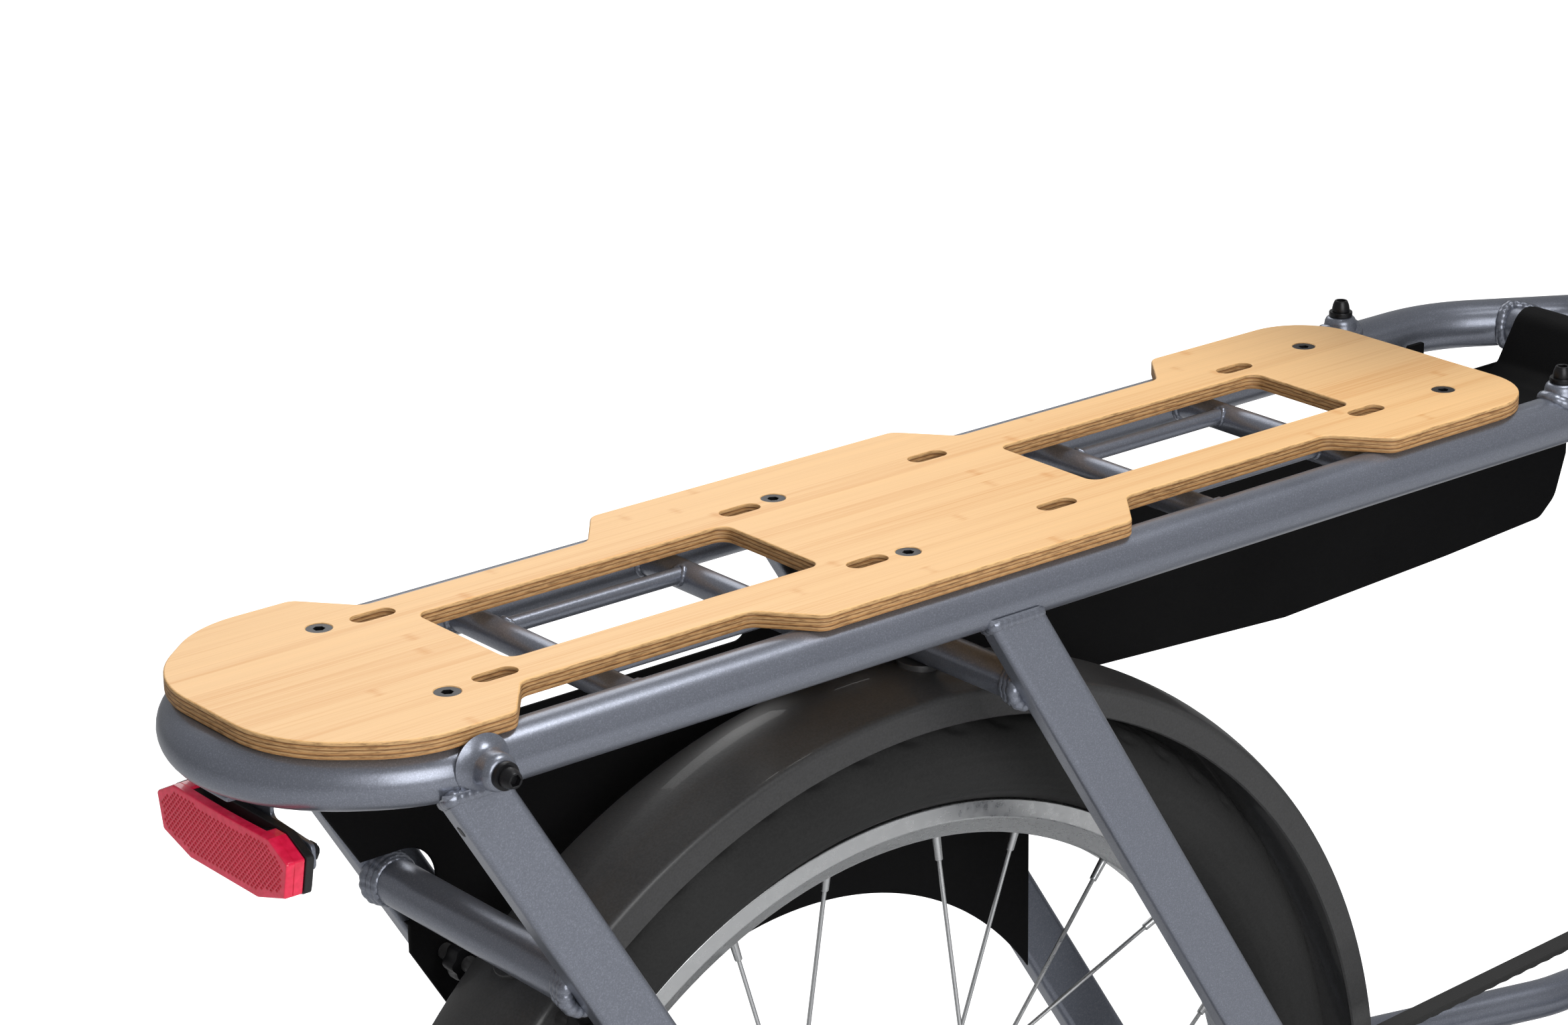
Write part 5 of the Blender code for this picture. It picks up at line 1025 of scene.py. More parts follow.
def red_lens(name):
    """Moulded red plastic: a glossy face over small prisms, each cell painted a random brightness as painted
    reflection and shade of the light that the prisms turn, with a faint painted red glow.
    """
    colour = tuple(colours().lens)
    pitch = 1.0 / sizes().prism
    # The emission is a faint painted red glow, standing in for light that the lens sends back; it is no lamp.
    material, tree, shader = new_finish(
        name, colour, 0.18, 0.0, Coat_Weight=0.6, Coat_Roughness=0.05, Specular_IOR_Level=0.5,
        Emission_Color=(0.9, 0.02, 0.09, 1.0), Emission_Strength=0.10,
    )
    cells = node(tree, "ShaderNodeTexVoronoi", voronoi_dimensions="3D", Randomness=0.12)
    cells.inputs["Scale"].default_value = 1.0
    turned = place_on(tree, (0.0, pitch, pitch), (math.radians(45.0), 0.0, 0.0))
    tree.links.new(turned, cells.inputs["Vector"])
    # Each prism cell gets a brightness picked at random, from deep shade to brighter than the lens's red:
    # painted reflection and shade of the light that each prism turns.
    painted_glint_noise = node(tree, "ShaderNodeTexWhiteNoise", noise_dimensions="3D")
    tree.links.new(cells.outputs["Position"], painted_glint_noise.inputs["Vector"])
    tone = ramp(tree, painted_glint_noise.outputs["Value"], (
        (0.0, shade(colour, 0.30)), (0.35, shade(colour, 0.7)), (0.7, colour), (1.0, (1.0, 0.11, 0.20)),
    ))
    tree.links.new(tone, shader.inputs["Base Color"])
    bump(tree, shader, cells.outputs["Distance"], 0.6, 0.0008)
    return material


def clear_red(name):
    """The clear slab of the lens and its end blocks, lighter than its prisms, with a faint painted red glow.
    """
    # The emission is a faint painted red glow, standing in for light that the lens sends back; it is no lamp.
    material, tree, shader = new_finish(
        name, (0.80, 0.010, 0.060), 0.16, 0.0, Coat_Weight=0.5, Coat_Roughness=0.04, Specular_IOR_Level=0.5,
        Emission_Color=(0.9, 0.02, 0.09, 1.0), Emission_Strength=0.12,
    )
    soft = noise(tree, place_on(tree), 240.0, 2.0)
    tone = ramp(tree, soft, ((0.3, (0.70, 0.006, 0.045)), (0.7, (0.90, 0.020, 0.085))))
    tree.links.new(tone, shader.inputs["Base Color"])
    return material


def saddle_cover(name):
    """Soft grained saddle skin with shallow pores and creases."""
    colour = tuple(colours().saddle)
    material, tree, shader = new_finish(name, colour, 0.55, 0.0, Sheen_Weight=0.15)
    spots = place_on(tree)
    cells = node(tree, "ShaderNodeTexVoronoi", feature="DISTANCE_TO_EDGE", Scale=620.0)
    tree.links.new(spots, cells.inputs["Vector"])
    cloud = noise(tree, spots, 30.0, 4.0)
    tone = ramp(tree, cloud, ((0.3, shade(colour, 0.8)), (0.7, shade(colour, 1.25))))
    tree.links.new(tone, shader.inputs["Base Color"])
    tree.links.new(spread(tree, cloud, 0.3, 0.7, 0.50, 0.62), shader.inputs["Roughness"])
    bump(tree, shader, cells.outputs["Distance"], 0.35, 0.0008)
    return material


def lamp_glass(name):
    """Clear moulded lamp cover with upright ribs, each painted lighter on its crest and darker in its groove:
    painted light and shade of the ribs.
    """
    material, tree, shader = new_finish(name, (0.78, 0.80, 0.82), 0.08, 0.0, Coat_Weight=1.0)
    ribs = node(tree, "ShaderNodeTexWave", bands_direction="Y", Scale=90.0)
    tree.links.new(place_on(tree), ribs.inputs["Vector"])
    # The band tone is painted light on each rib's crest and painted shade in its groove.
    tone = ramp(tree, ribs.outputs["Fac"], ((0.0, (0.55, 0.57, 0.60)), (1.0, (0.86, 0.88, 0.90))))
    tree.links.new(tone, shader.inputs["Base Color"])
    bump(tree, shader, ribs.outputs["Fac"], 0.5, 0.0008)
    return material


def screen_glass(name):
    """Dark glossy screen of the display."""
    material, tree, shader = new_finish(name, (0.010, 0.012, 0.015), 0.06, 0.0, Coat_Weight=1.0)
    smear = noise(tree, place_on(tree), 60.0, 3.0)
    tree.links.new(spread(tree, smear, 0.3, 0.7, 0.05, 0.12), shader.inputs["Roughness"])
    return material


# Finishes by word: the material's name, and what makes it
FINISHES = {
    "frame": ("slate_paint", painted_frame),
    "bamboo": ("bamboo_face", bamboo_face),
    "edge": ("bamboo_edge", bamboo_edge),
    "alloy": ("silver_alloy", silver_alloy),
    "disc": ("disc_steel", disc_steel),
    "lens": ("red_lens", red_lens),
    "clear_red": ("clear_red", clear_red),
    "saddle": ("saddle_cover", saddle_cover),
    "lamp": ("lamp_glass", lamp_glass),
    "screen": ("screen_glass", screen_glass),
}

# Grained finishes by word: the material's name, its colour and how bright, roughness, metal, the grain's
# scale and depth, the roughness's spread, and other sockets
GRAINED = {
    "plastic": ("matt_plastic", "plastic", 1.0, 0.50, 0.0, 1400.0, 0.0004, 0.08, {}),
    "sheet": ("black_sheet", "plastic", 0.4, 0.66, 0.0, 1400.0, 0.0004, 0.08, {"Specular_IOR_Level": 0.10}),
    "coated": ("coated_metal", "coated", 1.0, 0.34, 0.55, 2200.0, 0.0001, 0.05, {}),
    "fender": ("satin_fender", "fender", 1.0, 0.42, 0.0, 900.0, 0.0002, 0.06, {"Coat_Weight": 0.15}),
    "tyre": ("tyre_rubber", "rubber", 1.0, 0.80, 0.0, 700.0, 0.0006, 0.08, {}),
    "rubber": ("grip_rubber", "rubber", 1.0, 0.66, 0.0, 1600.0, 0.0004, 0.06, {}),
    "hub": ("hub_metal", "coated", 2.8, 0.30, 0.9, 1800.0, 0.0001, 0.06, {}),
}

# The material slot that each finish belongs to
SLOTS = {
    "frame": "frame", "bamboo": "bamboo", "edge": "bamboo", "coated": "black_steel",
    "plastic": "black_plastic", "fender": "fender", "tyre": "tyre", "rubber": "rubber", "alloy": "alloy",
    "lens": "red_lens", "clear_red": "red_lens", "saddle": "saddle", "lamp": "black_plastic",
    "screen": "black_plastic", "hub": "alloy", "disc": "alloy", "sheet": "black_plastic",
}


def finish_of(word):
    """The material of a finish, made the first time that it is asked for."""
    name = (FINISHES.get(word) or GRAINED[word])[0]
    found = bpy.data.materials.get(name)
    if found:
        return found
    if word in FINISHES:
        return FINISHES[word][1](name)
    _, colour, bright, *values, sockets = GRAINED[word]
    return grained(name, shade(getattr(colours(), colour), bright), *values, **sockets)


# Rack

def weld(curve, size=1.0, ripple=0.08):
    """A bead of the usual size along a closed curve."""
    return bead(curve, sizes().bead * size, sizes().bead_pitch, ripple)


def rail_line():
    """Centre of the rack loop, from the seat tube round the tail and back."""
    seat_x = seat_point(RAIL_Z)[0] - 0.6 * SEAT_TUBE_R
    end_y = RAIL_Y - (seat_x - RAIL_BEND_X) * math.tan(RAIL_BEND)
    left = np.array(((seat_x, end_y), (RAIL_BEND_X, RAIL_Y), (RAIL_REAR_X, RAIL_Y), TAIL_CORNER))
    points = np.concatenate([left, [(TAIL_X, 0.0)], left[::-1] * (1.0, -1.0)])
    radii = (0.0, RAIL_BEND_R, RAIL_REAR_R, TAIL_CORNER_R, 0.0, TAIL_CORNER_R, RAIL_REAR_R, RAIL_BEND_R, 0.0)
    flat = smooth_path(points, radii, 16)
    return np.column_stack([flat, np.full(len(flat), RAIL_Z)])


def boss_shape(face, way):
    """A threaded boss with a domed face, a foot flared onto the rail or a bead round it."""
    face = np.asarray(face)
    upright = way[2] > 0.0
    foot = BOSS_FOOT_R if upright else BOSS_R
    sunk = 0.004
    depth = face[2] - RAIL_TOP + sunk if upright else abs(face[1]) - RAIL_Y - sunk
    turn = np.linspace(0.0, math.pi / 2.0, 7)
    wide = 0.0026
    high = 0.0042
    dome = np.stack([BOSS_R - wide + wide * np.cos(turn), high * np.sin(turn) - high], axis=1)
    flare = []
    if not upright:
        rail_depth = abs(face[1]) - RAIL_Y - RAIL_R
        low = -rail_depth - 0.0012
        flare = [(BOSS_R + 0.0050 * (1.0 - s) ** 2, low + 0.0062 * s) for s in np.linspace(0.0, 1.0, 8)]
    profile = [(foot, -depth), *flare, *dome, (0.0034, 0.0), (0.0032, -0.004)]
    if not upright:
        return lathe(profile, face, way, 56)
    rail = np.array((face[0], math.copysign(RAIL_Y, face[1]), RAIL_Z))
    starts = ring_curve(face, way, foot - 0.0014)
    seam = line_to_tube(starts, -way, rail, AHEAD, RAIL_R)
    return join(lathe(profile, face, way, 48), weld(seam, 1.1, 0.05))


def rack_shape():
    """The rack loop: a bent tube, its cross tube, four bosses and six bolt tabs, all welded on."""
    line = rail_line()
    shapes = [tube(even_path(line, 0.006), RAIL_R, 40)]
    cross_y = RAIL_Y - (FRONT_TUBE_X - RAIL_BEND_X) * math.tan(RAIL_BEND)
    shapes.append(pin((FRONT_TUBE_X, RAIL_Z), -cross_y, cross_y, FRONT_TUBE_R, 32))
    for side in SIDES.values():
        bend = np.array((RAIL_BEND_X, side * RAIL_Y, RAIL_Z))
        along = np.array((1.0, -side * math.tan(RAIL_BEND), 0.0))
        starts = ring_curve((FRONT_TUBE_X, 0.0, RAIL_Z), LEFT, FRONT_TUBE_R)
        shapes.append(weld(line_to_tube(starts, side * LEFT, bend, along, RAIL_R)))
        end = line[0] * (1.0, side, 1.0)
        seam = tube_seam(end - 0.05 * unit(along), along, RAIL_R, seat_point(0.0), seat_way(), SEAT_TUBE_R)
        shapes.append(weld(seam))
        shapes.append(boss_shape((REAR_BOSS[0], side * REAR_BOSS[1], REAR_BOSS[2]), side * LEFT))
        shapes.append(boss_shape((FRONT_BOSS[0], side * FRONT_BOSS[1], FRONT_BOSS[2]), UP))
        for x in BOLT_X:
            start = (x, side * TAB_INNER_Y, RAIL_TOP - TAB_T / 2.0)
            end = (x, side * (RAIL_Y - 0.004), RAIL_TOP - TAB_T / 2.0)
            ring = rounded_rect(2.0 * TAB_HALF, TAB_T, 0.0008, 3)
            shapes.append(bar(start, end, ring, up=UP))
            low = RAIL_TOP - TAB_T
            y = side * (RAIL_Y - math.sqrt(RAIL_R ** 2 - (low - RAIL_Z) ** 2))
            seam = [(x - TAB_HALF, y, low), (x + TAB_HALF, y, low)]
            shapes.append(line_bead(seam, 0.0020, sizes().bead_pitch))
    return join(*shapes)


def grid_shape(first_x, second_x):
    """Two cross tubes between the rails, with two rods welded between them."""
    shapes = []
    for x in (first_x, second_x):
        reach = RAIL_Y - 0.006
        shapes.append(pin((x, GRID_Z), -reach, reach, GRID_TUBE_R))
        for side in SIDES.values():
            starts = ring_curve((x, 0.0, GRID_Z), LEFT, GRID_TUBE_R)
            rail = (x, side * RAIL_Y, RAIL_Z)
            seam = line_to_tube(starts, side * LEFT, rail, AHEAD, RAIL_R)
            shapes.append(bead(seam, 0.0019, 0.0027))
    for side in SIDES.values():
        y = side * GRID_ROD_Y
        shapes.append(rod((first_x, y, GRID_ROD_Z), (second_x, y, GRID_ROD_Z), GRID_ROD_R, sides=16))
        for x, way in ((first_x, -1.0), (second_x, 1.0)):
            starts = ring_curve(((first_x + second_x) / 2.0, y, GRID_ROD_Z), way * AHEAD, GRID_ROD_R, 40)
            tube_spot = (x, y, GRID_Z)
            seam = line_to_tube(starts, way * AHEAD, tube_spot, LEFT, GRID_TUBE_R)
            shapes.append(bead(seam, 0.0013, 0.0020))
    return join(*shapes)


def stay_line():
    """A point on the straight rear part of the left chainstay, and its direction."""
    front_z = BB[1] - STAY_FRONT_DROP
    slope = (front_z - STAY_REAR[1]) / (BB[0] - STAY_REAR[0])
    return np.array((STAY_REAR[0], STAY_Y, STAY_REAR[1])), unit((1.0, 0.0, slope))


def strut_axes(spot, lean, thickness, side):
    """The way up a strut, the way forward across it, and a point on its centre line."""
    way = np.array((-math.sin(lean), 0.0, math.cos(lean)))
    across = np.array((math.cos(lean), 0.0, math.sin(lean)))
    return way, across, np.array((spot[0], side * (STRUT_IN_Y + thickness / 2.0), spot[1]))


def strut_shape(spot, lean, thickness, side):
    """A flat oval tube cut to the rail above and the chainstay below.

    Each line of its wall runs up to the lower half of the rail, RAIL_Z - sqrt(r^2 - dy^2), but no higher
    than the flat top cut, and down to the stay. The beads follow the same cuts of a ring a little smaller,
    so that they stand only just proud of the walls.
    """
    way, across, centre = strut_axes(spot, lean, thickness, side)
    stay, stay_way = stay_line()
    cuts = []
    corner_r = 0.0035
    for inset in (0.0, 0.0026):
        ring = rounded_rect(STRUT_DEPTH - 2.0 * inset, thickness - 2.0 * inset, corner_r - inset, 6)
        base = centre + ring[:, :1] * across + ring[:, 1:] * LEFT
        over = np.sqrt(np.maximum(RAIL_R ** 2 - (base[:, 1] - side * RAIL_Y) ** 2, 0.0))
        top = base + ((RAIL_Z - np.maximum(over, 0.006) - base[:, 2]) / way[2])[:, None] * way
        foot = line_to_tube(base, -way, stay * (1.0, side, 1.0), stay_way, STAY_R)
        cuts.append((top, foot))
    (top, foot), seams = cuts
    share = np.array((-0.012, 0.0, 0.5, 1.0, 1.004))[:, None, None]
    walls = grid(foot + share * (top - foot))
    return join(walls, *(weld(even_path(seam, 0.0006, closed=True), 1.2, 0.06) for seam in seams))


def painted_drain_shade_shape(spot, lean, thickness, side):
    """A black oval disc just proud of a strut's rear face, high up: painted shade of a drain hole's inside.
    """
    way, across, centre = strut_axes(spot, lean, thickness, side)
    face = centre + DRAIN_UP * way - across * STRUT_DEPTH / 2.0
    return bar(
        face + across * 0.001, face - across * 0.0002, rounded_rect(0.0056, 0.0032, 0.0015), edge=0.0001
    )


def bridge_shape(spot, radius):
    """A round tube between the struts, welded at both ends."""
    end = STRUT_IN_Y
    shapes = [pin(spot, -end, end, radius, 36)]
    for side in SIDES.values():
        for step in (0.0004, 0.0040, 0.0072):
            seam = ring_curve((spot[0], side * (end - step), spot[1]), LEFT, radius - 0.0008)
            shapes.append(weld(seam, 1.25 - 60.0 * step, 0.10))
    return join(*shapes)


def stay_path(side):
    """Centre of a chainstay, from its tip behind the axle to the motor's bracket."""
    start, way = stay_line()
    front_x = BB[0] - MOTOR_REAR_R - BRACKET_WALL / 2.0
    corners = [
        (STAY_REAR[0], STAY_Y), (STAY_OUTER_X, STAY_Y), (STAY_INNER_X, STAY_INNER_Y), (front_x, STAY_FRONT_Y),
    ]
    flat = smooth_path(corners, (0.0, 0.08, 0.08, 0.0), 14)
    z = start[2] + (flat[:, 0] - start[0]) * way[2] / way[0]
    return np.column_stack([flat[:, 0], side * flat[:, 1], z])


def dropout_outline():
    """Side view of the plate that holds the axle."""
    x = REAR_AXLE_X
    low = STAY_REAR[1]
    corners = [
        (x - 0.050, low), (x + 0.030, low), (x + 0.050, AXLE_Z + 0.020), (x + 0.040, AXLE_Z + 0.045),
        (x - 0.012, AXLE_Z + 0.022), (x - 0.068, AXLE_Z + 0.022),
    ]
    return smooth_path(corners, (0.0, 0.0, 0.010, 0.010, 0.012, 0.0), 6, closed=True)


def chainstay_shape(side):
    """A bent stay with a domed tip, its dropout plate with the axle's hole, and their welds."""
    path = even_path(stay_path(side), 0.006)
    start, way = stay_line()
    tip = path[0]
    turn = np.linspace(0.0, math.pi / 2.0, 7)
    dome = np.column_stack([STAY_R * np.sin(turn), 0.0006 - STAY_R * 0.5 * np.cos(turn)])
    shapes = [tube(path, STAY_R, 32), lathe(np.concatenate([dome, [(STAY_R - 0.0004, 0.003)]]), tip, way, 32)]
    low, high = sorted((side * DROPOUT_Y[0], side * DROPOUT_Y[1]))
    hole = full_circle(REAR_AXLE, AXLE_R + 0.0004, 32)
    shapes.append(side_plate([dropout_outline(), hole], low, high, 0.0008))
    for edge in (low, high):
        lift = math.sqrt(max(STAY_R ** 2 - (abs(edge) - STAY_Y) ** 2, 0.0))
        ends = (REAR_AXLE_X - 0.056, REAR_AXLE_X + 0.036)
        seam = [(x, edge, start[2] + (x - start[0]) * way[2] + lift) for x in ends]
        shapes.append(line_bead(seam, 0.0020, sizes().bead_pitch))
    shapes.append(weld(ring_curve(path[-1] - unit(path[-1] - path[-2]) * 0.004, path[-1] - path[-2], STAY_R)))
    return join(*shapes)


# Deck

def deck_outline():
    """Half outline of the board, from its tail forward with its shoulders, and the same mirrored."""
    left = [(x, y) for x, y, _ in BOARD_TAIL[::-1]]
    radii = [radius for _, _, radius in BOARD_TAIL[::-1]]
    widths = (BOARD_WIDE, BOARD_NECK)
    for start, end in BOARD_SHOULDERS:
        left += [(start, widths[0]), (end, widths[1])]
        radii += [SHOULDER_R, SHOULDER_R]
        widths = widths[::-1]
    left.append((BOARD_FRONT_X, BOARD_WIDE))
    radii.append(BOARD_FRONT_R)
    right = [(x, -y) for x, y in left[::-1]]
    return smooth_path(left + right, radii + radii[::-1], 12, closed=True)


def deck_shape():
    """The board with rounded edges, cut right through by two windows, eight strap slots and six holes."""
    edge = sizes().board_edge
    loops = [deck_outline()]
    walls = [eased(-BOARD_T, 0.0, edge)]
    for start, end, half in WINDOWS:
        corners = [(start, -half), (end, -half), (end, half), (start, half)]
        loops.append(smooth_path(corners, WINDOW_R, 8, closed=True))
        walls.append(eased(-BOARD_T, 0.0, edge))
    reach = (SLOT_L - SLOT_W) / 2.0
    for x in SLOT_X:
        for y in (SLOT_Y, -SLOT_Y):
            ends = hull_outline((x - reach, y), SLOT_W / 2.0, (x + reach, y), SLOT_W / 2.0, steps=12)
            loops.append(ends)
            walls.append(eased(-BOARD_T, 0.0, 0.0003))
    head = BOLT_HEAD_R - BOLT_R
    cone = [(0.0, -head), (head * 0.5, -head * 0.5), (head - 0.0003, -0.0002), (head - 0.0001, 0.0)]
    for x in BOLT_X:
        for y in (BOLT_Y, -BOLT_Y):
            loops.append(full_circle((x, y), BOLT_R + CLEAR, 32))
            walls.append(np.array([(0.0, -BOARD_T), *cone]))
    return plate(loops, -BOARD_T, 0.0, edge, walls=walls)


def socket_rows(profile, across, depth, centre, axis):
    """A turned screw with a hexagon socket.

    The profile of radius and height is spun as circles; then rings of radius across / cos(angle within a
    side) run from the rim of the socket down its walls.
    """
    profile = np.asarray(profile, float)
    top = profile[-1, 1]
    steps = 48
    a = np.arange(steps) * math.tau / steps
    hexagon = across / np.cos((a + math.pi / 6) % (math.tau / 6) - math.pi / 6)
    radii = [np.full(steps, r) for r, _ in profile]
    heights = [h for _, h in profile]
    radii += [hexagon * 1.08, hexagon, hexagon]
    heights += [top, top - 0.0002, top - depth]
    around = ring_curve(np.zeros(3), axis, 1.0, steps)
    rows = np.stack(radii)[:, :, None] * around[None] + np.array(heights)[:, None, None] * unit(axis)
    return grid(np.asarray(centre, float) + rows)


def deck_bolt_shape(x, y):
    """A countersunk screw with a nut below the tab."""
    head = BOLT_HEAD_R
    top = -CLEAR
    profile = [
        (BOLT_R * 0.6, -0.0200), (BOLT_R, -0.0192), (BOLT_R, top - head + BOLT_R),
        (head - 0.0003, top - 0.0004), (head, top - 0.0001), (head - 0.0003, top), (SOCKET_R * 1.5, top),
    ]
    screw = socket_rows(profile, SOCKET_R, 0.0022, (x, y, 0.0), UP)
    nut_top = RAIL_TOP - TAB_T - CLEAR
    ring = circle(0.0056, 6)
    path = [(x, y, nut_top - 0.0040), (x, y, nut_top - 0.0036), (x, y, nut_top - 0.0004), (x, y, nut_top)]
    return join(screw, sweep(path, ring, LEFT, (0.90, 1.0, 1.0, 0.90)))


def boss_bolt_shape(face, way):
    """A round-headed screw with its washer, standing on a boss."""
    washer = [(0.0030, CLEAR), (0.0060, CLEAR), (0.0062, 0.0006), (0.0062, 0.0024), (0.0060, 0.0027)]
    head = [(0.0046, 0.0027), (0.0047, 0.0039), (0.0043, 0.0062), (0.0036, 0.0080), (0.0033, 0.0085)]
    shank = [(0.0018, -0.0100), (BOLT_R, -0.0090), (BOLT_R, CLEAR)]
    rim = [(SOCKET_R * 1.28, 0.0085)]
    return socket_rows(shank + washer[1:] + head + rim, SOCKET_R, 0.0026, face, way)


# Reflector, fender, skirt and guard

def reflector_loop(inset, radius, dip=0.0):
    """The lens's six-sided outline, moved in by inset, its top sinking midway by dip (0.5 + 0.5 cos)^0.5."""
    loop = np.array(REFLECTOR_FACE + tuple((-y, z) for y, z in REFLECTOR_FACE[::-1]))
    loop = shifted(loop, -inset) if signed_area(loop) < 0.0 else shifted(loop, inset)
    y = np.linspace(-REFLECTOR_DIP, REFLECTOR_DIP, 25)
    sunk = REFLECTOR_FACE[0][1] - inset - dip * (0.5 + 0.5 * np.cos(math.pi * y / REFLECTOR_DIP)) ** 0.5
    loop = np.concatenate([loop, np.column_stack([y, sunk])])
    return smooth_path(loop, [radius] * 8 + [0.0] * 25, 4, closed=True)


def stacked(stations, loop_of):
    """A closed body across X: the loop that belongs to each inset, at each distance, capped by fans."""
    rows = [np.insert(loop_of(inset), 0, x, axis=1) for inset, x in stations]
    return grid(np.stack(rows))


def lens_shape():
    """The clear red slab, and the two solid blocks that carry its ends back to the bracket."""
    front, back = REFLECTOR_X[:2]
    stations = (
        (0.0010, front + 0.0004), (0.0004, front + 0.0006), (0.0, front + 0.0014), (0.0, front + 0.0046)
    )
    shapes = [stacked(stations, lambda inset: reflector_loop(inset, LENS_CORNER_R, REFLECTOR_SINK))]
    top, side, low = REFLECTOR_FACE[:3]
    inner = 0.029
    for way in (1.0, -1.0):
        block = [(inner, top[1]), top, side, low, (inner, -0.0751)]
        outline = smooth_path(np.array(block) * (way, 1.0), 0.0009, 4, closed=True)
        centre = outline.mean(axis=0)
        walls = ((0.0, front + 0.0042), (0.0, back - 0.0005), (0.0005, back))
        shapes.append(stacked(walls, lambda inset: centre + (outline - centre) * (1.0 - inset / 0.012)))
    return join(*shapes)


def prism_shape():
    """A field of small four-sided pyramids, turned by 45 degrees, on the lens's front.

    Centres are at y = (i - j) p / sqrt 2 and z = (i + j) p / sqrt 2 from the middle; those inside the
    outline moved in by 3.4 mm are kept.
    """
    pitch = sizes().prism
    rows = np.arange(-40, 41)
    i, j = np.meshgrid(rows, rows, indexing="ij")
    step = pitch / math.sqrt(2.0)
    middle = (0.0, -0.0615)
    centres = np.column_stack([((i - j) * step).ravel(), ((i + j) * step).ravel()]) + middle
    centres = centres[within(reflector_loop(0.0034, LENS_CORNER_R, REFLECTOR_SINK), centres) == 1]
    filled = 0.985
    ways = np.array(((0.0, 0.0), (step, 0.0), (0.0, step), (-step, 0.0), (0.0, -step))) * filled
    spots = centres[:, None] + ways[None]
    front = REFLECTOR_X[0]
    depths = np.full(spots.shape[:2], front + 0.0006)
    depths[:, 0] = front - 0.0001
    points = np.concatenate([depths[..., None], spots], axis=-1).reshape(-1, 3)
    base = np.arange(len(centres))[:, None] * 5
    sides = np.array(((0, 1, 2), (0, 2, 3), (0, 3, 4), (0, 4, 1)))
    triangles = (base[:, :, None] + sides[None]).reshape(-1, 3)
    return outward((points, [triangles, base + np.array((4, 3, 2, 1))[None]]))


def housing_shape():
    """The dark tray behind the lens: a wall with a rounded back, and a floor whose top is scooped out."""
    front, back, rear = REFLECTOR_X[:3]
    wall = (
        (-0.0002, back + 0.0003), (-0.0005, back + 0.0006), (-0.0005, rear - 0.0018), (0.0012, rear - 0.0004)
    )
    shapes = [stacked((*wall, (0.0020, rear)), lambda inset: reflector_loop(inset, 0.0020))]
    half = 0.0284
    low = -0.0745
    y = np.linspace(-half, half, 25)
    scoop = REFLECTOR_FACE[0][1] - 0.0008 - 0.0055 * np.sqrt(0.5 + 0.5 * np.cos(math.pi * y / half))
    loop = np.concatenate([[(half, low), (-half, low)], np.column_stack([y, scoop])])
    shapes.append(stacked(((0.0, front + 0.0044), (0.0, back + 0.0008)), lambda inset: loop))
    return join(*shapes)


def reflector_bracket_shape():
    """A folded plate: wings behind the housing, a stem, and a foot welded under the tail of the rack."""
    rear, plate_x = REFLECTOR_X[2] + CLEAR, REFLECTOR_X[3]
    half = 0.0155
    neck = RAIL_Z - 0.004
    under = RAIL_Z - RAIL_R - 0.0004
    wing = [
        (0.046, -0.050), (0.046, -0.062), (0.020, -0.066), (-0.020, -0.066), (-0.046, -0.062),
        (-0.046, -0.050),
    ]
    stem = [(-half, -0.048), (-half, neck), (half, neck), (half, -0.048)]
    radii = (0.003, 0.004, 0.004, 0.004, 0.004, 0.003, 0.003, 0.001, 0.001, 0.003)
    loop = smooth_path(wing + stem, radii, 5, closed=True)
    shapes = [cross_plate([loop], rear, plate_x, 0.0005)]
    nuts = []
    low = (TAIL_X - 0.003, plate_x - 0.0004)
    middle = (low[0] + low[1]) / 2.0
    path = [(middle, -half, under), (middle, half, under)]
    ring = rounded_rect(low[1] - low[0], 0.0026, 0.0008, 3)
    shapes.append(bar(*path, ring, up=UP))
    for side in SIDES.values():
        y, z = side * REFLECTOR_BOLT[0], REFLECTOR_BOLT[1]
        seam = [(TAIL_X + 0.004, side * half, under), (plate_x - 0.001, side * half, under)]
        shapes.append(line_bead(seam, 0.0016, 0.0034))
        nuts.append(rod((plate_x - 0.0006, y, z), (plate_x + 0.0009, y, z), 0.0056, sides=32, edge=0.0003))
        steps = [(plate_x + d, y, z) for d in (0.0007, 0.0012, 0.0034, 0.0038)]
        nuts.append(sweep(steps, circle(0.0042, 6), UP, (1.0, 1.0, 1.0, 0.88)))
        nuts.append(rod((plate_x, y, z), (plate_x + 0.0052, y, z), 0.0020, sides=20))
    return join(*shapes), join(*nuts)


def fender_section():
    """Half-round lips and a crown: radius FENDER_R + crown (1 - s^2) across, closed by the same moved in."""
    s = np.linspace(-1.0, 1.0, 21)
    crown = np.column_stack([FENDER_R + FENDER_CROWN * (1.0 - s ** 2), s * FENDER_HALF])
    lip = FENDER_R - FENDER_LIP
    outer = np.concatenate([[(lip, -FENDER_HALF - 0.0005)], crown, [(lip, FENDER_HALF + 0.0005)]])
    outer = smooth_path(outer, [0.0, 0.004] + [0.0] * 19 + [0.004, 0.0], 5)
    way = unit(np.gradient(outer, axis=0))
    inner = outer + np.column_stack([-way[:, 1], way[:, 0]]) * FENDER_T
    past = (-0.0007, 0.0)
    rim = 0.5 * (outer[-1] + inner[-1]) + past
    first = 0.5 * (outer[0] + inner[0]) + past
    return np.concatenate([outer, [rim], inner[::-1], [first]])


def about_axle(centre, radius, width, a):
    """Points at a radius and a width about an axle, at angles a."""
    x = centre[0] + radius * np.cos(a)
    return np.stack([x, np.broadcast_to(width, x.shape), centre[1] + radius * np.sin(a)], axis=-1)


def fender_shape(centre, span):
    """The crowned strip over part of the wheel, from one angle to another."""
    section = fender_section()
    a = np.linspace(*span, 121)[:, None]
    return grid(about_axle(centre, section[None, :, 0], section[None, :, 1], a))


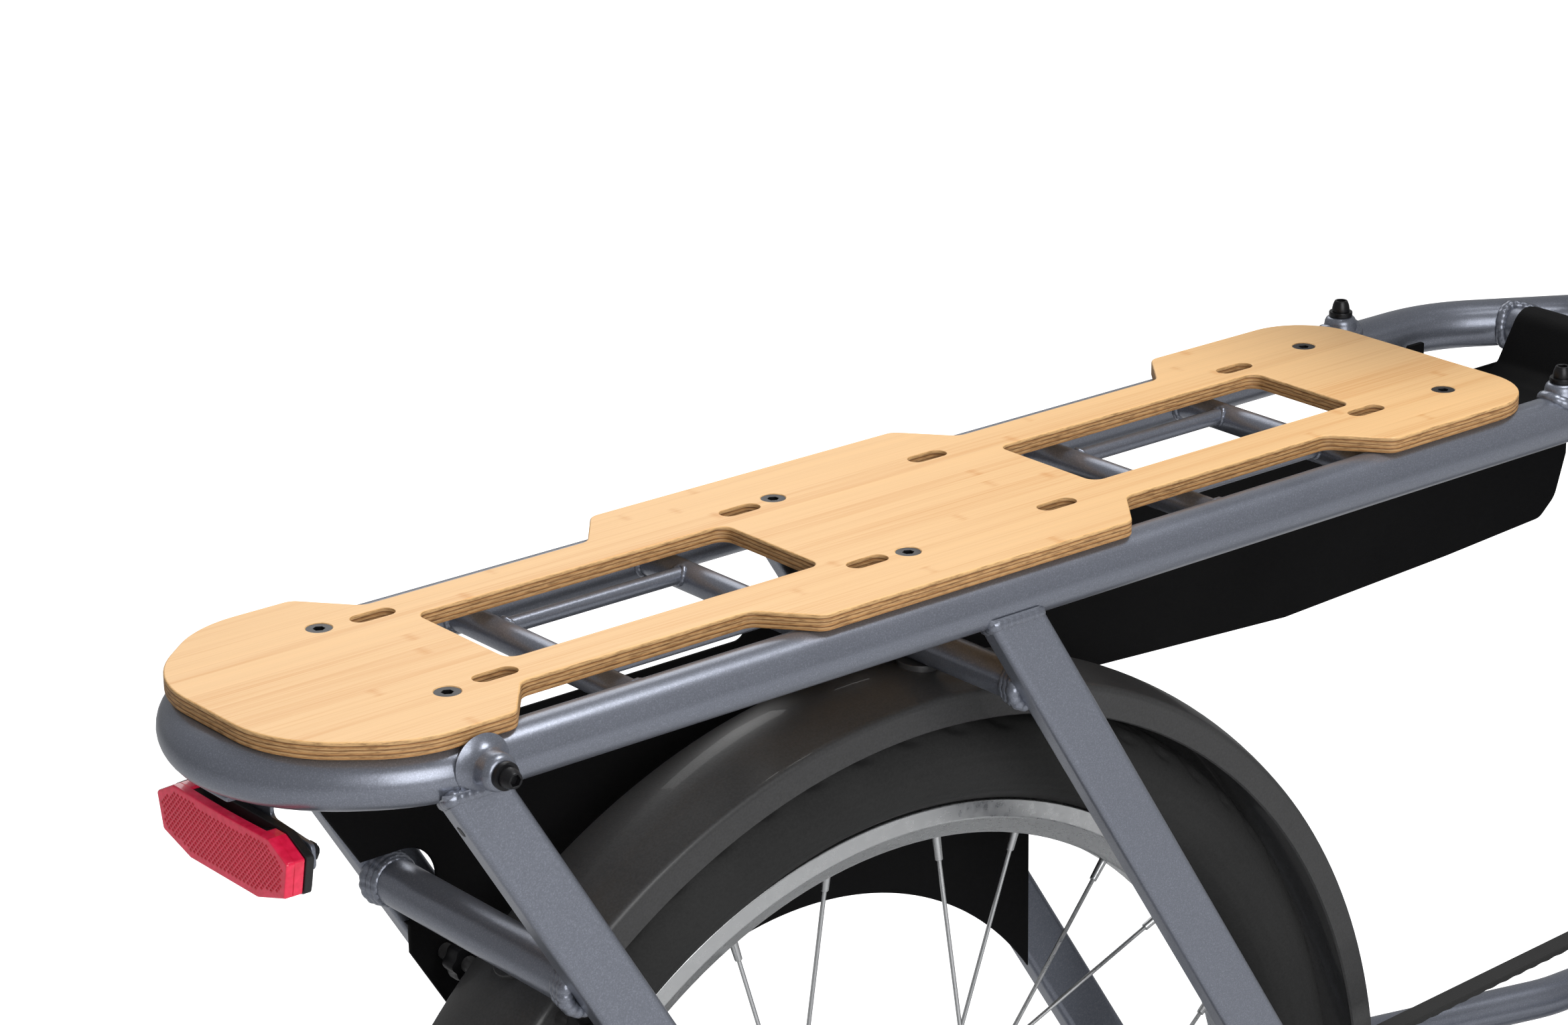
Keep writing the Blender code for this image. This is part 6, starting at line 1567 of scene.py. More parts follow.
def knob_shape(centre, side):
    """A hand screw whose rim swells in lobes: radius r (1 + 0.09 cos 6a)."""
    steps = 72
    a = np.arange(steps) * math.tau / steps
    low, high = (side * y for y in KNOB_Y)
    depth = np.array((0.0, 0.0008, 0.0026, 0.0072, 0.0086, 0.0090))
    size = np.array((0.55, 0.93, 1.0, 1.0, 0.94, 0.80))
    lobes = 1.0 + 0.09 * np.cos(6.0 * a)
    radius = KNOB_R * 0.92 * size[:, None] * lobes[None]
    y = low + math.copysign(1.0, high - low) * depth
    rows = about_axle(centre, radius, y[:, None], a)
    hub = pin(centre, high - side * 0.001, high + side * 0.0022, 0.0042)
    return join(grid(rows), hub)


def wheel_point(centre, radius, angle, y=0.0):
    """A point at a radius and an angle about an axle."""
    return np.array((centre[0] + radius * math.cos(angle), y, centre[1] + radius * math.sin(angle)))


def rear_fender_shape():
    """The rear fender with the posts to the two bridge tubes and its side stays."""
    centre = np.array(REAR_AXLE)
    shapes = [fender_shape(centre, REAR_FENDER_ARC)]
    for _, spot, radius in BRIDGES:
        offset = np.array(spot) - centre
        angle = math.atan2(offset[1], offset[0])
        top = np.linalg.norm(offset) - radius - 0.0002
        bottom = FENDER_R + FENDER_CROWN - FENDER_T
        start = wheel_point(centre, bottom, angle)
        shapes.append(rod(start, wheel_point(centre, top, angle), FENDER_POST_R, sides=24))
        shapes.append(rod(start, wheel_point(centre, bottom + 0.0045, angle), FENDER_POST_R * 1.7, sides=24))
    for side in SIDES.values():
        outer = SKIRT_Y - CLEAR if side > 0.0 else STRUT_IN_Y - CLEAR
        shapes.append(pin(KNOB, side * (FENDER_HALF - 0.001), side * outer, STAY_ROD_R, 20))
    return join(*shapes)


def skirt_outline():
    """Side view of the skirt: a notch for the rear bridge tube, a hollow over the hub, a stepped top."""
    spot = BRIDGES[0][1]
    radius = BRIDGES[0][2] + 0.0070
    rear = [(-0.006, -0.072), (0.005, -0.094), (spot[0] - 2.0 * BRIDGES[0][2], spot[1] + radius)]
    notch = arc(spot, radius, math.pi / 2.0, -math.pi / 2.0, 20)
    wing = [(spot[0] + 0.002, spot[1] - radius - SKIRT_T), (spot[0] + 0.002, spot[1] - 0.034)]
    low = arc(REAR_AXLE, SKIRT_HUB_R, math.radians(144.9), math.radians(35.0), 60)
    corner = smooth_path([low[-1], (0.4265, -0.146), (0.466, -0.146)], (0.0, 0.016, 0.0), 10)
    tip = (0.832, -0.113)
    front = [(0.610, -0.155), (0.736, -0.151), (0.812, -0.147), (0.824, -0.137), tip]
    front = smooth_path(front, (0.0, 0.2, 0.010, 0.014, 0.0), 8)
    top = [tip, (tip[0], SKIRT_TOP_FRONT), (0.258, SKIRT_TOP_FRONT), (0.242, SKIRT_TOP), (0.2, SKIRT_TOP)]
    top = smooth_path(top, (0.0, 0.006, 0.008, 0.008, 0.0), 8)
    return np.concatenate([rear, notch, wing, low[:-1], corner, front, top[1:]])


def skirt_shape():
    """A moulded sheet with a hole for the middle bridge tube, pegs to what holds it, and a hanger."""
    outer = SKIRT_Y + SKIRT_T
    spot = BRIDGES[1][1]
    hole = full_circle(spot, BRIDGES[1][2] + 0.0018, 40)
    shapes = [side_plate([skirt_outline(), hole], SKIRT_Y, outer, 0.0010)]
    marks = ((STRUTS[0], -0.097), (STRUTS[0], -0.280), (STRUTS[1], -0.120))
    pegs = [(point[0] + (point[1] - z) * math.tan(lean), z) for (_, point, lean, _), z in marks]
    for peg in [*pegs, KNOB]:
        shapes.append(pin(peg, SKIRT_Y + 0.001, STRUT_IN_Y - CLEAR, 0.005, 24))
        shapes.append(pin(peg, SKIRT_Y + 0.001, outer + 0.0012, 0.0085, 32))
    hanger_x = 0.700
    hanger_y = RAIL_Y - RAIL_R - 0.0063
    strip = rounded_rect(0.012, 0.0026, 0.0006, 3)
    shapes.append(bar((hanger_x, hanger_y, -0.060), (hanger_x, hanger_y, RAIL_Z), strip))
    shapes.append(pin((hanger_x, -0.055), SKIRT_Y + 0.001, outer + 0.001, 0.0045, 24))
    return join(*shapes)


def skirt_rib_shape():
    """Three thin ribs on the front part of the skirt's outer face, two slanting and one upright."""
    outer = SKIRT_Y + SKIRT_T
    lines = (
        ((0.757, -0.109), (0.7365, -0.1505)),
        ((0.757, -0.109), (0.757, -0.049)),
        ((0.742, -0.109), (0.727, -0.144)),
    )
    shapes = []
    for start, end in lines:
        ring = rounded_rect(0.0022, 0.0012, 0.0005, 3)
        shapes.append(bar((start[0], outer, start[1]), (end[0], outer, end[1]), ring, edge=0.0003))
    return join(*shapes)


def guard_shape():
    """A sheet over the front tube: a line in X and Z carried across, its half width falling towards the nose.

    half = GUARD_HALF + share (GUARD_NOSE_HALF - GUARD_HALF), where share rises from 0 at the tube to 1 at
    the nose.
    """
    centre = (FRONT_TUBE_X, RAIL_Z)
    radius = FRONT_TUBE_R + CLEAR + GUARD_T
    over = arc(centre, radius, math.radians(150.0), math.radians(35.0), 24)
    corners = [(0.700, -0.041), (0.732, -0.040), (0.742, -0.034), *over, (0.781, -0.018), (0.792, -0.021)]
    radii = [0.0, 0.012, 0.006] + [0.0] * len(over) + [0.006, 0.0]
    line = even_path(smooth_path(corners, radii, 6), 0.0015)
    way = unit(np.gradient(line, axis=0))
    under = line + np.column_stack([way[:, 1], -way[:, 0]]) * GUARD_T
    share = np.clip((line[:, 0] - FRONT_TUBE_X + 0.002) / (0.792 - FRONT_TUBE_X + 0.002), 0.0, 1.0)
    half = GUARD_HALF + (GUARD_NOSE_HALF - GUARD_HALF) * share
    across = np.linspace(-1.0, 1.0, 25)
    ease = 0.0004
    faces = []
    for face, spread_over in ((line, across), (under, across[::-1])):
        y = spread_over * (half[:, None] - ease)
        faces.append(np.stack([face[:, :1] + 0.0 * y, y, face[:, 1:] + 0.0 * y], axis=-1))
    top, low = faces
    mid = (line + under) / 2.0
    left = np.column_stack([mid[:, 0], half, mid[:, 1]])[:, None]
    right = np.column_stack([mid[:, 0], -half, mid[:, 1]])[:, None]
    return grid(np.concatenate([top, left, low, right], axis=1))


# Wheels

def tyre_shape(centre):
    """A half-round tread with straight sides, as radius and width, turned about the axle.

    The tread's depth at angle a and width u is cut by slanting grooves where the fraction of
    blocks a / tau + slope |u| is near a half, and by two lines round the tyre; the sides have three fine
    steps.
    """
    middle = TYRE_R - TYRE_HALF
    t = np.radians(np.linspace(-128.0, 128.0, 65))
    rings = 640
    a = np.arange(rings)[:, None] * math.tau / rings
    across = np.abs(t[None]) * TYRE_HALF
    blocks = 64.0
    slope = 34.0
    slant = (blocks * a / math.tau + slope * across) % 1.0
    groove = np.clip((0.20 - np.abs(slant - 0.5)) / 0.08, 0.0, 1.0)
    band = np.clip((across - 0.0035) / 0.0012, 0.0, 1.0) * np.clip((0.0215 - across) / 0.0015, 0.0, 1.0)
    lines = np.clip(1.0 - np.abs(across - 0.0100) / 0.0011, 0.0, 1.0)
    depth = sizes().tread * np.maximum(groove * band, lines * 0.8)
    side = np.abs(t) - 1.35
    steps = 0.0004 * np.clip(np.sin(side * 34.0), 0.0, 1.0) * (side > 0.0)
    size = TYRE_HALF - depth - steps[None]
    radius = middle + size * np.cos(t)[None]
    width = size * np.sin(t)[None]
    seat = 0.011
    foot = np.full((rings, 1), TYRE_INNER_R)
    radius = np.concatenate([foot, radius, foot], axis=1)
    width = np.concatenate([np.full((rings, 1), -seat), width, np.full((rings, 1), seat)], axis=1)
    return grid(about_axle(centre, radius, width, a), closed=True)


def rim_shape(centre):
    """A double-walled rim: eased hooks at the tyre, flat flanks and a rounded inner side."""
    outer = TYRE_INNER_R - CLEAR
    inner = outer - RIM_DEPTH
    corners = [
        (outer, RIM_HALF), (outer, RIM_HALF - 0.0022), (outer - 0.0016, RIM_HALF - 0.0040),
        (outer - 0.0016, -RIM_HALF + 0.0040), (outer, -RIM_HALF + 0.0022), (outer, -RIM_HALF),
        (outer - 0.009, -RIM_HALF), (inner, -0.0065), (inner, 0.0065), (outer - 0.009, RIM_HALF),
    ]
    radii = (0.0008, 0.0008, 0.001, 0.001, 0.0008, 0.0008, 0.0030, 0.0034, 0.0034, 0.0030)
    section = smooth_path(corners, radii, 4, closed=True)
    rings = 180
    a = np.arange(rings)[:, None] * math.tau / rings
    points = about_axle(centre, section[None, :, 0], section[None, :, 1], a)
    return grid(points, closed=True)


def spoke_shapes(centre, flange_r, flange_y):
    """Crossing round spokes with a nipple at the rim and a bent head at the flange."""
    rim_r = TYRE_INNER_R - RIM_DEPTH + 0.001
    hole_r = flange_r - 0.003
    step = 0.0016
    nipple = 0.013
    lean = math.radians(62.0)
    size = sizes().spoke
    shapes = []
    for i in range(SPOKE_COUNT):
        side = 1.0 if i % 2 == 0 else -1.0
        pull = 1.0 if (i // 2) % 2 == 0 else -1.0
        rim_angle = math.tau * (i + 0.5) / SPOKE_COUNT
        hub_angle = rim_angle - pull * lean
        start = wheel_point(centre, hole_r, hub_angle, side * (flange_y + pull * step))
        end = wheel_point(centre, rim_r, rim_angle, side * (0.003 + pull * step))
        way = unit(end - start)
        shapes.append(rod(start, end, size, sides=8, edge=0.0002))
        shapes.append(rod(end - way * nipple, end, 0.0019, 0.0022, sides=10, edge=0.0004))
        head = wheel_point(centre, hole_r, hub_angle, side * (flange_y + pull * 0.0042))
        shapes.append(rod(head, start, 0.0017, size, sides=8, edge=0.0004))
    return shapes


def hub_shape(centre, flange_r, flange_y, hub_r, half, driver):
    """Axle, shell and flanges turned about the axle, end nuts, and two raised rings on a wide shell."""
    t = 0.0038
    wide = hub_r > 0.03
    neck = hub_r if wide else hub_r * 0.94
    side = [
        (AXLE_R * 0.55, half + 0.0160), (AXLE_R, half + 0.0150), (AXLE_R, half), (0.0105, half),
        (0.011, half - 0.0006), (0.011, flange_y + t + 0.006), (0.015, flange_y + t + 0.001),
        (flange_r - 0.010, flange_y + t), (flange_r - 0.0012, flange_y + t * 0.45), (flange_r, flange_y),
        (flange_r - 0.0012, flange_y - t * 0.45), (flange_r - 0.008, flange_y - t),
        (hub_r, flange_y - t - 0.003), (neck, flange_y - t - 0.008),
    ]
    other = [(r, -y) for r, y in side[::-1]]
    if driver:
        keep = [p for p in other if p[1] > -flange_y - t - 0.0005]
        end = [
            (DRIVER_R, -flange_y - t), (DRIVER_R, -driver + 0.0006), (DRIVER_R - 0.0006, -driver),
            (0.011, -driver),
        ]
        other = keep + end + [p for p in other if p[1] <= -half + 0.0004]
    spot = (centre[0], 0.0, centre[1])
    shapes = [lathe(side + other, spot, LEFT, 72)]
    for way in (1.0, -1.0):
        place_y = [way * (half + d) for d in (0.0085, 0.0092, 0.0142, 0.0149)]
        path = [(centre[0], y, centre[1]) for y in place_y]
        shapes.append(sweep(path, circle(0.0098, 6), AHEAD, (0.92, 1.0, 1.0, 0.92)))
    if wide:
        for share in (-0.4, 0.4):
            y = share * (2.0 * (flange_y - t - 0.008))
            curve = ring_curve((centre[0], y, centre[1]), LEFT, hub_r)
            shapes.append(tube(curve, 0.0012, 8, LEFT, closed=True))
    return join(*shapes)


def rotor_shape(centre, y):
    """A brake disc: a rim waved as r (0.988 + 0.012 cos 12a), two rings of holes and six windows."""
    steps = 240
    a = np.arange(steps) * math.tau / steps
    radius = ROTOR_R * (0.988 + 0.012 * np.cos(12.0 * a))
    loops = [np.column_stack([centre[0] + radius * np.cos(a), centre[1] + radius * np.sin(a)])]
    holes = 36
    arms = 6
    for i in range(holes):
        angle = math.tau * (i + 0.5) / holes
        reach = 0.0700 if i % 2 else 0.0745
        spot = (centre[0] + reach * math.cos(angle), centre[1] + reach * math.sin(angle))
        loops.append(full_circle(spot, 0.0021, 10))
    for i in range(arms):
        mid = math.tau * i / arms
        outer = arc(centre, 0.0640, mid + 0.14, mid + 0.86, 12)
        inner = arc(centre, 0.0290, mid + 1.02, mid + 0.42, 6)
        loops.append(np.concatenate([outer, inner]))
    t = ROTOR_T / 2.0
    shapes = [side_plate(loops, y - t, y + t, 0.0002)]
    shapes.append(pin(centre, y - t - 0.0022, y + t + 0.0018, 0.0200, 48))
    for i in range(arms):
        spot = wheel_point(centre, 0.0235, math.tau * (i + 0.5) / arms, y)
        shapes.append(rod(spot, spot + (0.0, t + 0.0022, 0.0), 0.0032, sides=16))
    return join(*shapes)


# Drive

def toothed_loop(centre, radius, teeth):
    """A pulley's rim: radius less tooth height times a rounded groove, raised where cos(teeth a) is high."""
    steps = 10 * teeth
    a = np.arange(steps) * math.tau / steps
    wave = 0.5 - 0.5 * np.cos(teeth * a)
    groove = wave ** 2 * (3.0 - 2.0 * wave)
    size = radius - 0.0002 - TOOTH_H * groove
    return np.column_stack([centre[0] + size * np.cos(a), centre[1] + size * np.sin(a)])


def ring_shape():
    """The front belt ring with five windows between its arms, its bolts and the carrier."""
    loops = [toothed_loop(BB, RING_R, RING_TEETH)]
    arms = 5
    wide = math.radians(23.0)
    for i in range(arms):
        mid = math.tau * (i + 0.5) / arms
        far = arc(BB, 0.070, mid - wide, mid + wide, 14)
        near = arc(BB, 0.036, mid + wide * 0.7, mid - wide * 0.7, 8)
        loops.append(np.concatenate([far, near]))
    half = RING_T / 2.0
    shapes = [side_plate(loops, BELT_Y - half, BELT_Y + half, 0.0006)]
    for i in range(arms):
        spot = wheel_point(BB, 0.053, math.tau * i / arms, BELT_Y)
        shapes.append(rod(
            spot + (0.0, half - 0.001, 0.0), spot + (0.0, -half - 0.0022, 0.0), 0.0058, sides=28
        ))
        shapes.append(rod(spot + (0.0, half + 0.0012, 0.0), spot, 0.0048, sides=28))
    start = np.array((BB[0], BELT_Y + 0.001, BB[1]))
    end = np.array((BB[0], -CRANK_IN_Y - 0.002, BB[1]))
    shapes.append(rod(start, end, 0.030, 0.022, sides=64, edge=0.0015))
    return join(*shapes)


def crank_shape(side, out):
    """A tapered arm with rounded edges, a raised strip along its outer face, and the pedal's spindle."""
    end = (BB[0] + out * CRANK_LENGTH, BB[1])
    outer = side * (CRANK_IN_Y + CRANK_T)
    shapes = [side_plate([hull_outline(BB, 0.018, end, 0.013, steps=28)], side * CRANK_IN_Y, outer, 0.0032)]
    near = (BB[0] + out * 0.030, BB[1])
    far = (BB[0] + out * 0.140, BB[1])
    ridge = hull_outline(near, 0.0075, far, 0.0055, steps=16)
    shapes.append(side_plate([ridge], outer - 0.0010, outer + 0.0010, 0.0008))
    middle = CRANK_IN_Y + CRANK_T / 2.0
    shapes.append(pin(end, side * middle, side * (PEDAL_Y[1] - 0.012), PEDAL_SPINDLE_R))
    shapes.append(pin(BB, outer - side * 0.001, outer + side * 0.0016, 0.0105, 40))
    return shapes


def pedal_shape(side, out):
    """A platform with two windows, a core tube, and rows of small pins on both faces."""
    end = (BB[0] + out * CRANK_LENGTH, BB[1])
    low, high = sorted((side * PEDAL_Y[0], side * PEDAL_Y[1]))
    half = PEDAL_LENGTH / 2.0
    corners = [(end[0] - half, low), (end[0] + half, low), (end[0] + half, high), (end[0] - half, high)]
    loops = [smooth_path(corners, 0.014, 8, closed=True)]
    rim = 0.012
    for way in (-1.0, 1.0):
        a, b = sorted((end[0] + way * 0.016, end[0] + way * (half - 0.010)))
        window = [(a, low + rim), (b, low + rim), (b, high - rim), (a, high - rim)]
        loops.append(smooth_path(window, 0.006, 6, closed=True))
    deep = PEDAL_T / 2.0 - 0.0012
    shapes = [plate(loops, end[1] - deep, end[1] + deep, 0.0020)]
    shapes.append(pin(end, side * PEDAL_Y[0], side * PEDAL_Y[1], 0.0120, 32))
    for x in (-half + 0.005, half - 0.005):
        for y in np.linspace(low + 0.016, high - 0.016, 4):
            spot = np.array((end[0] + x, y, end[1]))
            up = (0.0, 0.0, deep + 0.0012)
            shapes.append(rod(spot - up, spot + up, 0.0016, sides=8))
    return join(*shapes)


def belt_shape():
    """The belt's loop round both pulleys: a section of eight points, its inner side waving once a pitch."""
    grow = BELT_GAP + 0.0006
    base = even_path(hull_outline(REAR_AXLE, SPROCKET_R, BB, RING_R, grow, steps=160), 0.0011, closed=True)
    away = -inward(base)
    count = len(base)
    phase = np.arange(count) * math.tau * round(count / 10.0) / count
    tooth = -0.0005 * (0.5 + 0.5 * np.cos(phase))
    half = BELT_W / 2.0
    thick = BELT_T - 0.0006
    flat = np.zeros(count)
    round_r = 0.0004
    near = flat + round_r
    far = flat + thick - round_r
    offsets = (tooth, tooth, near, far, flat + thick, flat + thick, far, near)
    inset = half - round_r
    wide = (-inset, inset, half, half, inset, -inset, -half, -half)
    rows = []
    for offset, y in zip(offsets, wide):
        spot = base + away * offset[:, None]
        rows.append(np.column_stack([spot[:, 0], flat + BELT_Y + y, spot[:, 1]]))
    return grid(np.stack(rows, axis=1), closed=True)


def inward(loop):
    """Unit vectors square to a closed loop, pointing into it."""
    along = unit(np.roll(loop, -1, axis=0) - np.roll(loop, 1, axis=0))
    left = np.column_stack([-along[:, 1], along[:, 0]])
    return left if signed_area(loop) > 0.0 else -left


# Main frame, motor and battery

def mitred(path, radii, first, last):
    """A round tube, its end rings on the walls of the tubes that it meets: point, way and radius of each."""
    path = np.asarray(path, float)
    side, over = frames(path, LEFT)
    ring = circle(1.0, 48)
    reach = side[:, None] * ring[None, :, :1] + over[:, None] * ring[None, :, 1:]
    rows = path[:, None] + reach * np.reshape(radii, (-1, 1, 1))
    rows[0] = line_to_tube(rows[1], unit(path[0] - path[1]), *first)
    rows[-1] = line_to_tube(rows[-2], unit(path[-1] - path[-2]), *last)
    return grid(rows)


def spaced(start, end, shares):
    """Points between two ends at the shares named."""
    start = np.asarray(start, float)
    return start + np.asarray(shares, float)[:, None] * (np.asarray(end, float) - start)


def above(loop, spot, across):
    """The part of a loop on the across side of a line, in order from one crossing to the other."""
    keep = (loop - spot) @ across > 0.0
    first = int(np.flatnonzero(keep & ~np.roll(keep, 1))[0])
    return np.roll(loop, -first, axis=0)[: int(keep.sum())]


def down_point(s, rise, y=0.0):
    """A point s up the down tube from the motor's front end, rise above its centre line."""
    start = np.array((MOTOR_FRONT[0], 0.0, MOTOR_FRONT[1]))
    along = unit(steer_point(DOWN_TUBE_HEAD_S) - start)
    square = np.array((-along[2], 0.0, along[0]))
    return start + along * s + square * rise + (0.0, y, 0.0)


def motor_outline(grow, steps=40):
    """Side view of the motor's case, grown outwards."""
    return hull_outline(BB, MOTOR_REAR_R, MOTOR_FRONT, MOTOR_FRONT_R, grow, steps)


def bracket_plate():
    """A band round the upper side of the motor, between the motor's outline and one grown by the wall."""
    slope = np.array((0.886, 0.463))
    across = np.array((-slope[1], slope[0]))
    edge = np.array(BB) - across * BRACKET_DROP
    outer = above(motor_outline(BRACKET_WALL, 60), edge, across)
    inner = above(motor_outline(CLEAR, 60), edge, across)
    return side_plate([np.concatenate([outer, inner[::-1]])], -BRACKET_HALF, BRACKET_HALF, 0.0035)


def seat_tube_shape():
    """The seat tube, turned about its own line and bored for the post."""
    foot = seat_point(BB[1])
    low = 0.066
    top = np.linalg.norm(seat_point(SEAT_TUBE_TOP) - foot)
    floor = np.linalg.norm(seat_point(-0.135) - foot)
    bore = POST_R + CLEAR
    profile = [
        (0.0, low), (SEAT_TUBE_R, low), (SEAT_TUBE_R, top - 0.0006), (SEAT_TUBE_R - 0.0004, top),
        (bore + 0.0003, top), (bore, top - 0.0005), (bore, floor), (0.0, floor),
    ]
    return lathe(profile, foot, seat_way(), 56)


def head_tube_shape():
    """The bored head tube with a thicker band at each end."""
    low, high = HEAD_TUBE_S
    bore = STEERER_R + CLEAR
    wide = HEAD_TUBE_R + 0.0012
    profile = [
        (bore, low), (wide - 0.0008, low), (wide, low + 0.0008), (wide, low + 0.010),
        (HEAD_TUBE_R, low + 0.0115), (HEAD_TUBE_R, high - 0.0115), (wide, high - 0.010),
        (wide, high - 0.0008), (wide - 0.0008, high), (bore, high),
    ]
    return lathe(profile, steer_point(0.0), steer_way(), 60, ring=True)


def top_tube_shapes():
    """The mitred tube from the seat tube to the head tube, with a bead on each joint."""
    foot = seat_point(BB[1])
    start = seat_point(TOP_TUBE_SEAT_Z)
    end = steer_point(TOP_TUBE_HEAD_S)
    way = unit(end - start)
    path = spaced(start, end, (0.0, 0.10, 0.5, 0.90, 1.0))
    seat = (foot, seat_way(), SEAT_TUBE_R - 0.001)
    head = (end, steer_way(), HEAD_TUBE_R - 0.0012)
    return [
        mitred(path, TOP_TUBE_R, seat, head),
        weld(tube_seam(path[1], -way, TOP_TUBE_R, foot, seat_way(), SEAT_TUBE_R)),
        weld(tube_seam(path[3], way, TOP_TUBE_R, end, steer_way(), HEAD_TUBE_R)),
    ]


def down_tube_shapes():
    """The mitred tube from the bracket to the head tube, its radius falling by 0.5 - 0.5 cos near its top."""
    start = down_point(0.0, 0.0)
    end = steer_point(DOWN_TUBE_HEAD_S)
    way = unit(end - start)
    wrap = MOTOR_FRONT_R + BRACKET_WALL
    path = spaced(start, end, (0.0, 0.22, 0.5, 0.80, 0.84, 0.88, 0.92, 1.0))
    fall = 0.5 - 0.5 * np.cos(np.pi * np.array((0, 0, 0, 0, 0.35, 0.75, 1, 1)))
    radii = DOWN_TUBE_R - 0.0085 * fall
    return [
        mitred(path, radii, (start, LEFT, wrap - 0.004), (end, steer_way(), HEAD_TUBE_R - 0.001)),
        weld(tube_seam(path[1], -way, DOWN_TUBE_R, start, LEFT, wrap)),
        weld(tube_seam(path[-2], way, radii[-1], end, steer_way(), HEAD_TUBE_R)),
    ]


def frame_lug_shapes():
    """The battery's rail plate, the arm from the bracket to the stand, and the bored lug at its end."""
    low, high = BATTERY_SPAN
    rail = rounded_rect(2.0 * RAIL_PLATE_T, 0.040, 0.002)
    rear = BB[0] - MOTOR_REAR_R - BRACKET_WALL / 2.0 + 0.010
    end = (STAND_PIVOT[0], 0.0, STAND_PIVOT[1])
    profile = sleeve(STAND_PIN_R + CLEAR, STAND_PIN_R + 0.006, -BRACKET_HALF, BRACKET_HALF, 0.001)
    return [
        bar(down_point(low, DOWN_TUBE_R), down_point(high, DOWN_TUBE_R), rail, edge=0.0015),
        bar((rear, 0.0, BB[1] - 0.038), end, rounded_rect(0.020, 0.030, 0.004), edge=0.001),
        lathe(profile, end, LEFT, 40, ring=True),
    ]


def main_frame_shape():
    """Mitred tubes, bored seat and head tubes, the bracket, the stand's lug and a bead on each joint."""
    wrap = MOTOR_REAR_R + BRACKET_WALL
    seam = tube_seam(seat_point(-0.2), -seat_way(), SEAT_TUBE_R, seat_point(BB[1]), LEFT, wrap)
    return join(
        seat_tube_shape(), head_tube_shape(), *top_tube_shapes(), *down_tube_shapes(), bracket_plate(),
        weld(seam), *frame_lug_shapes(),
    )


def motor_shape():
    """The motor's case with a raised cover and screws on both sides, bored through for the spindle."""
    bore = SPINDLE_R + CLEAR
    hole = full_circle(BB, bore, 48)
    outline = motor_outline(0.0, 60)
    shapes = [side_plate([outline, hole], -MOTOR_HALF + 0.003, MOTOR_HALF - 0.003, 0.004)]
    cover = motor_outline(-0.012, 50)
    inner = hull_outline(BB, 0.030, MOTOR_FRONT, 0.040, 0.0, 40)
    for side in SIDES.values():
        shapes.append(side_plate([cover, hole], side * (MOTOR_HALF - 0.0045), side * MOTOR_HALF, 0.0018))
        shapes.append(side_plate(
            [inner, hole], side * (MOTOR_HALF - 0.001), side * (MOTOR_HALF + 0.0012), 0.001
        ))
        collar = [(bore, 0.0), (0.020, 0.0), (0.020, 0.0041), (0.0194, 0.0047), (bore, 0.0047)]
        shapes.append(lathe(collar, (BB[0], side * (MOTOR_HALF - 0.0012), BB[1]), side * LEFT, 48, ring=True))
        for spot in even_path(motor_outline(-0.018), 0.068, closed=True):
            start = np.array((spot[0], side * (MOTOR_HALF - 0.002), spot[1]))
            shapes.append(rod(start, start + (0.0, side * 0.0036, 0.0), 0.0034, sides=20))
    return join(*shapes)


def battery_shapes():
    """A rounded case with a seam below each end cap, ribs on its sides, and a key lock and a port cover."""
    low, high = BATTERY_SPAN
    rise = DOWN_TUBE_R + RAIL_PLATE_T + CLEAR + BATTERY_HEIGHT / 2.0
    ring = rounded_rect(BATTERY_HEIGHT, 2.0 * BATTERY_HALF, 0.014, 8)
    marks = [(0.0, 0.0030), (0.0007, 0.0012), (0.0022, 0.0), (0.0300, 0.0)]
    marks += [(0.0304, 0.0007), (0.0316, 0.0007), (0.0320, 0.0)]
    length = high - low
    stations = marks + [(length - s, inset) for s, inset in marks[::-1]]
    path = np.stack([down_point(low + s, rise) for s, _ in stations])
    scale = [1.0 - inset / (BATTERY_HEIGHT / 2.0) for _, inset in stations]
    case = [sweep(path, ring, LEFT, scale)]
    from_end = 0.045
    for side in SIDES.values():
        for k in range(-2, 3):
            height = rise + 0.008 * k
            start = down_point(low + from_end, height, side * (BATTERY_HALF - 0.0004))
            end = down_point(high - from_end, height, side * (BATTERY_HALF - 0.0004))
            case.append(bar(start, end, rounded_rect(0.0034, 0.0022, 0.0010, 3), edge=0.0008))
    top = rise + BATTERY_HEIGHT / 2.0
    square = unit(down_point(0.0, 1.0) - down_point(0.0, 0.0))
    port = down_point(low + from_end, top - 0.0008)
    case.append(rod(port, port + square * 0.0022, 0.0105, sides=40))
    lock = down_point(high - 0.016, rise, BATTERY_HALF - 0.001)
    metal = [rod(lock, lock + (0.0, 0.0032, 0.0), 0.0075, sides=36)]
    lights = down_point(high - 0.050, top - 0.0006)
    along = unit(down_point(1.0, 0.0) - down_point(0.0, 0.0))
    glass = bar(
        lights - along * 0.012, lights + along * 0.012, rounded_rect(0.0030, 0.0100, 0.0012, 3), edge=0.0008
    )
    return join(*case), join(*metal), glass


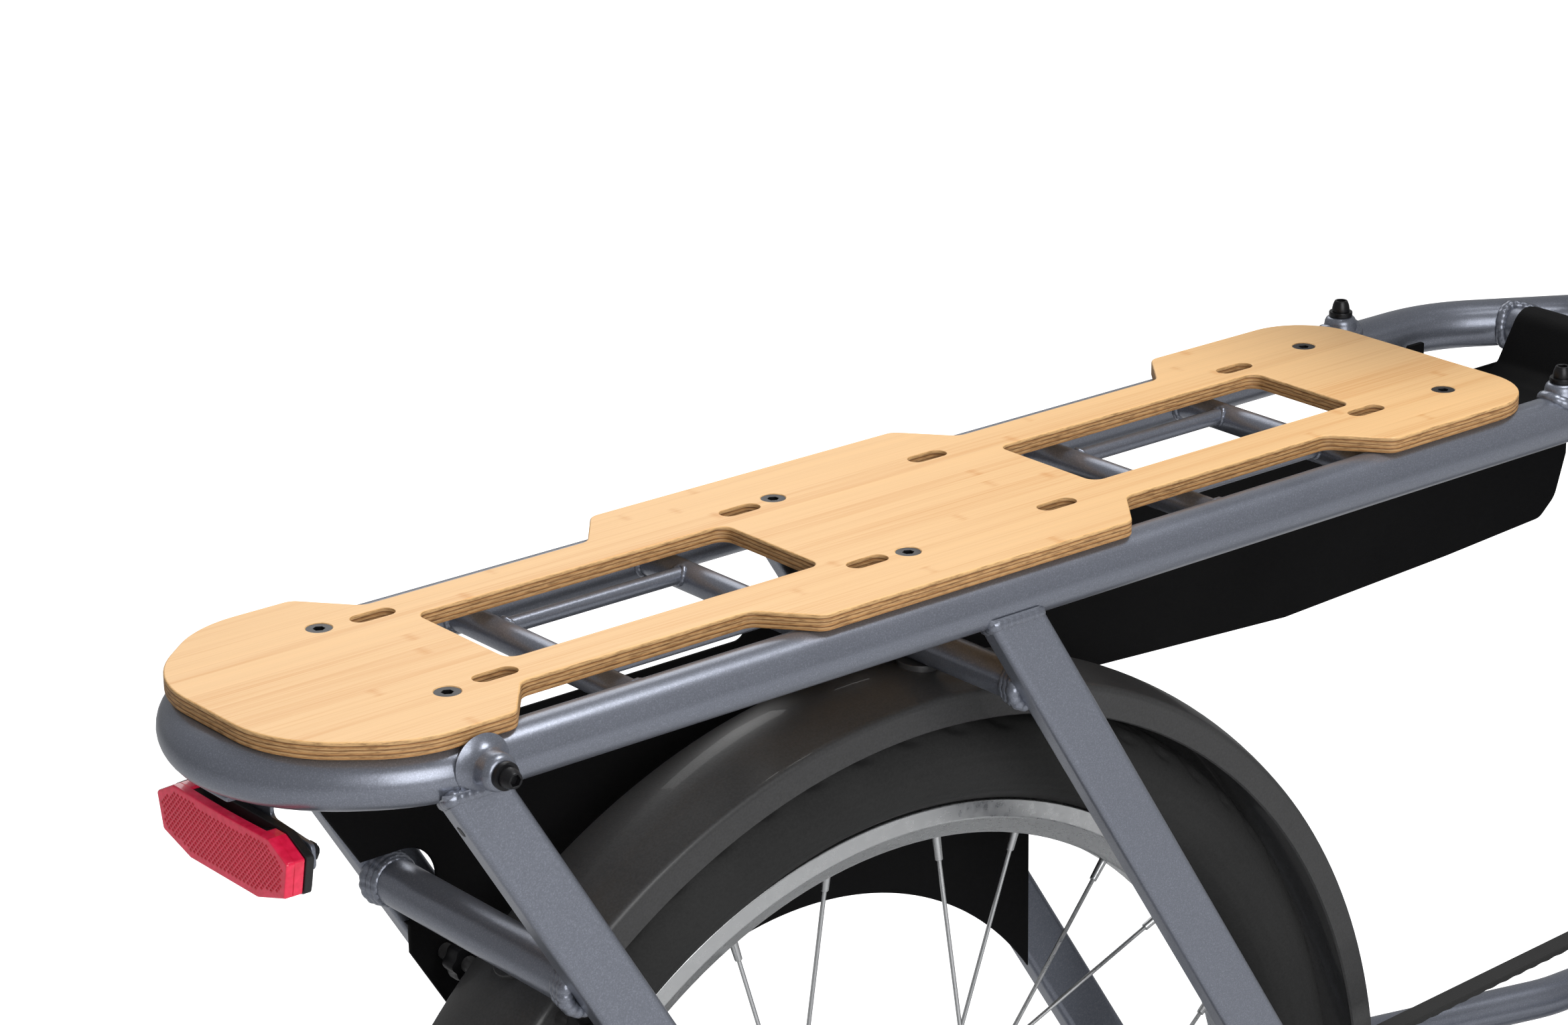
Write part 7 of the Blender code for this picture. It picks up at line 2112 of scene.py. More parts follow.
def caliper_shape(centre, low, high, across):
    """A brake caliper: a body open round the disc, piston caps and two screws.

    Low and high are the body's corners from the axle, and across its inner side, the disc and its outer side.
    """
    gap = 0.0015
    space = ROTOR_R + 0.003
    inner, rotor_y, outer = across
    low, high = np.add(centre, (low, high))
    outline = smooth_path([low, (high[0], low[1]), high, (low[0], high[1])], 0.008, 6, closed=True)
    shapes = [
        side_plate([outline], inner, rotor_y - gap, 0.0016),
        side_plate([outline], rotor_y + gap, outer, 0.0016),
    ]
    middle = (low + high) / 2.0
    away = unit(middle - centre)
    square = np.array((-away[1], away[0]))
    bridge = outline[np.linalg.norm(outline - centre, axis=1) > space]
    bridge = bridge[np.argsort(np.arctan2(*(bridge - bridge.mean(axis=0)).T[::-1]))]
    bridge = bridge * 0.96 + bridge.mean(axis=0) * 0.04
    shapes.append(side_plate([bridge], rotor_y - gap - 0.001, rotor_y + gap + 0.001, 0.0003))
    cap = middle - away * 0.004
    shapes.append(pin(cap, outer - 0.002, outer - 0.0002, 0.0112, 36))
    shapes.append(pin(cap, inner + 0.002, inner + 0.0002, 0.0112, 36))
    for way in (-1.0, 1.0):
        spot = middle + square * 0.016 * way + away * 0.010
        shapes.append(pin(spot, outer - 0.002, outer + 0.0001, 0.0034, 20))
    return join(*shapes)


def clamp_shape():
    """The seat clamp: a split ring with rounded edges, two ears and the screw through them."""
    low = seat_point(SEAT_TUBE_TOP - 0.017)
    height = np.linalg.norm(seat_point(SEAT_TUBE_TOP) - low)
    bore = SEAT_TUBE_R + CLEAR
    wide = SEAT_TUBE_R + 0.0055
    profile = [
        (bore, 0.0), (wide - 0.0012, 0.0), (wide - 0.0003, 0.0004), (wide, 0.0014), (wide, 0.0050),
        (wide - 0.0008, 0.0060), (wide - 0.0008, height - 0.0060), (wide, height - 0.0050),
        (wide, height - 0.0014), (wide - 0.0003, height - 0.0004), (wide - 0.0012, height), (bore, height),
    ]
    shapes = [lathe(profile, low, seat_way(), 64, ring=True)]
    mid = seat_point(SEAT_TUBE_TOP - 0.0085)
    ear_x = mid[0] - SEAT_TUBE_R - 0.015
    outline = rounded_rect(0.017, 0.011, 0.004) + np.array((ear_x + 0.0085, mid[2]))
    for side in SIDES.values():
        shapes.append(side_plate([outline], side * 0.0010, side * 0.0110, 0.0010))
    spot = np.array((ear_x + 0.007, 0.0, mid[2]))
    shapes.append(rod(spot - (0.0, 0.012, 0.0), spot + (0.0, 0.012, 0.0), 0.0025, sides=20))
    shapes.append(rod(spot + (0.0, 0.0108, 0.0), spot + (0.0, 0.015, 0.0), 0.0040, sides=28))
    shapes.append(rod(spot - (0.0, 0.015, 0.0), spot - (0.0, 0.0108, 0.0), 0.0040, sides=6))
    return join(*shapes)


# Steering

def fork_side_shapes(side):
    """Half of the crown, a leg that thins out downwards, and the bored end that holds the axle."""
    forward = steer_point(0.0, 1.0) - steer_point(0.0)
    turn = np.column_stack([forward, LEFT, steer_way()])
    loop = hull_outline((0.0, 0.0), CROWN_R, (0.0, side * CROWN_Y), CROWN_END_R, steps=32)
    points, faces = plate([loop], -CROWN_HALF_T, CROWN_HALF_T, 0.005, turn)
    crown = outward((points + steer_point(CROWN_S), faces))
    path = [
        steer_point(CROWN_S, 0.0, side * CROWN_Y), steer_point(CROWN_S - 0.004, 0.0, side * FORK_LEG_Y),
        steer_point(0.150, 0.004, side * FORK_LEG_Y), (FRONT_AXLE_X, side * FORK_LEG_Y, AXLE_Z),
    ]
    line = even_path(smooth_path(path, (0.0, 0.012, 0.12, 0.0), 16), 0.004)
    share = np.linspace(0.0, 1.0, len(line))
    leg = tube(line, FORK_LEG_R, 36, LEFT, 1.0 - 0.14 * np.clip((share - 0.35) / 0.6, 0.0, 1.0))
    start = (FRONT_AXLE_X, side * (FRONT_HUB[3] + CLEAR), AXLE_Z)
    length = abs(side * (FORK_LEG_Y + 0.010) - start[1])
    bore = AXLE_R + CLEAR
    profile = [
        (bore, 0.0), (0.0140, 0.0), (0.0145, 0.0008), (0.0145, length - 0.003), (0.0125, length),
        (bore, length),
    ]
    return [crown, leg, lathe(profile, start, side * LEFT, 44, ring=True)]


def fork_shape():
    """Steerer, race, both sides of the crown and legs, and the plate that carries the caliper."""
    steer = steer_way()
    shapes = [rod(steer_point(CROWN_S), steer_point(HEAD_TUBE_S[1] + 0.07), STEERER_R, sides=40)]
    race_top = HEAD_TUBE_S[0] - CLEAR - CROWN_S
    profile = [(0.0, 0.0), (0.021, 0.0), (0.021, race_top - 0.002), (0.0185, race_top), (0.0, race_top)]
    shapes.append(lathe(profile, steer_point(CROWN_S), steer, 56))
    for side in SIDES.values():
        shapes += fork_side_shapes(side)
    mount = np.add(FRONT_AXLE, ((-0.017, 0.005), (-0.080, 0.021), (-0.088, 0.059), (-0.038, 0.072)))
    outline = smooth_path(mount, (0.003, 0.008, 0.008, 0.004), 6, closed=True)
    low = FRONT_CALIPER[2][2] + CLEAR
    shapes.append(side_plate([outline], low, FORK_LEG_Y - 0.002, 0.0012))
    return join(*shapes)


def front_fender_shapes():
    """The front fender's shell with its post up to the crown and a thin bent stay down each side."""
    centre = FRONT_AXLE
    shapes = [fender_shape(centre, FRONT_FENDER_ARC)]
    middle = steer_point(CROWN_S)
    drop = (CROWN_HALF_T + FENDER_POST_R * math.cos(HEAD_ANGLE)) / math.sin(HEAD_ANGLE)
    top_r = FENDER_R + FENDER_CROWN - 2.0 * FENDER_T
    angle = math.acos((middle[0] - centre[0]) / top_r)
    start = wheel_point(centre, top_r, angle)
    shapes.append(rod(start, (middle[0], 0.0, middle[2] - drop - CLEAR), FENDER_POST_R, sides=28))
    wires = []
    for side in SIDES.values():
        edge = wheel_point(centre, FENDER_R - 0.004, math.radians(172.0), side * (FENDER_HALF - 0.0005))
        outside = side * (FORK_LEG_Y + FORK_LEG_R + 0.003)
        path = [edge, (edge[0] + 0.030, outside, edge[2] - 0.006), (FRONT_AXLE_X - 0.010, outside, AXLE_Z)]
        wires.append(tube(smooth_path(path, (0.0, 0.02, 0.0), 12), 0.0025, 18, LEFT))
        wires.append(rod(
            edge - (0.0, side * 0.0030, 0.0), edge + (0.0, side * 0.0036, 0.0), 0.0048, sides=24
        ))
    return join(*shapes), join(*wires)


def bar_points(side):
    """Corners of half the handlebar, from its clamp to its end."""
    x, _, z = steer_point(BAR_S, BAR_F)
    return np.array((
        (x, side * 0.055, z), (x - 0.012, side * 0.105, z + BAR_RISE - 0.010),
        (x - 0.045, side * 0.190, z + BAR_RISE), (x - 0.125, side * 0.330, z + BAR_RISE - 0.010),
    ))


def handlebar_shape():
    """A swept-back bar with its thicker clamping part eased at both ends."""
    x, _, z = steer_point(BAR_S, BAR_F)
    corners = np.concatenate([bar_points(-1.0)[::-1], bar_points(1.0)])
    line = smooth_path(corners, (0.0, 0.05, 0.03, 0.03, 0.03, 0.03, 0.05, 0.0), 14)
    profile = [
        (0.0, -0.0410), (BAR_R, -0.0410), (BAR_SLEEVE_R, -0.0350), (BAR_SLEEVE_R, 0.0350), (BAR_R, 0.0410),
        (0.0, 0.0410),
    ]
    return join(tube(line, BAR_R, 36), lathe(profile, (x, 0.0, z), LEFT, 44))


def stem_riser_shapes():
    """The riser: a bored tube with a foot and a groove, a plug inside its top, and a cap."""
    base = HEAD_TUBE_S[1] + CLEAR
    steer = steer_way()
    length = STEM_TOP_S - base
    bore = STEERER_R + CLEAR
    foot_r = STEM_R + 0.0010
    groove_r = STEM_R - 0.0006
    profile = [
        (bore, 0.0), (foot_r, 0.0), (foot_r, 0.006), (STEM_R, 0.007), (STEM_R, 0.017), (groove_r, 0.0175),
        (groove_r, 0.0185), (STEM_R, 0.019), (STEM_R, length - 0.002), (STEM_R - 0.002, length),
        (bore, length),
    ]
    top = steer_point(STEM_TOP_S)
    return [
        lathe(profile, steer_point(base), steer, 52, ring=True),
        rod(steer_point(base + 0.073), top - steer * 0.0006, bore + 0.0005, sides=40),
        rod(top - steer * 0.001, top + steer * 0.0022, 0.0085, sides=36),
    ]


def stem_clamp_shapes():
    """The reach tube, and the split clamp round the bar with its four screws."""
    steer = steer_way()
    hold = steer_point(BAR_S, BAR_F)
    forward = unit(hold - steer_point(BAR_S))
    inner = BAR_SLEEVE_R + CLEAR
    outer = BAR_SLEEVE_R + 0.006
    profile = [
        (inner, -0.024), (outer - 0.002, -0.024), (outer, -0.022), (outer, -0.0125),
        (outer - 0.0015, -0.0115), (outer - 0.0015, 0.0115), (outer, 0.0125), (outer, 0.022),
        (outer - 0.002, 0.024), (inner, 0.024),
    ]
    shapes = [rod(steer_point(BAR_S), hold - forward * (BAR_SLEEVE_R + 0.001), 0.016, sides=40)]
    shapes.append(lathe(profile, hold, LEFT, 56, ring=True))
    for y in (-0.017, 0.017):
        for way in (1.0, -1.0):
            spot = hold + (0.0, y, 0.0) - forward * 0.006 + steer * way * (outer - 0.003)
            shapes.append(rod(spot, spot + forward * 0.018, 0.0040, sides=24))
    return shapes


def stem_shape():
    """The stem: riser, reach tube and clamp, and four pinch screws low on the riser's back."""
    base = HEAD_TUBE_S[1] + CLEAR
    shapes = stem_riser_shapes() + stem_clamp_shapes()
    for s in (base + 0.012, base + 0.045):
        for side in SIDES.values():
            spot = steer_point(s, -STEM_R - 0.0010, side * 0.004)
            shapes.append(rod(spot, spot + (0.0, side * 0.008, 0.0), 0.0045, sides=24))
    return join(*shapes)


def grip_frame(side):
    """Start of the grip's straight, the way along it, the way the lever lies, and the straight's length."""
    inner, outer = bar_points(side)[2:]
    along = unit(outer - inner)
    ahead = unit(np.cross(UP, along) * -side)
    return inner, along, ahead, np.linalg.norm(outer - inner)


def grip_shape(side):
    """A grip with a collar at each end and rings of raised ribs: radius + height |sin| along its length."""
    inner, along, _, length = grip_frame(side)
    start = inner + along * length * 0.22
    size = length * 0.78 + 0.003
    collar = 0.014
    pitch = 0.0042
    h = np.linspace(collar, size - collar, 130)
    ribs = GRIP_R - 0.0016 + 0.0011 * np.abs(np.sin((h - collar) * math.pi / pitch)) ** 0.6
    bore = BAR_R + 0.0006
    head = [(bore, 0.0), (GRIP_R - 0.0006, 0.0), (GRIP_R, 0.0008), (GRIP_R, 0.010), (GRIP_R - 0.0008, 0.0115)]
    tail = [
        (GRIP_R - 0.0008, size - 0.0115), (GRIP_R, size - 0.010), (GRIP_R, size - 0.0012),
        (GRIP_R - 0.0012, size), (bore, size),
    ]
    profile = np.concatenate([head, np.column_stack([ribs, h]), tail])
    plug = rod(start + along * (size - 0.0026), start + along * (size - 0.0004), bore + 0.0004, sides=36)
    return join(lathe(profile, start, along, 72, ring=True), plug)


def brake_shape(side):
    """Clamp with its screw, two cheeks and a bridge, master cylinder with its cap, and the lever's pin."""
    inner, along, ahead, _ = grip_frame(side)
    seat = inner + along * 0.012
    tip = seat + ahead * LEVER_REACH
    bore = BAR_R + 0.0006
    profile = sleeve(bore, 0.0175, -0.009, 0.009, 0.001)
    shapes = [lathe(profile, seat, along, 48, ring=True)]
    cheek = rounded_rect(0.0058, 0.0245, 0.0022, 4)
    for z in (1.0, -1.0):
        mid = UP * (z * 0.0097)
        shapes.append(bar(seat + ahead * 0.015 + mid, tip + ahead * 0.009 + mid, cheek, along, 0.001))
    near = seat + ahead * 0.0165
    shapes.append(bar(near, near + ahead * 0.0040, rounded_rect(0.0245, 0.0240, 0.004, 4), along, 0.001))
    barrel = seat + ahead * 0.027
    shapes.append(rod(barrel - along * 0.040, barrel - along * 0.0120, 0.0105, sides=40, edge=0.002))
    shapes.append(rod(barrel - along * 0.0375, barrel - along * 0.0360, 0.0108, sides=40))
    shapes.append(rod(tip - UP * 0.0125, tip + UP * 0.0125, 0.0022, sides=24))
    shapes.append(rod(tip + UP * 0.0118, tip + UP * 0.0130, 0.0044, sides=28))
    screw = seat - ahead * 0.0168
    shapes.append(rod(screw - UP * 0.006, screw + UP * 0.006, 0.0034, sides=24))
    return join(*shapes)


def lever_shape(side):
    """A blade that is thick at its barrel, flattened along its length, with a small ball at its end."""
    _, along, ahead, _ = grip_frame(side)
    inner = bar_points(side)[2]
    tip = inner + along * 0.012 + ahead * LEVER_REACH
    path = [
        tip + along * 0.004 + ahead * 0.002, tip + along * 0.022 + ahead * 0.012,
        tip + along * 0.060 + ahead * 0.026, tip + along * LEVER_LENGTH + ahead * 0.024,
    ]
    line = even_path(smooth_path(path, (0.0, 0.02, 0.03, 0.0), 14), 0.0025)
    share = np.linspace(0.0, 1.0, len(line))
    ends = np.sqrt(np.clip(1.0 - ((share - 0.985) / 0.015).clip(0.0) ** 2, 0.02, 1.0))
    waist = 0.16 * np.sin(np.pi * share.clip(0.0, 0.9) / 0.9)
    ball = 0.12 * np.exp(-((share - 0.96) / 0.03) ** 2)
    blade = sweep(line, circle(1.0, 32) * (0.0044, 0.0050), UP, (0.92 - waist + ball) * ends)
    profile = sleeve(0.0025, 0.0070, -0.006, 0.006, 0.0006)
    return join(blade, lathe(profile, tip, UP, 40, ring=True))


def display_shapes():
    """The display's case with rounded edges and a screen, its clamps on the bar, and the button beside it."""
    x, _, z = steer_point(BAR_S, BAR_F)
    top = z + BAR_SLEEVE_R + 0.0225
    outline = rounded_rect(0.052, 0.080, 0.007, 8) + np.array((x, 0.0))
    spot = (x - 0.018, 0.030)
    hole = full_circle(spot, 0.0058, 32)
    low = top - 0.014
    shapes = [plate([outline, hole], low, top, walls=[eased(low, top, 0.0014), eased(low, top, 0.0004)])]
    floor = np.array((*spot, top - 0.0140))
    shapes.append(rod(floor, floor + (0.0, 0.0, 0.0092), 0.0062, sides=32))
    inner = BAR_SLEEVE_R + CLEAR
    outer = BAR_SLEEVE_R + 0.004
    profile = sleeve(inner, outer, -0.004, 0.004, 0.0008)
    for side in SIDES.values():
        y = side * 0.033
        shapes.append(lathe(profile, (x, y, z), LEFT, 48, ring=True))
        post = rounded_rect(0.016, 0.008, 0.001, 3)
        shapes.append(bar((x, y, z + outer - 0.002), (x, y, top - 0.013), post, edge=0.0005))
    screen = rounded_rect(0.040, 0.052, 0.003) + np.array((x + 0.001, -0.008))
    glass = plate([screen], top - 0.001, top + 0.0006, 0.0004)
    base = np.array((*spot, top - 0.0025))
    profile = [(0.0, 0.0), (0.0055, 0.0), (0.0055, 0.0032), (0.0049, 0.0040), (0.0030, 0.0036), (0.0, 0.0034)]
    button = lathe(profile, base, UP, 36)
    return join(*shapes), glass, button


def headlight_shapes():
    """A turned case with cooling fins behind, a ribbed glass in a bezel and a bracket to the crown."""
    centre = steer_point(HEAD_TUBE_S[0] + 0.045, 0.072)
    case = [
        (0.0, 0.0190), (0.0215, 0.0190), (0.0222, 0.0240), (0.0240, 0.0240), (0.0275, 0.0200),
        (0.0285, 0.0100), (0.0282, 0.0060), (0.0268, 0.0056), (0.0266, 0.0044), (0.0276, 0.0040),
        (0.0262, -0.0040),
    ]
    for k in range(4):
        h = -0.0055 - 0.0032 * k
        reach = 0.0258 - 0.0022 * k
        case += [
            (reach - 0.0022, h), (reach - 0.0024, h - 0.0014), (reach, h - 0.0016),
            (reach - 0.0006, h - 0.0030),
        ]
    case += [(0.0150, -0.0205), (0.0060, -0.0238), (0.0, -0.0240)]
    shapes = [lathe(case, centre, AHEAD, 60)]
    cover = [(0.0, 0.0185), (0.0214, 0.0185), (0.0214, 0.0205), (0.0120, 0.0228), (0.0, 0.0236)]
    glass = lathe(cover, centre, AHEAD, 60)
    foot = steer_point(CROWN_S)
    reach = CROWN_R * math.sin(HEAD_ANGLE) + CROWN_HALF_T * math.cos(HEAD_ANGLE)
    front = foot[0] + reach + CLEAR
    ring = rounded_rect(0.004, 0.020, 0.0012, 3)
    shapes.append(bar(
        (front + 0.002, 0.0, foot[2] - 0.008), (front + 0.002, 0.0, centre[2] - 0.014), ring, edge=0.0005
    ))
    shelf_z = centre[2] - 0.016
    shapes.append(bar((front + 0.001, 0.0, shelf_z), (centre[0] + 0.002, 0.0, shelf_z), ring, edge=0.0005))
    shapes.append(rod((front + 0.003, 0.0, foot[2]), (front + 0.0075, 0.0, foot[2]), 0.0045, sides=28))
    return join(*shapes), glass


# Saddle and stand

def seatpost_shape():
    """The post with height marks cut round it, its head, and the clamp plate and screws over the rails."""
    up = seat_way()
    start = seat_point(-0.120)
    length = np.linalg.norm(seat_point(SADDLE_RAIL_Z - 0.012) - start)
    profile = [(0.0, 0.0), (POST_R - 0.0010, 0.0), (POST_R, 0.0010)]
    for k in range(6):
        h = 0.020 + 0.010 * k
        profile += [
            (POST_R, h), (POST_R - 0.0002, h + 0.0001), (POST_R - 0.0002, h + 0.0006), (POST_R, h + 0.0007)
        ]
    profile += [
        (POST_R, length - 0.012), (POST_R + 0.0010, length - 0.006), (POST_R + 0.0010, length), (0.0, length)
    ]
    shapes = [lathe(profile, start, up, 60)]
    x = seat_point(SADDLE_RAIL_Z)[0]
    top = SADDLE_RAIL_Z - SADDLE_RAIL_R - CLEAR
    outline = rounded_rect(0.048, 0.060, 0.008, 6) + np.array((x, 0.0))
    shapes.append(plate([outline], top - 0.014, top, 0.002))
    cap = rounded_rect(0.034, 0.060, 0.006, 6) + np.array((x, 0.0))
    rail_top = SADDLE_RAIL_Z + SADDLE_RAIL_R
    shapes.append(plate([cap], rail_top - 0.0010, rail_top + 0.0035, 0.0012))
    for way in (-1.0, 1.0):
        spot = np.array((x + way * 0.011, 0.0, top - 0.002))
        shapes.append(rod(spot, spot + (0.0, 0.0, 0.0165), 0.0026, sides=20))
        shapes.append(rod(spot + (0.0, 0.0, 0.0120), spot + (0.0, 0.0, 0.0150), 0.0046, sides=6))
    return join(*shapes)


def rails_shape():
    """Both saddle rails with the sockets that hold their ends in the saddle's base."""
    shapes = []
    for side in SIDES.values():
        y = side * SADDLE_RAIL_Y
        path = [
            (0.655, y * 1.6, SADDLE_BASE + 0.004), (0.690, y, SADDLE_RAIL_Z), (0.800, y, SADDLE_RAIL_Z),
            (0.862, y * 0.45, SADDLE_BASE + 0.004),
        ]
        line = smooth_path(path, (0.0, 0.02, 0.02, 0.0), 12)
        shapes.append(tube(line, SADDLE_RAIL_R, 24, LEFT))
        for end, inner in ((line[0], line[1]), (line[-1], line[-2])):
            way = unit(inner - end)
            shapes.append(rod(end - way * 0.002, end + way * 0.009, 0.0062, 0.0052, sides=28))
    return join(*shapes)


def saddle_half(share):
    """Half width along the saddle, from its tail at 0 to its nose at 1, and how far both ends tuck in.

    The width falls from the wings to the nose as 1 / (1 + exp(13 (share - 0.46))), times
    sin(pi share)^0.26, which rounds the ends.
    """
    tuck = np.sin(math.pi * np.clip(share, 0.0015, 0.9985)) ** 0.26
    wing = 1.0 / (1.0 + np.exp((share - 0.46) * 13.0))
    return (SADDLE_HALF[1] + (SADDLE_HALF[0] - SADDLE_HALF[1]) * wing) * tuck, tuck


def saddle_line(inset):
    """The saddle's outline in plan, moved in by inset."""
    share = 0.5 - 0.5 * np.cos(math.pi * np.linspace(0.0, 1.0, 80))
    half = np.maximum(saddle_half(share)[0] - inset, 0.0012)
    x = SADDLE_X[0] + inset + (SADDLE_X[1] - SADDLE_X[0] - 2.0 * inset) * share
    loop = np.concatenate([np.column_stack([x, -half]), np.column_stack([x, half])[::-1]])
    return even_path(loop, 0.003, closed=True)


def pad_shape():
    """The saddle's pad, a little slack, with a hollow along its middle.

    Rings over the share along it: y = half sgn(cos a) |cos a|^0.75 and z = low + rise (0.5 + 0.5 sgn(sin a)
    |sin a|^0.7), less hollow exp(-(y / w)^2) on the upper side.
    """
    share = (0.5 - 0.5 * np.cos(math.pi * np.linspace(0.0, 1.0, 73)))[:, None]
    half, tuck = saddle_half(share)
    low = PAD_LOW + 0.004 * (1.0 - tuck)
    tail = 0.004 / (1.0 + np.exp((share - 0.2) * 40.0))
    rise = (SADDLE_TOP - 0.012 * np.sin(math.pi * share) + tail - low) * tuck * 0.94
    a = np.arange(64)[None] * math.tau / 64
    y = 0.95 * half * np.sign(np.cos(a)) * np.abs(np.cos(a)) ** 0.75
    height = 0.5 + 0.5 * np.sign(np.sin(a)) * np.abs(np.sin(a)) ** 0.7
    middle = np.exp(-((share - 0.45) / 0.30) ** 4)
    hollow = 0.008 * middle * np.exp(-(y / 0.010) ** 2) * height
    x = SADDLE_X[0] + 0.004 + (SADDLE_X[1] - SADDLE_X[0] - 0.008) * share + 0.0 * a
    return grid(np.stack([x, y, low + rise * height - hollow], axis=-1))


def saddle_base_shape():
    """The hard shell under the pad: the plan outline at several insets and heights, capped by fans."""
    top = PAD_LOW - 0.0004
    stations = (
        (0.012, SADDLE_BASE), (0.008, SADDLE_BASE + 0.0006), (0.0055, SADDLE_BASE + 0.0030),
        (0.0050, top - 0.0012), (0.0058, top),
    )
    middle = np.array((SADDLE_X[0] + 0.45 * (SADDLE_X[1] - SADDLE_X[0]), 0.0))
    first = 0.005
    outline = saddle_line(first)
    reach = np.linalg.norm(outline - middle, axis=1, keepdims=True)
    rows = []
    for inset, z in stations:
        loop = middle + (outline - middle) * (1.0 - (inset - first) / reach)
        rows.append(np.column_stack([loop, np.full(len(loop), z)]))
    return grid(np.stack(rows))


def finished_mesh(obj):
    """The object's shape with its modifiers put into the mesh itself."""
    made = obj.evaluated_get(bpy.context.evaluated_depsgraph_get())
    mesh = bpy.data.meshes.new_from_object(made)
    obj.modifiers.clear()
    obj.data = mesh


def places_of(mesh):
    """The points of a mesh as an array."""
    spots = np.empty(len(mesh.vertices) * 3, np.float32)
    mesh.vertices.foreach_get("co", spots)
    return spots.reshape(-1, 3).astype(float)


def inflate(obj, low, limit):
    """Blow a cushion up as cloth: pressure inside, no weight, underside held, each point's way capped."""
    scene = bpy.context.scene
    skin = obj.modifiers.new("skin", "REMESH")
    skin.mode = "VOXEL"
    skin.voxel_size = 0.004
    finished_mesh(obj)
    before = places_of(obj.data)
    held = obj.vertex_groups.new(name="held")
    held.add(np.flatnonzero(before[:, 2] < low).tolist(), 1.0, "REPLACE")
    cloth = obj.modifiers.new("cloth", "CLOTH")
    cloth.settings.quality = 6
    cloth.settings.tension_stiffness = 12.0
    cloth.settings.compression_stiffness = 12.0
    cloth.settings.bending_stiffness = 0.8
    cloth.settings.use_pressure = True
    cloth.settings.uniform_pressure_force = 4.0
    cloth.settings.vertex_group_mass = "held"
    cloth.settings.effector_weights.gravity = 0.0
    cloth.point_cache.frame_start = 1
    cloth.point_cache.frame_end = CLOTH_FRAMES
    for step in range(1, CLOTH_FRAMES + 1):
        scene.frame_set(step)
    finished_mesh(obj)
    scene.frame_set(1)
    way = places_of(obj.data) - before
    length = np.linalg.norm(way, axis=1, keepdims=True)
    after = before + way * np.minimum(1.0, limit / np.maximum(length, 1e-9))
    obj.data.vertices.foreach_set("co", after.astype(np.float32).ravel())
    obj.data.update()


def sew(obj, line, depth, width):
    """A groove pressed into the upper side along a line in plan: depth exp(-(distance / width)^2)."""
    fine = obj.modifiers.new("fine", "SUBSURF")
    fine.levels = 1
    fine.render_levels = 1
    finished_mesh(obj)
    mesh = obj.data
    spots = places_of(mesh)
    flat = np.asarray(line)
    far = np.min(np.linalg.norm(spots[:, None, :2] - flat[None], axis=2), axis=1)
    normals = np.empty(len(spots) * 3, np.float32)
    mesh.vertices.foreach_get("normal", normals)
    normals = normals.reshape(-1, 3)
    pressed = depth * np.exp(-(far / width) ** 2) * (normals[:, 2] > 0.15)
    mesh.vertices.foreach_set("co", (spots - normals * pressed[:, None]).astype(np.float32).ravel())
    mesh.shade_smooth()
    mesh.update()


def stitch_shape(obj, line, length, gap):
    """Short round threads laid on the pad along a line in plan, each at the height of the nearest point."""
    spots = places_of(obj.data)
    spots = spots[spots[:, 2] > np.median(spots[:, 2])]
    marks = even_path(line, gap, closed=True)
    ways = unit(np.roll(marks, -1, axis=0) - np.roll(marks, 1, axis=0))
    shapes = []
    for mark, way in zip(marks, ways):
        ends = []
        for end in (mark - way * length / 2.0, mark + way * length / 2.0):
            near = np.argsort(np.sum((spots[:, :2] - end) ** 2, axis=1))[:3]
            ends.append(np.array((*end, spots[near, 2].mean() + 0.0001)) - SHIFT)
        shapes.append(rod(*ends, 0.00045, sides=6, edge=0.0001))
    return join(*shapes)


def stand_shapes():
    """The centre stand: a cross pin, two eyes, bent legs and rubber feet."""
    x, z = STAND_PIVOT
    foot_x, foot_y = STAND_FOOT
    ground = -DECK_H
    side_y = BRACKET_HALF + CLEAR
    shapes = [pin(STAND_PIVOT, -side_y - 0.014, side_y + 0.014, STAND_PIN_R, 36)]
    feet = []
    for side in SIDES.values():
        shapes.append(pin(STAND_PIVOT, side * side_y, side * (side_y + 0.016), 0.013, 44, 0.0012))
        path = [
            (x, side * (side_y + 0.008), z), (x + 0.001, side * (side_y + 0.014), z - 0.030),
            (foot_x, side * (foot_y - 0.006), ground + 0.012),
        ]
        line = smooth_path(path, (0.0, 0.03, 0.0), 14)
        shapes.append(tube(line, STAND_LEG_R, 32, AHEAD))
        way = unit(line[-1] - line[-2])
        feet.append(rod(
            line[-1] - way * 0.030, line[-1] - way * 0.004, 0.0112, 0.0118, sides=32, edge=0.0015
        ))
        outline = rounded_rect(0.040, 0.028, 0.006) + np.array((foot_x, side * foot_y))
        feet.append(plate([outline], ground, ground + 0.014, 0.002))
        for k in (-1.0, 0.0, 1.0):
            groove = rounded_rect(0.0030, 0.024, 0.001) + np.array((foot_x + 0.011 * k, side * foot_y))
            feet.append(plate([groove], ground + 0.0132, ground + 0.0152, 0.0006))
    return join(*shapes), join(*feet)


# Studio

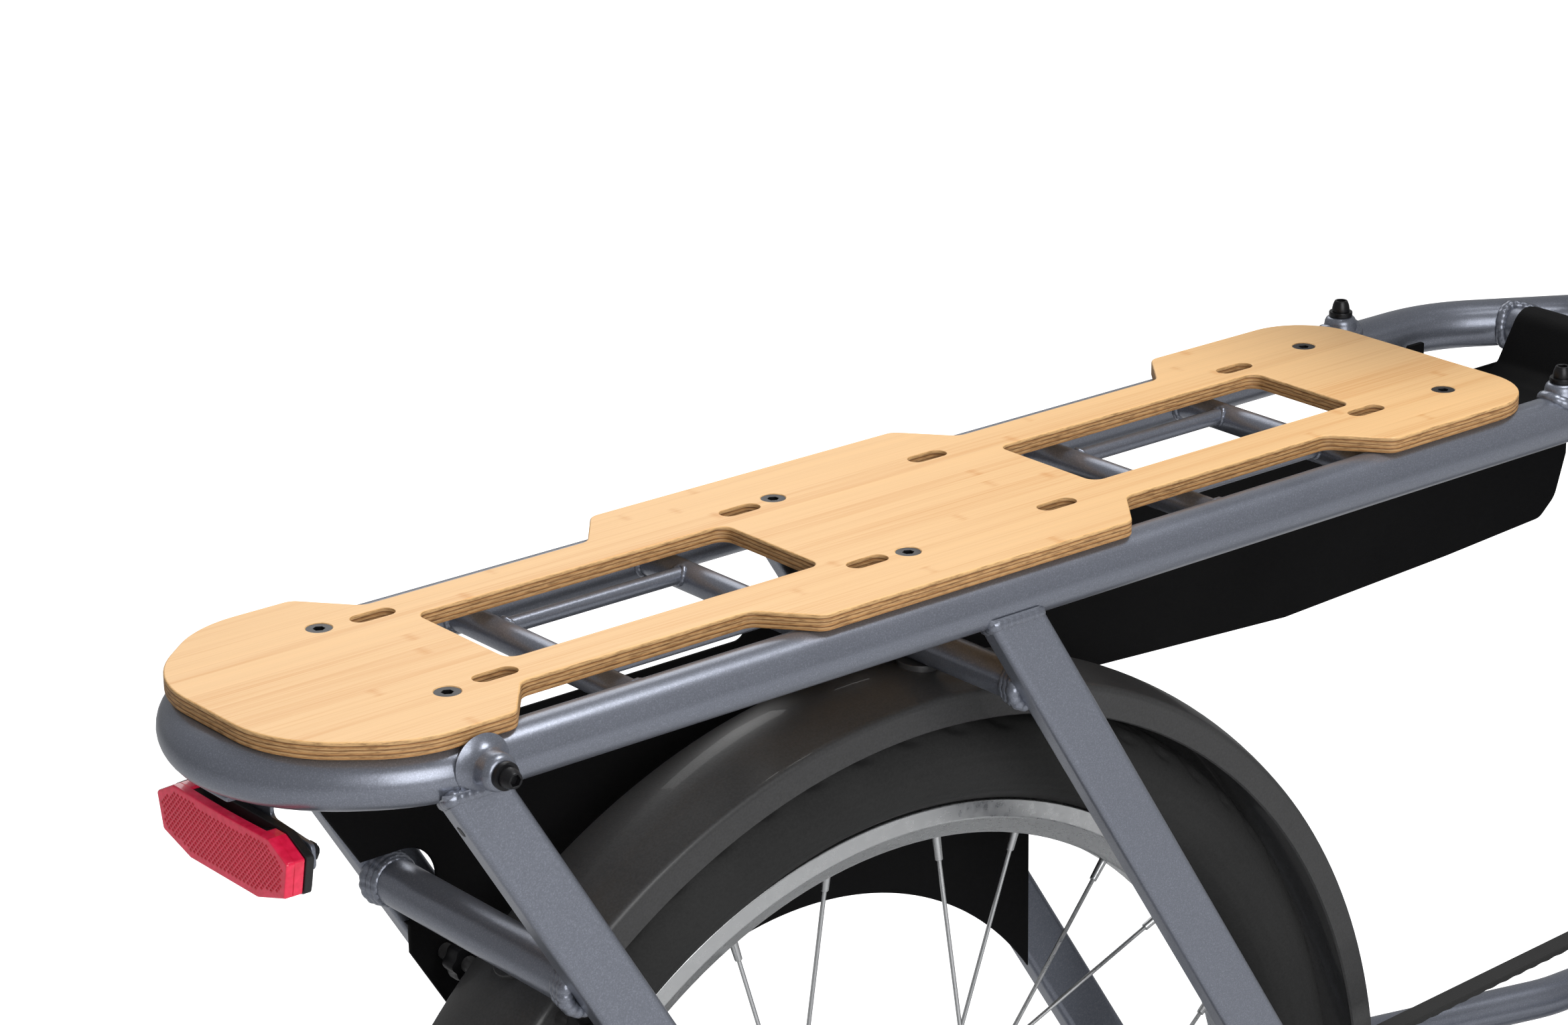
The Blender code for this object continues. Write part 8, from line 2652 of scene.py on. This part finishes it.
def plain_surface(name, colour):
    """A matt surface that the camera and clear plastic see as plain white light."""
    material = bpy.data.materials.new(name)
    material.use_nodes = True
    tree = material.node_tree
    tree.nodes.clear()
    matt = node(tree, "ShaderNodeBsdfDiffuse", Color=(*colour, 1.0))
    out = tree.nodes.new("ShaderNodeOutputMaterial")
    glow = node(tree, "ShaderNodeEmission", Color=(1.0, 1.0, 1.0, 1.0), Strength=FLOOR_GLOW)
    both = tree.nodes.new("ShaderNodeAddShader")
    seen = seen_ray(tree)
    mixed = tree.nodes.new("ShaderNodeMixShader")
    tree.links.new(matt.outputs[0], both.inputs[0])
    tree.links.new(glow.outputs[0], both.inputs[1])
    tree.links.new(seen, mixed.inputs["Fac"])
    tree.links.new(matt.outputs[0], mixed.inputs[1])
    tree.links.new(both.outputs[0], mixed.inputs[2])
    tree.links.new(mixed.outputs[0], out.inputs["Surface"])
    return material


def seen_ray(tree):
    """1 for rays from the camera and through clear plastic, and 0 for those that light the object."""
    path = tree.nodes.new("ShaderNodeLightPath")
    return maths(tree, "MAXIMUM", path.outputs["Is Camera Ray"], path.outputs["Is Transmission Ray"])


def white_world():
    """Even light from all round, seen as white."""
    world = bpy.data.worlds.new("studio")
    world.use_nodes = True
    tree = world.node_tree
    tree.nodes.clear()
    soft = node(tree, "ShaderNodeBackground", Color=(1.0, 1.0, 1.0, 1.0), Strength=WORLD_LIGHT)
    white = node(tree, "ShaderNodeBackground", Color=(1.0, 1.0, 1.0, 1.0), Strength=1.0)
    mixed = tree.nodes.new("ShaderNodeMixShader")
    tree.links.new(seen_ray(tree), mixed.inputs["Fac"])
    tree.links.new(soft.outputs[0], mixed.inputs[1])
    tree.links.new(white.outputs[0], mixed.inputs[2])
    out = tree.nodes.new("ShaderNodeOutputWorld")
    tree.links.new(mixed.outputs[0], out.inputs["Surface"])
    bpy.context.scene.world = world


def soft_box(name, spot, aim, size, power):
    """A square lamp that faces a point."""
    light = bpy.data.lights.new(name, "AREA")
    light.shape = "SQUARE"
    light.size = size
    light.energy = power
    obj = new_object(name, light)
    away = Vector(design(spot)) - Vector(design(aim))
    obj.matrix_world = Matrix.Translation(design(spot)) @ away.to_track_quat("Z", "Y").to_matrix().to_4x4()


def photo_camera():
    """The camera where the photograph was taken from, from its turn, rise and roll."""
    lens = bpy.data.cameras.new("photo_camera")
    lens.sensor_width = SENSOR_WIDTH
    lens.lens = LENS_PIXELS / PICTURE_WIDTH * SENSOR_WIDTH
    lens.clip_end = 60.0
    camera = new_object("photo_camera", lens)
    turn, rise, roll = (math.radians(angle) for angle in CAMERA_ANGLES)
    back = Vector((math.sin(turn) * math.cos(rise), -math.cos(turn) * math.cos(rise), math.sin(rise)))
    right = Vector((0.0, 0.0, 1.0)).cross(back).normalized()
    up = back.cross(right)
    rolled = right * math.cos(roll) + up * math.sin(roll)
    axes = Matrix((rolled, back.cross(rolled), back)).transposed().to_4x4()
    camera.matrix_world = Matrix.Translation(design(CAMERA_SPOT)) @ axes
    bpy.context.scene.camera = camera


class BIKE_OT_kept_solids(bpy.types.Operator):
    """Give the solids whose shape is kept their finishes."""

    bl_idname = "bike.kept_solids"
    bl_label = "Finish the solids"

    def execute(self, context):
        words = {slot: word for word, slot in reversed(SLOTS.items())}
        for row in frame["record"]["subparts"]:
            dress(words[row["material_slot"]], row["node"])
        return {"FINISHED"}


class BIKE_OT_rack(bpy.types.Operator):
    """Make the rack loop, its two grids and the four boss screws."""

    bl_idname = "bike.rack"
    bl_label = "Rack"

    def execute(self, context):
        piece("rack_tubes", rack_shape(), "frame", "frame", "rack_loop")
        for word, first_x, second_x in GRID_PAIRS:
            piece(f"grid_{word}", grid_shape(first_x, second_x), "frame", "frame", f"rack_grid_{word}")
        for index, (x, y, z) in enumerate((REAR_BOSS, FRONT_BOSS)):
            way = (LEFT, UP)[index]
            for turn, side in enumerate(SIDES.values()):
                shape = boss_bolt_shape((x, side * y, z), way * (1.0, side, 1.0))
                name = f"boss_bolt_{1 + index + 2 * turn}"
                piece(f"{name}_fine", shape, "coated", "frame", name)
        return {"FINISHED"}


class BIKE_OT_struts(bpy.types.Operator):
    """Make the four struts, the two bridge tubes and the chainstays."""

    bl_idname = "bike.struts"
    bl_label = "Struts and stays"

    def execute(self, context):
        for word, side in SIDES.items():
            for name, spot, lean, thickness in STRUTS:
                shape = strut_shape(spot, lean, thickness, side)
                piece(f"{name}_{word}_tube", shape, "frame", "frame", f"{name}_{word}")
            # The drain's black disc is painted shade of the hole's inside.
            piece(f"strut_drain_{word}", painted_drain_shade_shape(*STRUTS[0][1:], side), "plastic", "frame")
            piece(f"stay_{word}", chainstay_shape(side), "frame", "frame", f"chainstay_{word}")
        for name, spot, radius in BRIDGES:
            piece(name.replace("_tube", ""), bridge_shape(spot, radius), "frame", "frame", name)
        return {"FINISHED"}


class BIKE_OT_deck(bpy.types.Operator):
    """Make the bamboo board and its six countersunk screws."""

    bl_idname = "bike.deck"
    bl_label = "Bamboo deck"

    def execute(self, context):
        flat = 0.80
        board = piece("bamboo_board", deck_shape(), "bamboo", "frame", "deck_board", 30.0)
        second_finish(board, "edge", lambda places, normals: np.abs(normals[:, 2]) < flat)
        spots = [(x, y) for x in BOLT_X for y in (BOLT_Y, -BOLT_Y)]
        for index, (x, y) in enumerate(spots):
            name = f"deck_bolt_{index + 1}"
            piece(f"{name}_fine", deck_bolt_shape(x, y), "coated", "frame", name)
        return {"FINISHED"}


class BIKE_OT_reflector(bpy.types.Operator):
    """Make the rear reflector's lens, tray and folded bracket."""

    bl_idname = "bike.reflector"
    bl_label = "Reflector"

    def execute(self, context):
        piece("lens", lens_shape(), "clear_red", "frame", "reflector_lens", 30.0)
        piece("lens_prisms", prism_shape(), "lens", "frame", angle=10.0)
        piece("lens_tray", housing_shape(), "plastic", "frame", "reflector_housing")
        plate_part, nuts = reflector_bracket_shape()
        piece("lens_bracket", plate_part, "frame", "frame", "reflector_bracket")
        piece("lens_nuts", nuts, "coated", "frame")
        return {"FINISHED"}


class BIKE_OT_covers(bpy.types.Operator):
    """Make the rear fender, the wheel skirt with its ribs and the guard over the front tube."""

    bl_idname = "bike.covers"
    bl_label = "Fender, skirt and guard"

    def execute(self, context):
        piece("fender_rear", rear_fender_shape(), "fender", "frame", "rear_fender")
        piece("fender_knobs", join(knob_shape(KNOB, 1.0), knob_shape(KNOB, -1.0)), "coated", "frame")
        piece("skirt", skirt_shape(), "sheet", "frame", "wheel_skirt")
        piece("skirt_ribs", skirt_rib_shape(), "sheet", "frame")
        piece("guard", guard_shape(), "sheet", "frame", "spray_guard", 60.0)
        return {"FINISHED"}


class BIKE_OT_wheels(bpy.types.Operator):
    """Make both wheels: treaded tyres, rims, crossing spokes, hubs and brake discs."""

    bl_idname = "bike.wheels"
    bl_label = "Wheels"

    def execute(self, context):
        places = (
            ("rear", REAR_AXLE, REAR_HUB, REAR_ROTOR_Y, -BELT_Y + 0.006),
            ("front", FRONT_AXLE, FRONT_HUB, FRONT_ROTOR_Y, 0.0),
        )
        for word, centre, hub, rotor_y, driver in places:
            body = f"{word}_wheel_body"
            piece(f"{word}_tread", tyre_shape(centre), "tyre", body, f"{word}_tyre")
            piece(f"{word}_rim", rim_shape(centre), "alloy", body, f"{word}_wheel")
            piece(f"{word}_spokes", join(*spoke_shapes(centre, hub[0], hub[1])), "alloy", body)
            piece(f"{word}_hub", hub_shape(centre, *hub, driver), "hub", body)
            piece(f"{word}_disc", rotor_shape(centre, rotor_y), "disc", body)
        return {"FINISHED"}


class BIKE_OT_drive(bpy.types.Operator):
    """Make the belt ring, cranks, pedals, rear sprocket and belt."""

    bl_idname = "bike.drive"
    bl_label = "Belt drive"

    def execute(self, context):
        spindle_end = CRANK_IN_Y + CRANK_T * 0.7
        spindle = pin(BB, -CRANK_IN_Y, spindle_end - 0.001, SPINDLE_R, 40)
        piece("crank_arm_right", join(*crank_shape(-1.0, -1.0), spindle), "coated", "crank", "crank_right")
        piece("belt_ring", ring_shape(), "coated", "crank")
        piece("crank_arm_left", join(*crank_shape(1.0, 1.0)), "coated", "crank", "crank_left")
        piece("platform_right", pedal_shape(-1.0, -1.0), "plastic", "pedal_right", "pedal_right")
        piece("platform_left", pedal_shape(1.0, 1.0), "plastic", "pedal_left", "pedal_left")
        loops = [toothed_loop(REAR_AXLE, SPROCKET_R, SPROCKET_TEETH)]
        loops.append(full_circle(REAR_AXLE, DRIVER_R + CLEAR, 60))
        holes = 6
        for i in range(holes):
            mid = math.tau * (i + 0.5) / holes
            loops.append(full_circle(wheel_point(REAR_AXLE, 0.030, mid)[::2], 0.0042, 20))
        half = SPROCKET_T / 2.0
        shape = side_plate(loops, BELT_Y - half, BELT_Y + half, 0.0006)
        piece("belt_sprocket", shape, "coated", "sprocket", "rear_sprocket")
        piece("toothed_belt", belt_shape(), "rubber", "frame", "drive_belt")
        return {"FINISHED"}


class BIKE_OT_main_frame(bpy.types.Operator):
    """Make the main frame, motor, battery, seat clamp and rear caliper."""

    bl_idname = "bike.main_frame"
    bl_label = "Main frame and motor"

    def execute(self, context):
        piece("frame_tubes", main_frame_shape(), "frame", "frame", "main_frame")
        piece("motor_case", motor_shape(), "plastic", "frame", "motor_unit")
        case, metal, glass = battery_shapes()
        piece("battery_case", case, "plastic", "battery", "battery")
        piece("battery_lock", metal, "alloy", "battery")
        piece("battery_lights", glass, "screen", "battery")
        piece("seat_collar", clamp_shape(), "coated", "frame", "seat_clamp")
        piece("rear_brake", caliper_shape(REAR_AXLE, *REAR_CALIPER), "coated", "frame", "rear_caliper")
        return {"FINISHED"}


class BIKE_OT_steering(bpy.types.Operator):
    """Make the fork, front fender, stem, bar, grips, brakes, display, button and headlight."""

    bl_idname = "bike.steering"
    bl_label = "Steering"

    def execute(self, context):
        piece("fork_tubes", fork_shape(), "frame", "steering", "fork")
        shell, wires = front_fender_shapes()
        piece("front_mudguard", shell, "fender", "steering", "front_fender")
        piece("front_fender_stays", wires, "coated", "steering")
        piece("front_brake", caliper_shape(FRONT_AXLE, *FRONT_CALIPER), "coated", "steering", "front_caliper")
        piece("stem_clamp", stem_shape(), "coated", "steering", "stem")
        piece("bar_tube", handlebar_shape(), "coated", "steering", "handlebar")
        for word, side in SIDES.items():
            piece(f"grip_sleeve_{word}", grip_shape(side), "rubber", "steering", f"grip_{word}")
            piece(f"brake_clamp_{word}", brake_shape(side), "coated", "steering", f"brake_body_{word}")
            piece(f"brake_blade_{word}", lever_shape(side), "alloy", f"lever_{word}", f"lever_{word}")
        case, glass, button = display_shapes()
        piece("display_case", case, "plastic", "steering", "display")
        piece("display_screen", glass, "screen", "steering")
        piece("button_cap", button, "rubber", "assist_button", "assist_button")
        case, glass = headlight_shapes()
        piece("lamp_case", case, "plastic", "steering", "headlight")
        piece("lamp_cover", glass, "lamp", "steering")
        return {"FINISHED"}


class BIKE_OT_seat(bpy.types.Operator):
    """Make the seatpost, the padded saddle with its seam, base and rails, and the centre stand."""

    bl_idname = "bike.seat"
    bl_label = "Seatpost and stand"

    def execute(self, context):
        piece("post_tube", seatpost_shape(), "alloy", "saddle_post", "seatpost")
        piece("saddle_rails", rails_shape(), "alloy", "saddle_post")
        piece("saddle_base", saddle_base_shape(), "plastic", "saddle_post")
        pad = piece("saddle_pad", pad_shape(), "saddle", "saddle_post", "saddle", weigh=False)
        inflate(pad, DECK_H + PAD_LOW + 0.003, PAD_SWELL)
        line = saddle_line(SEAM_INSET) + SHIFT[:2]
        sew(pad, even_path(line, 0.0015, closed=True), SEAM_DEPTH, SEAM_WIDTH)
        threads = stitch_shape(pad, line, STITCH, STITCH_STEP)
        piece("saddle_seam", threads, "rubber", "saddle_post")
        legs, feet = stand_shapes()
        piece("stand_legs", legs, "coated", "centre_stand", "centre_stand")
        piece("stand_feet", feet, "rubber", "centre_stand")
        return {"FINISHED"}


class BIKE_OT_studio(bpy.types.Operator):
    """Make the floor, the lamps, the white surroundings and the camera."""

    bl_idname = "bike.studio"
    bl_label = "Studio"

    def execute(self, context):
        settings = bpy.context.scene.view_settings
        settings.view_transform = "Standard"
        mesh = bpy.data.meshes.new("floor")
        corners = [(x * FLOOR_REACH, y * FLOOR_REACH, 0.0) for x, y in ((-1, -1), (1, -1), (1, 1), (-1, 1))]
        mesh.from_pydata(corners, [], [(0, 1, 2, 3)])
        floor = new_object("floor", mesh)
        mesh.materials.append(plain_surface("pale_floor", (FLOOR_GREY,) * 3))
        white_world()
        for name, spot, size, power in LAMPS:
            soft_box(name, spot, LAMP_AIM, size, power)
        photo_camera()
        return {"FINISHED"}


class BIKE_PT_workshop(bpy.types.Panel):
    """Buttons for every piece, with the sizes and colours above them."""

    bl_label = "Cargo bicycle"
    bl_idname = "BIKE_PT_workshop"
    bl_space_type = "VIEW_3D"
    bl_region_type = "UI"
    bl_category = "Bicycle"

    def draw(self, context):
        layout = self.layout
        for group in (sizes(), colours()):
            box = layout.box()
            for name in group.__annotations__:
                box.prop(group, name)
        for step in STEPS:
            layout.operator(step.bl_idname)


STEPS = (
    BIKE_OT_kept_solids, BIKE_OT_rack, BIKE_OT_struts, BIKE_OT_deck, BIKE_OT_reflector, BIKE_OT_covers,
    BIKE_OT_wheels, BIKE_OT_drive, BIKE_OT_main_frame, BIKE_OT_steering, BIKE_OT_seat, BIKE_OT_studio,
)
CLASSES = (BikeSizes, BikeColours, *STEPS, BIKE_PT_workshop)


def register():
    """Add the panel with its buttons, sizes and colours."""
    for kind in CLASSES:
        bpy.utils.register_class(kind)
    bpy.types.Scene.bike_sizes = PointerProperty(type=BikeSizes)
    bpy.types.Scene.bike_colours = PointerProperty(type=BikeColours)


def unregister():
    """Take the panel and what belongs to it away."""
    del bpy.types.Scene.bike_colours
    del bpy.types.Scene.bike_sizes
    for kind in reversed(CLASSES):
        bpy.utils.unregister_class(kind)


def main():
    """Run every step in turn."""
    register()
    for step in STEPS:
        group, name = step.bl_idname.split(".")
        getattr(getattr(bpy.ops, group), name)()


if __name__ == "__main__":
    main()
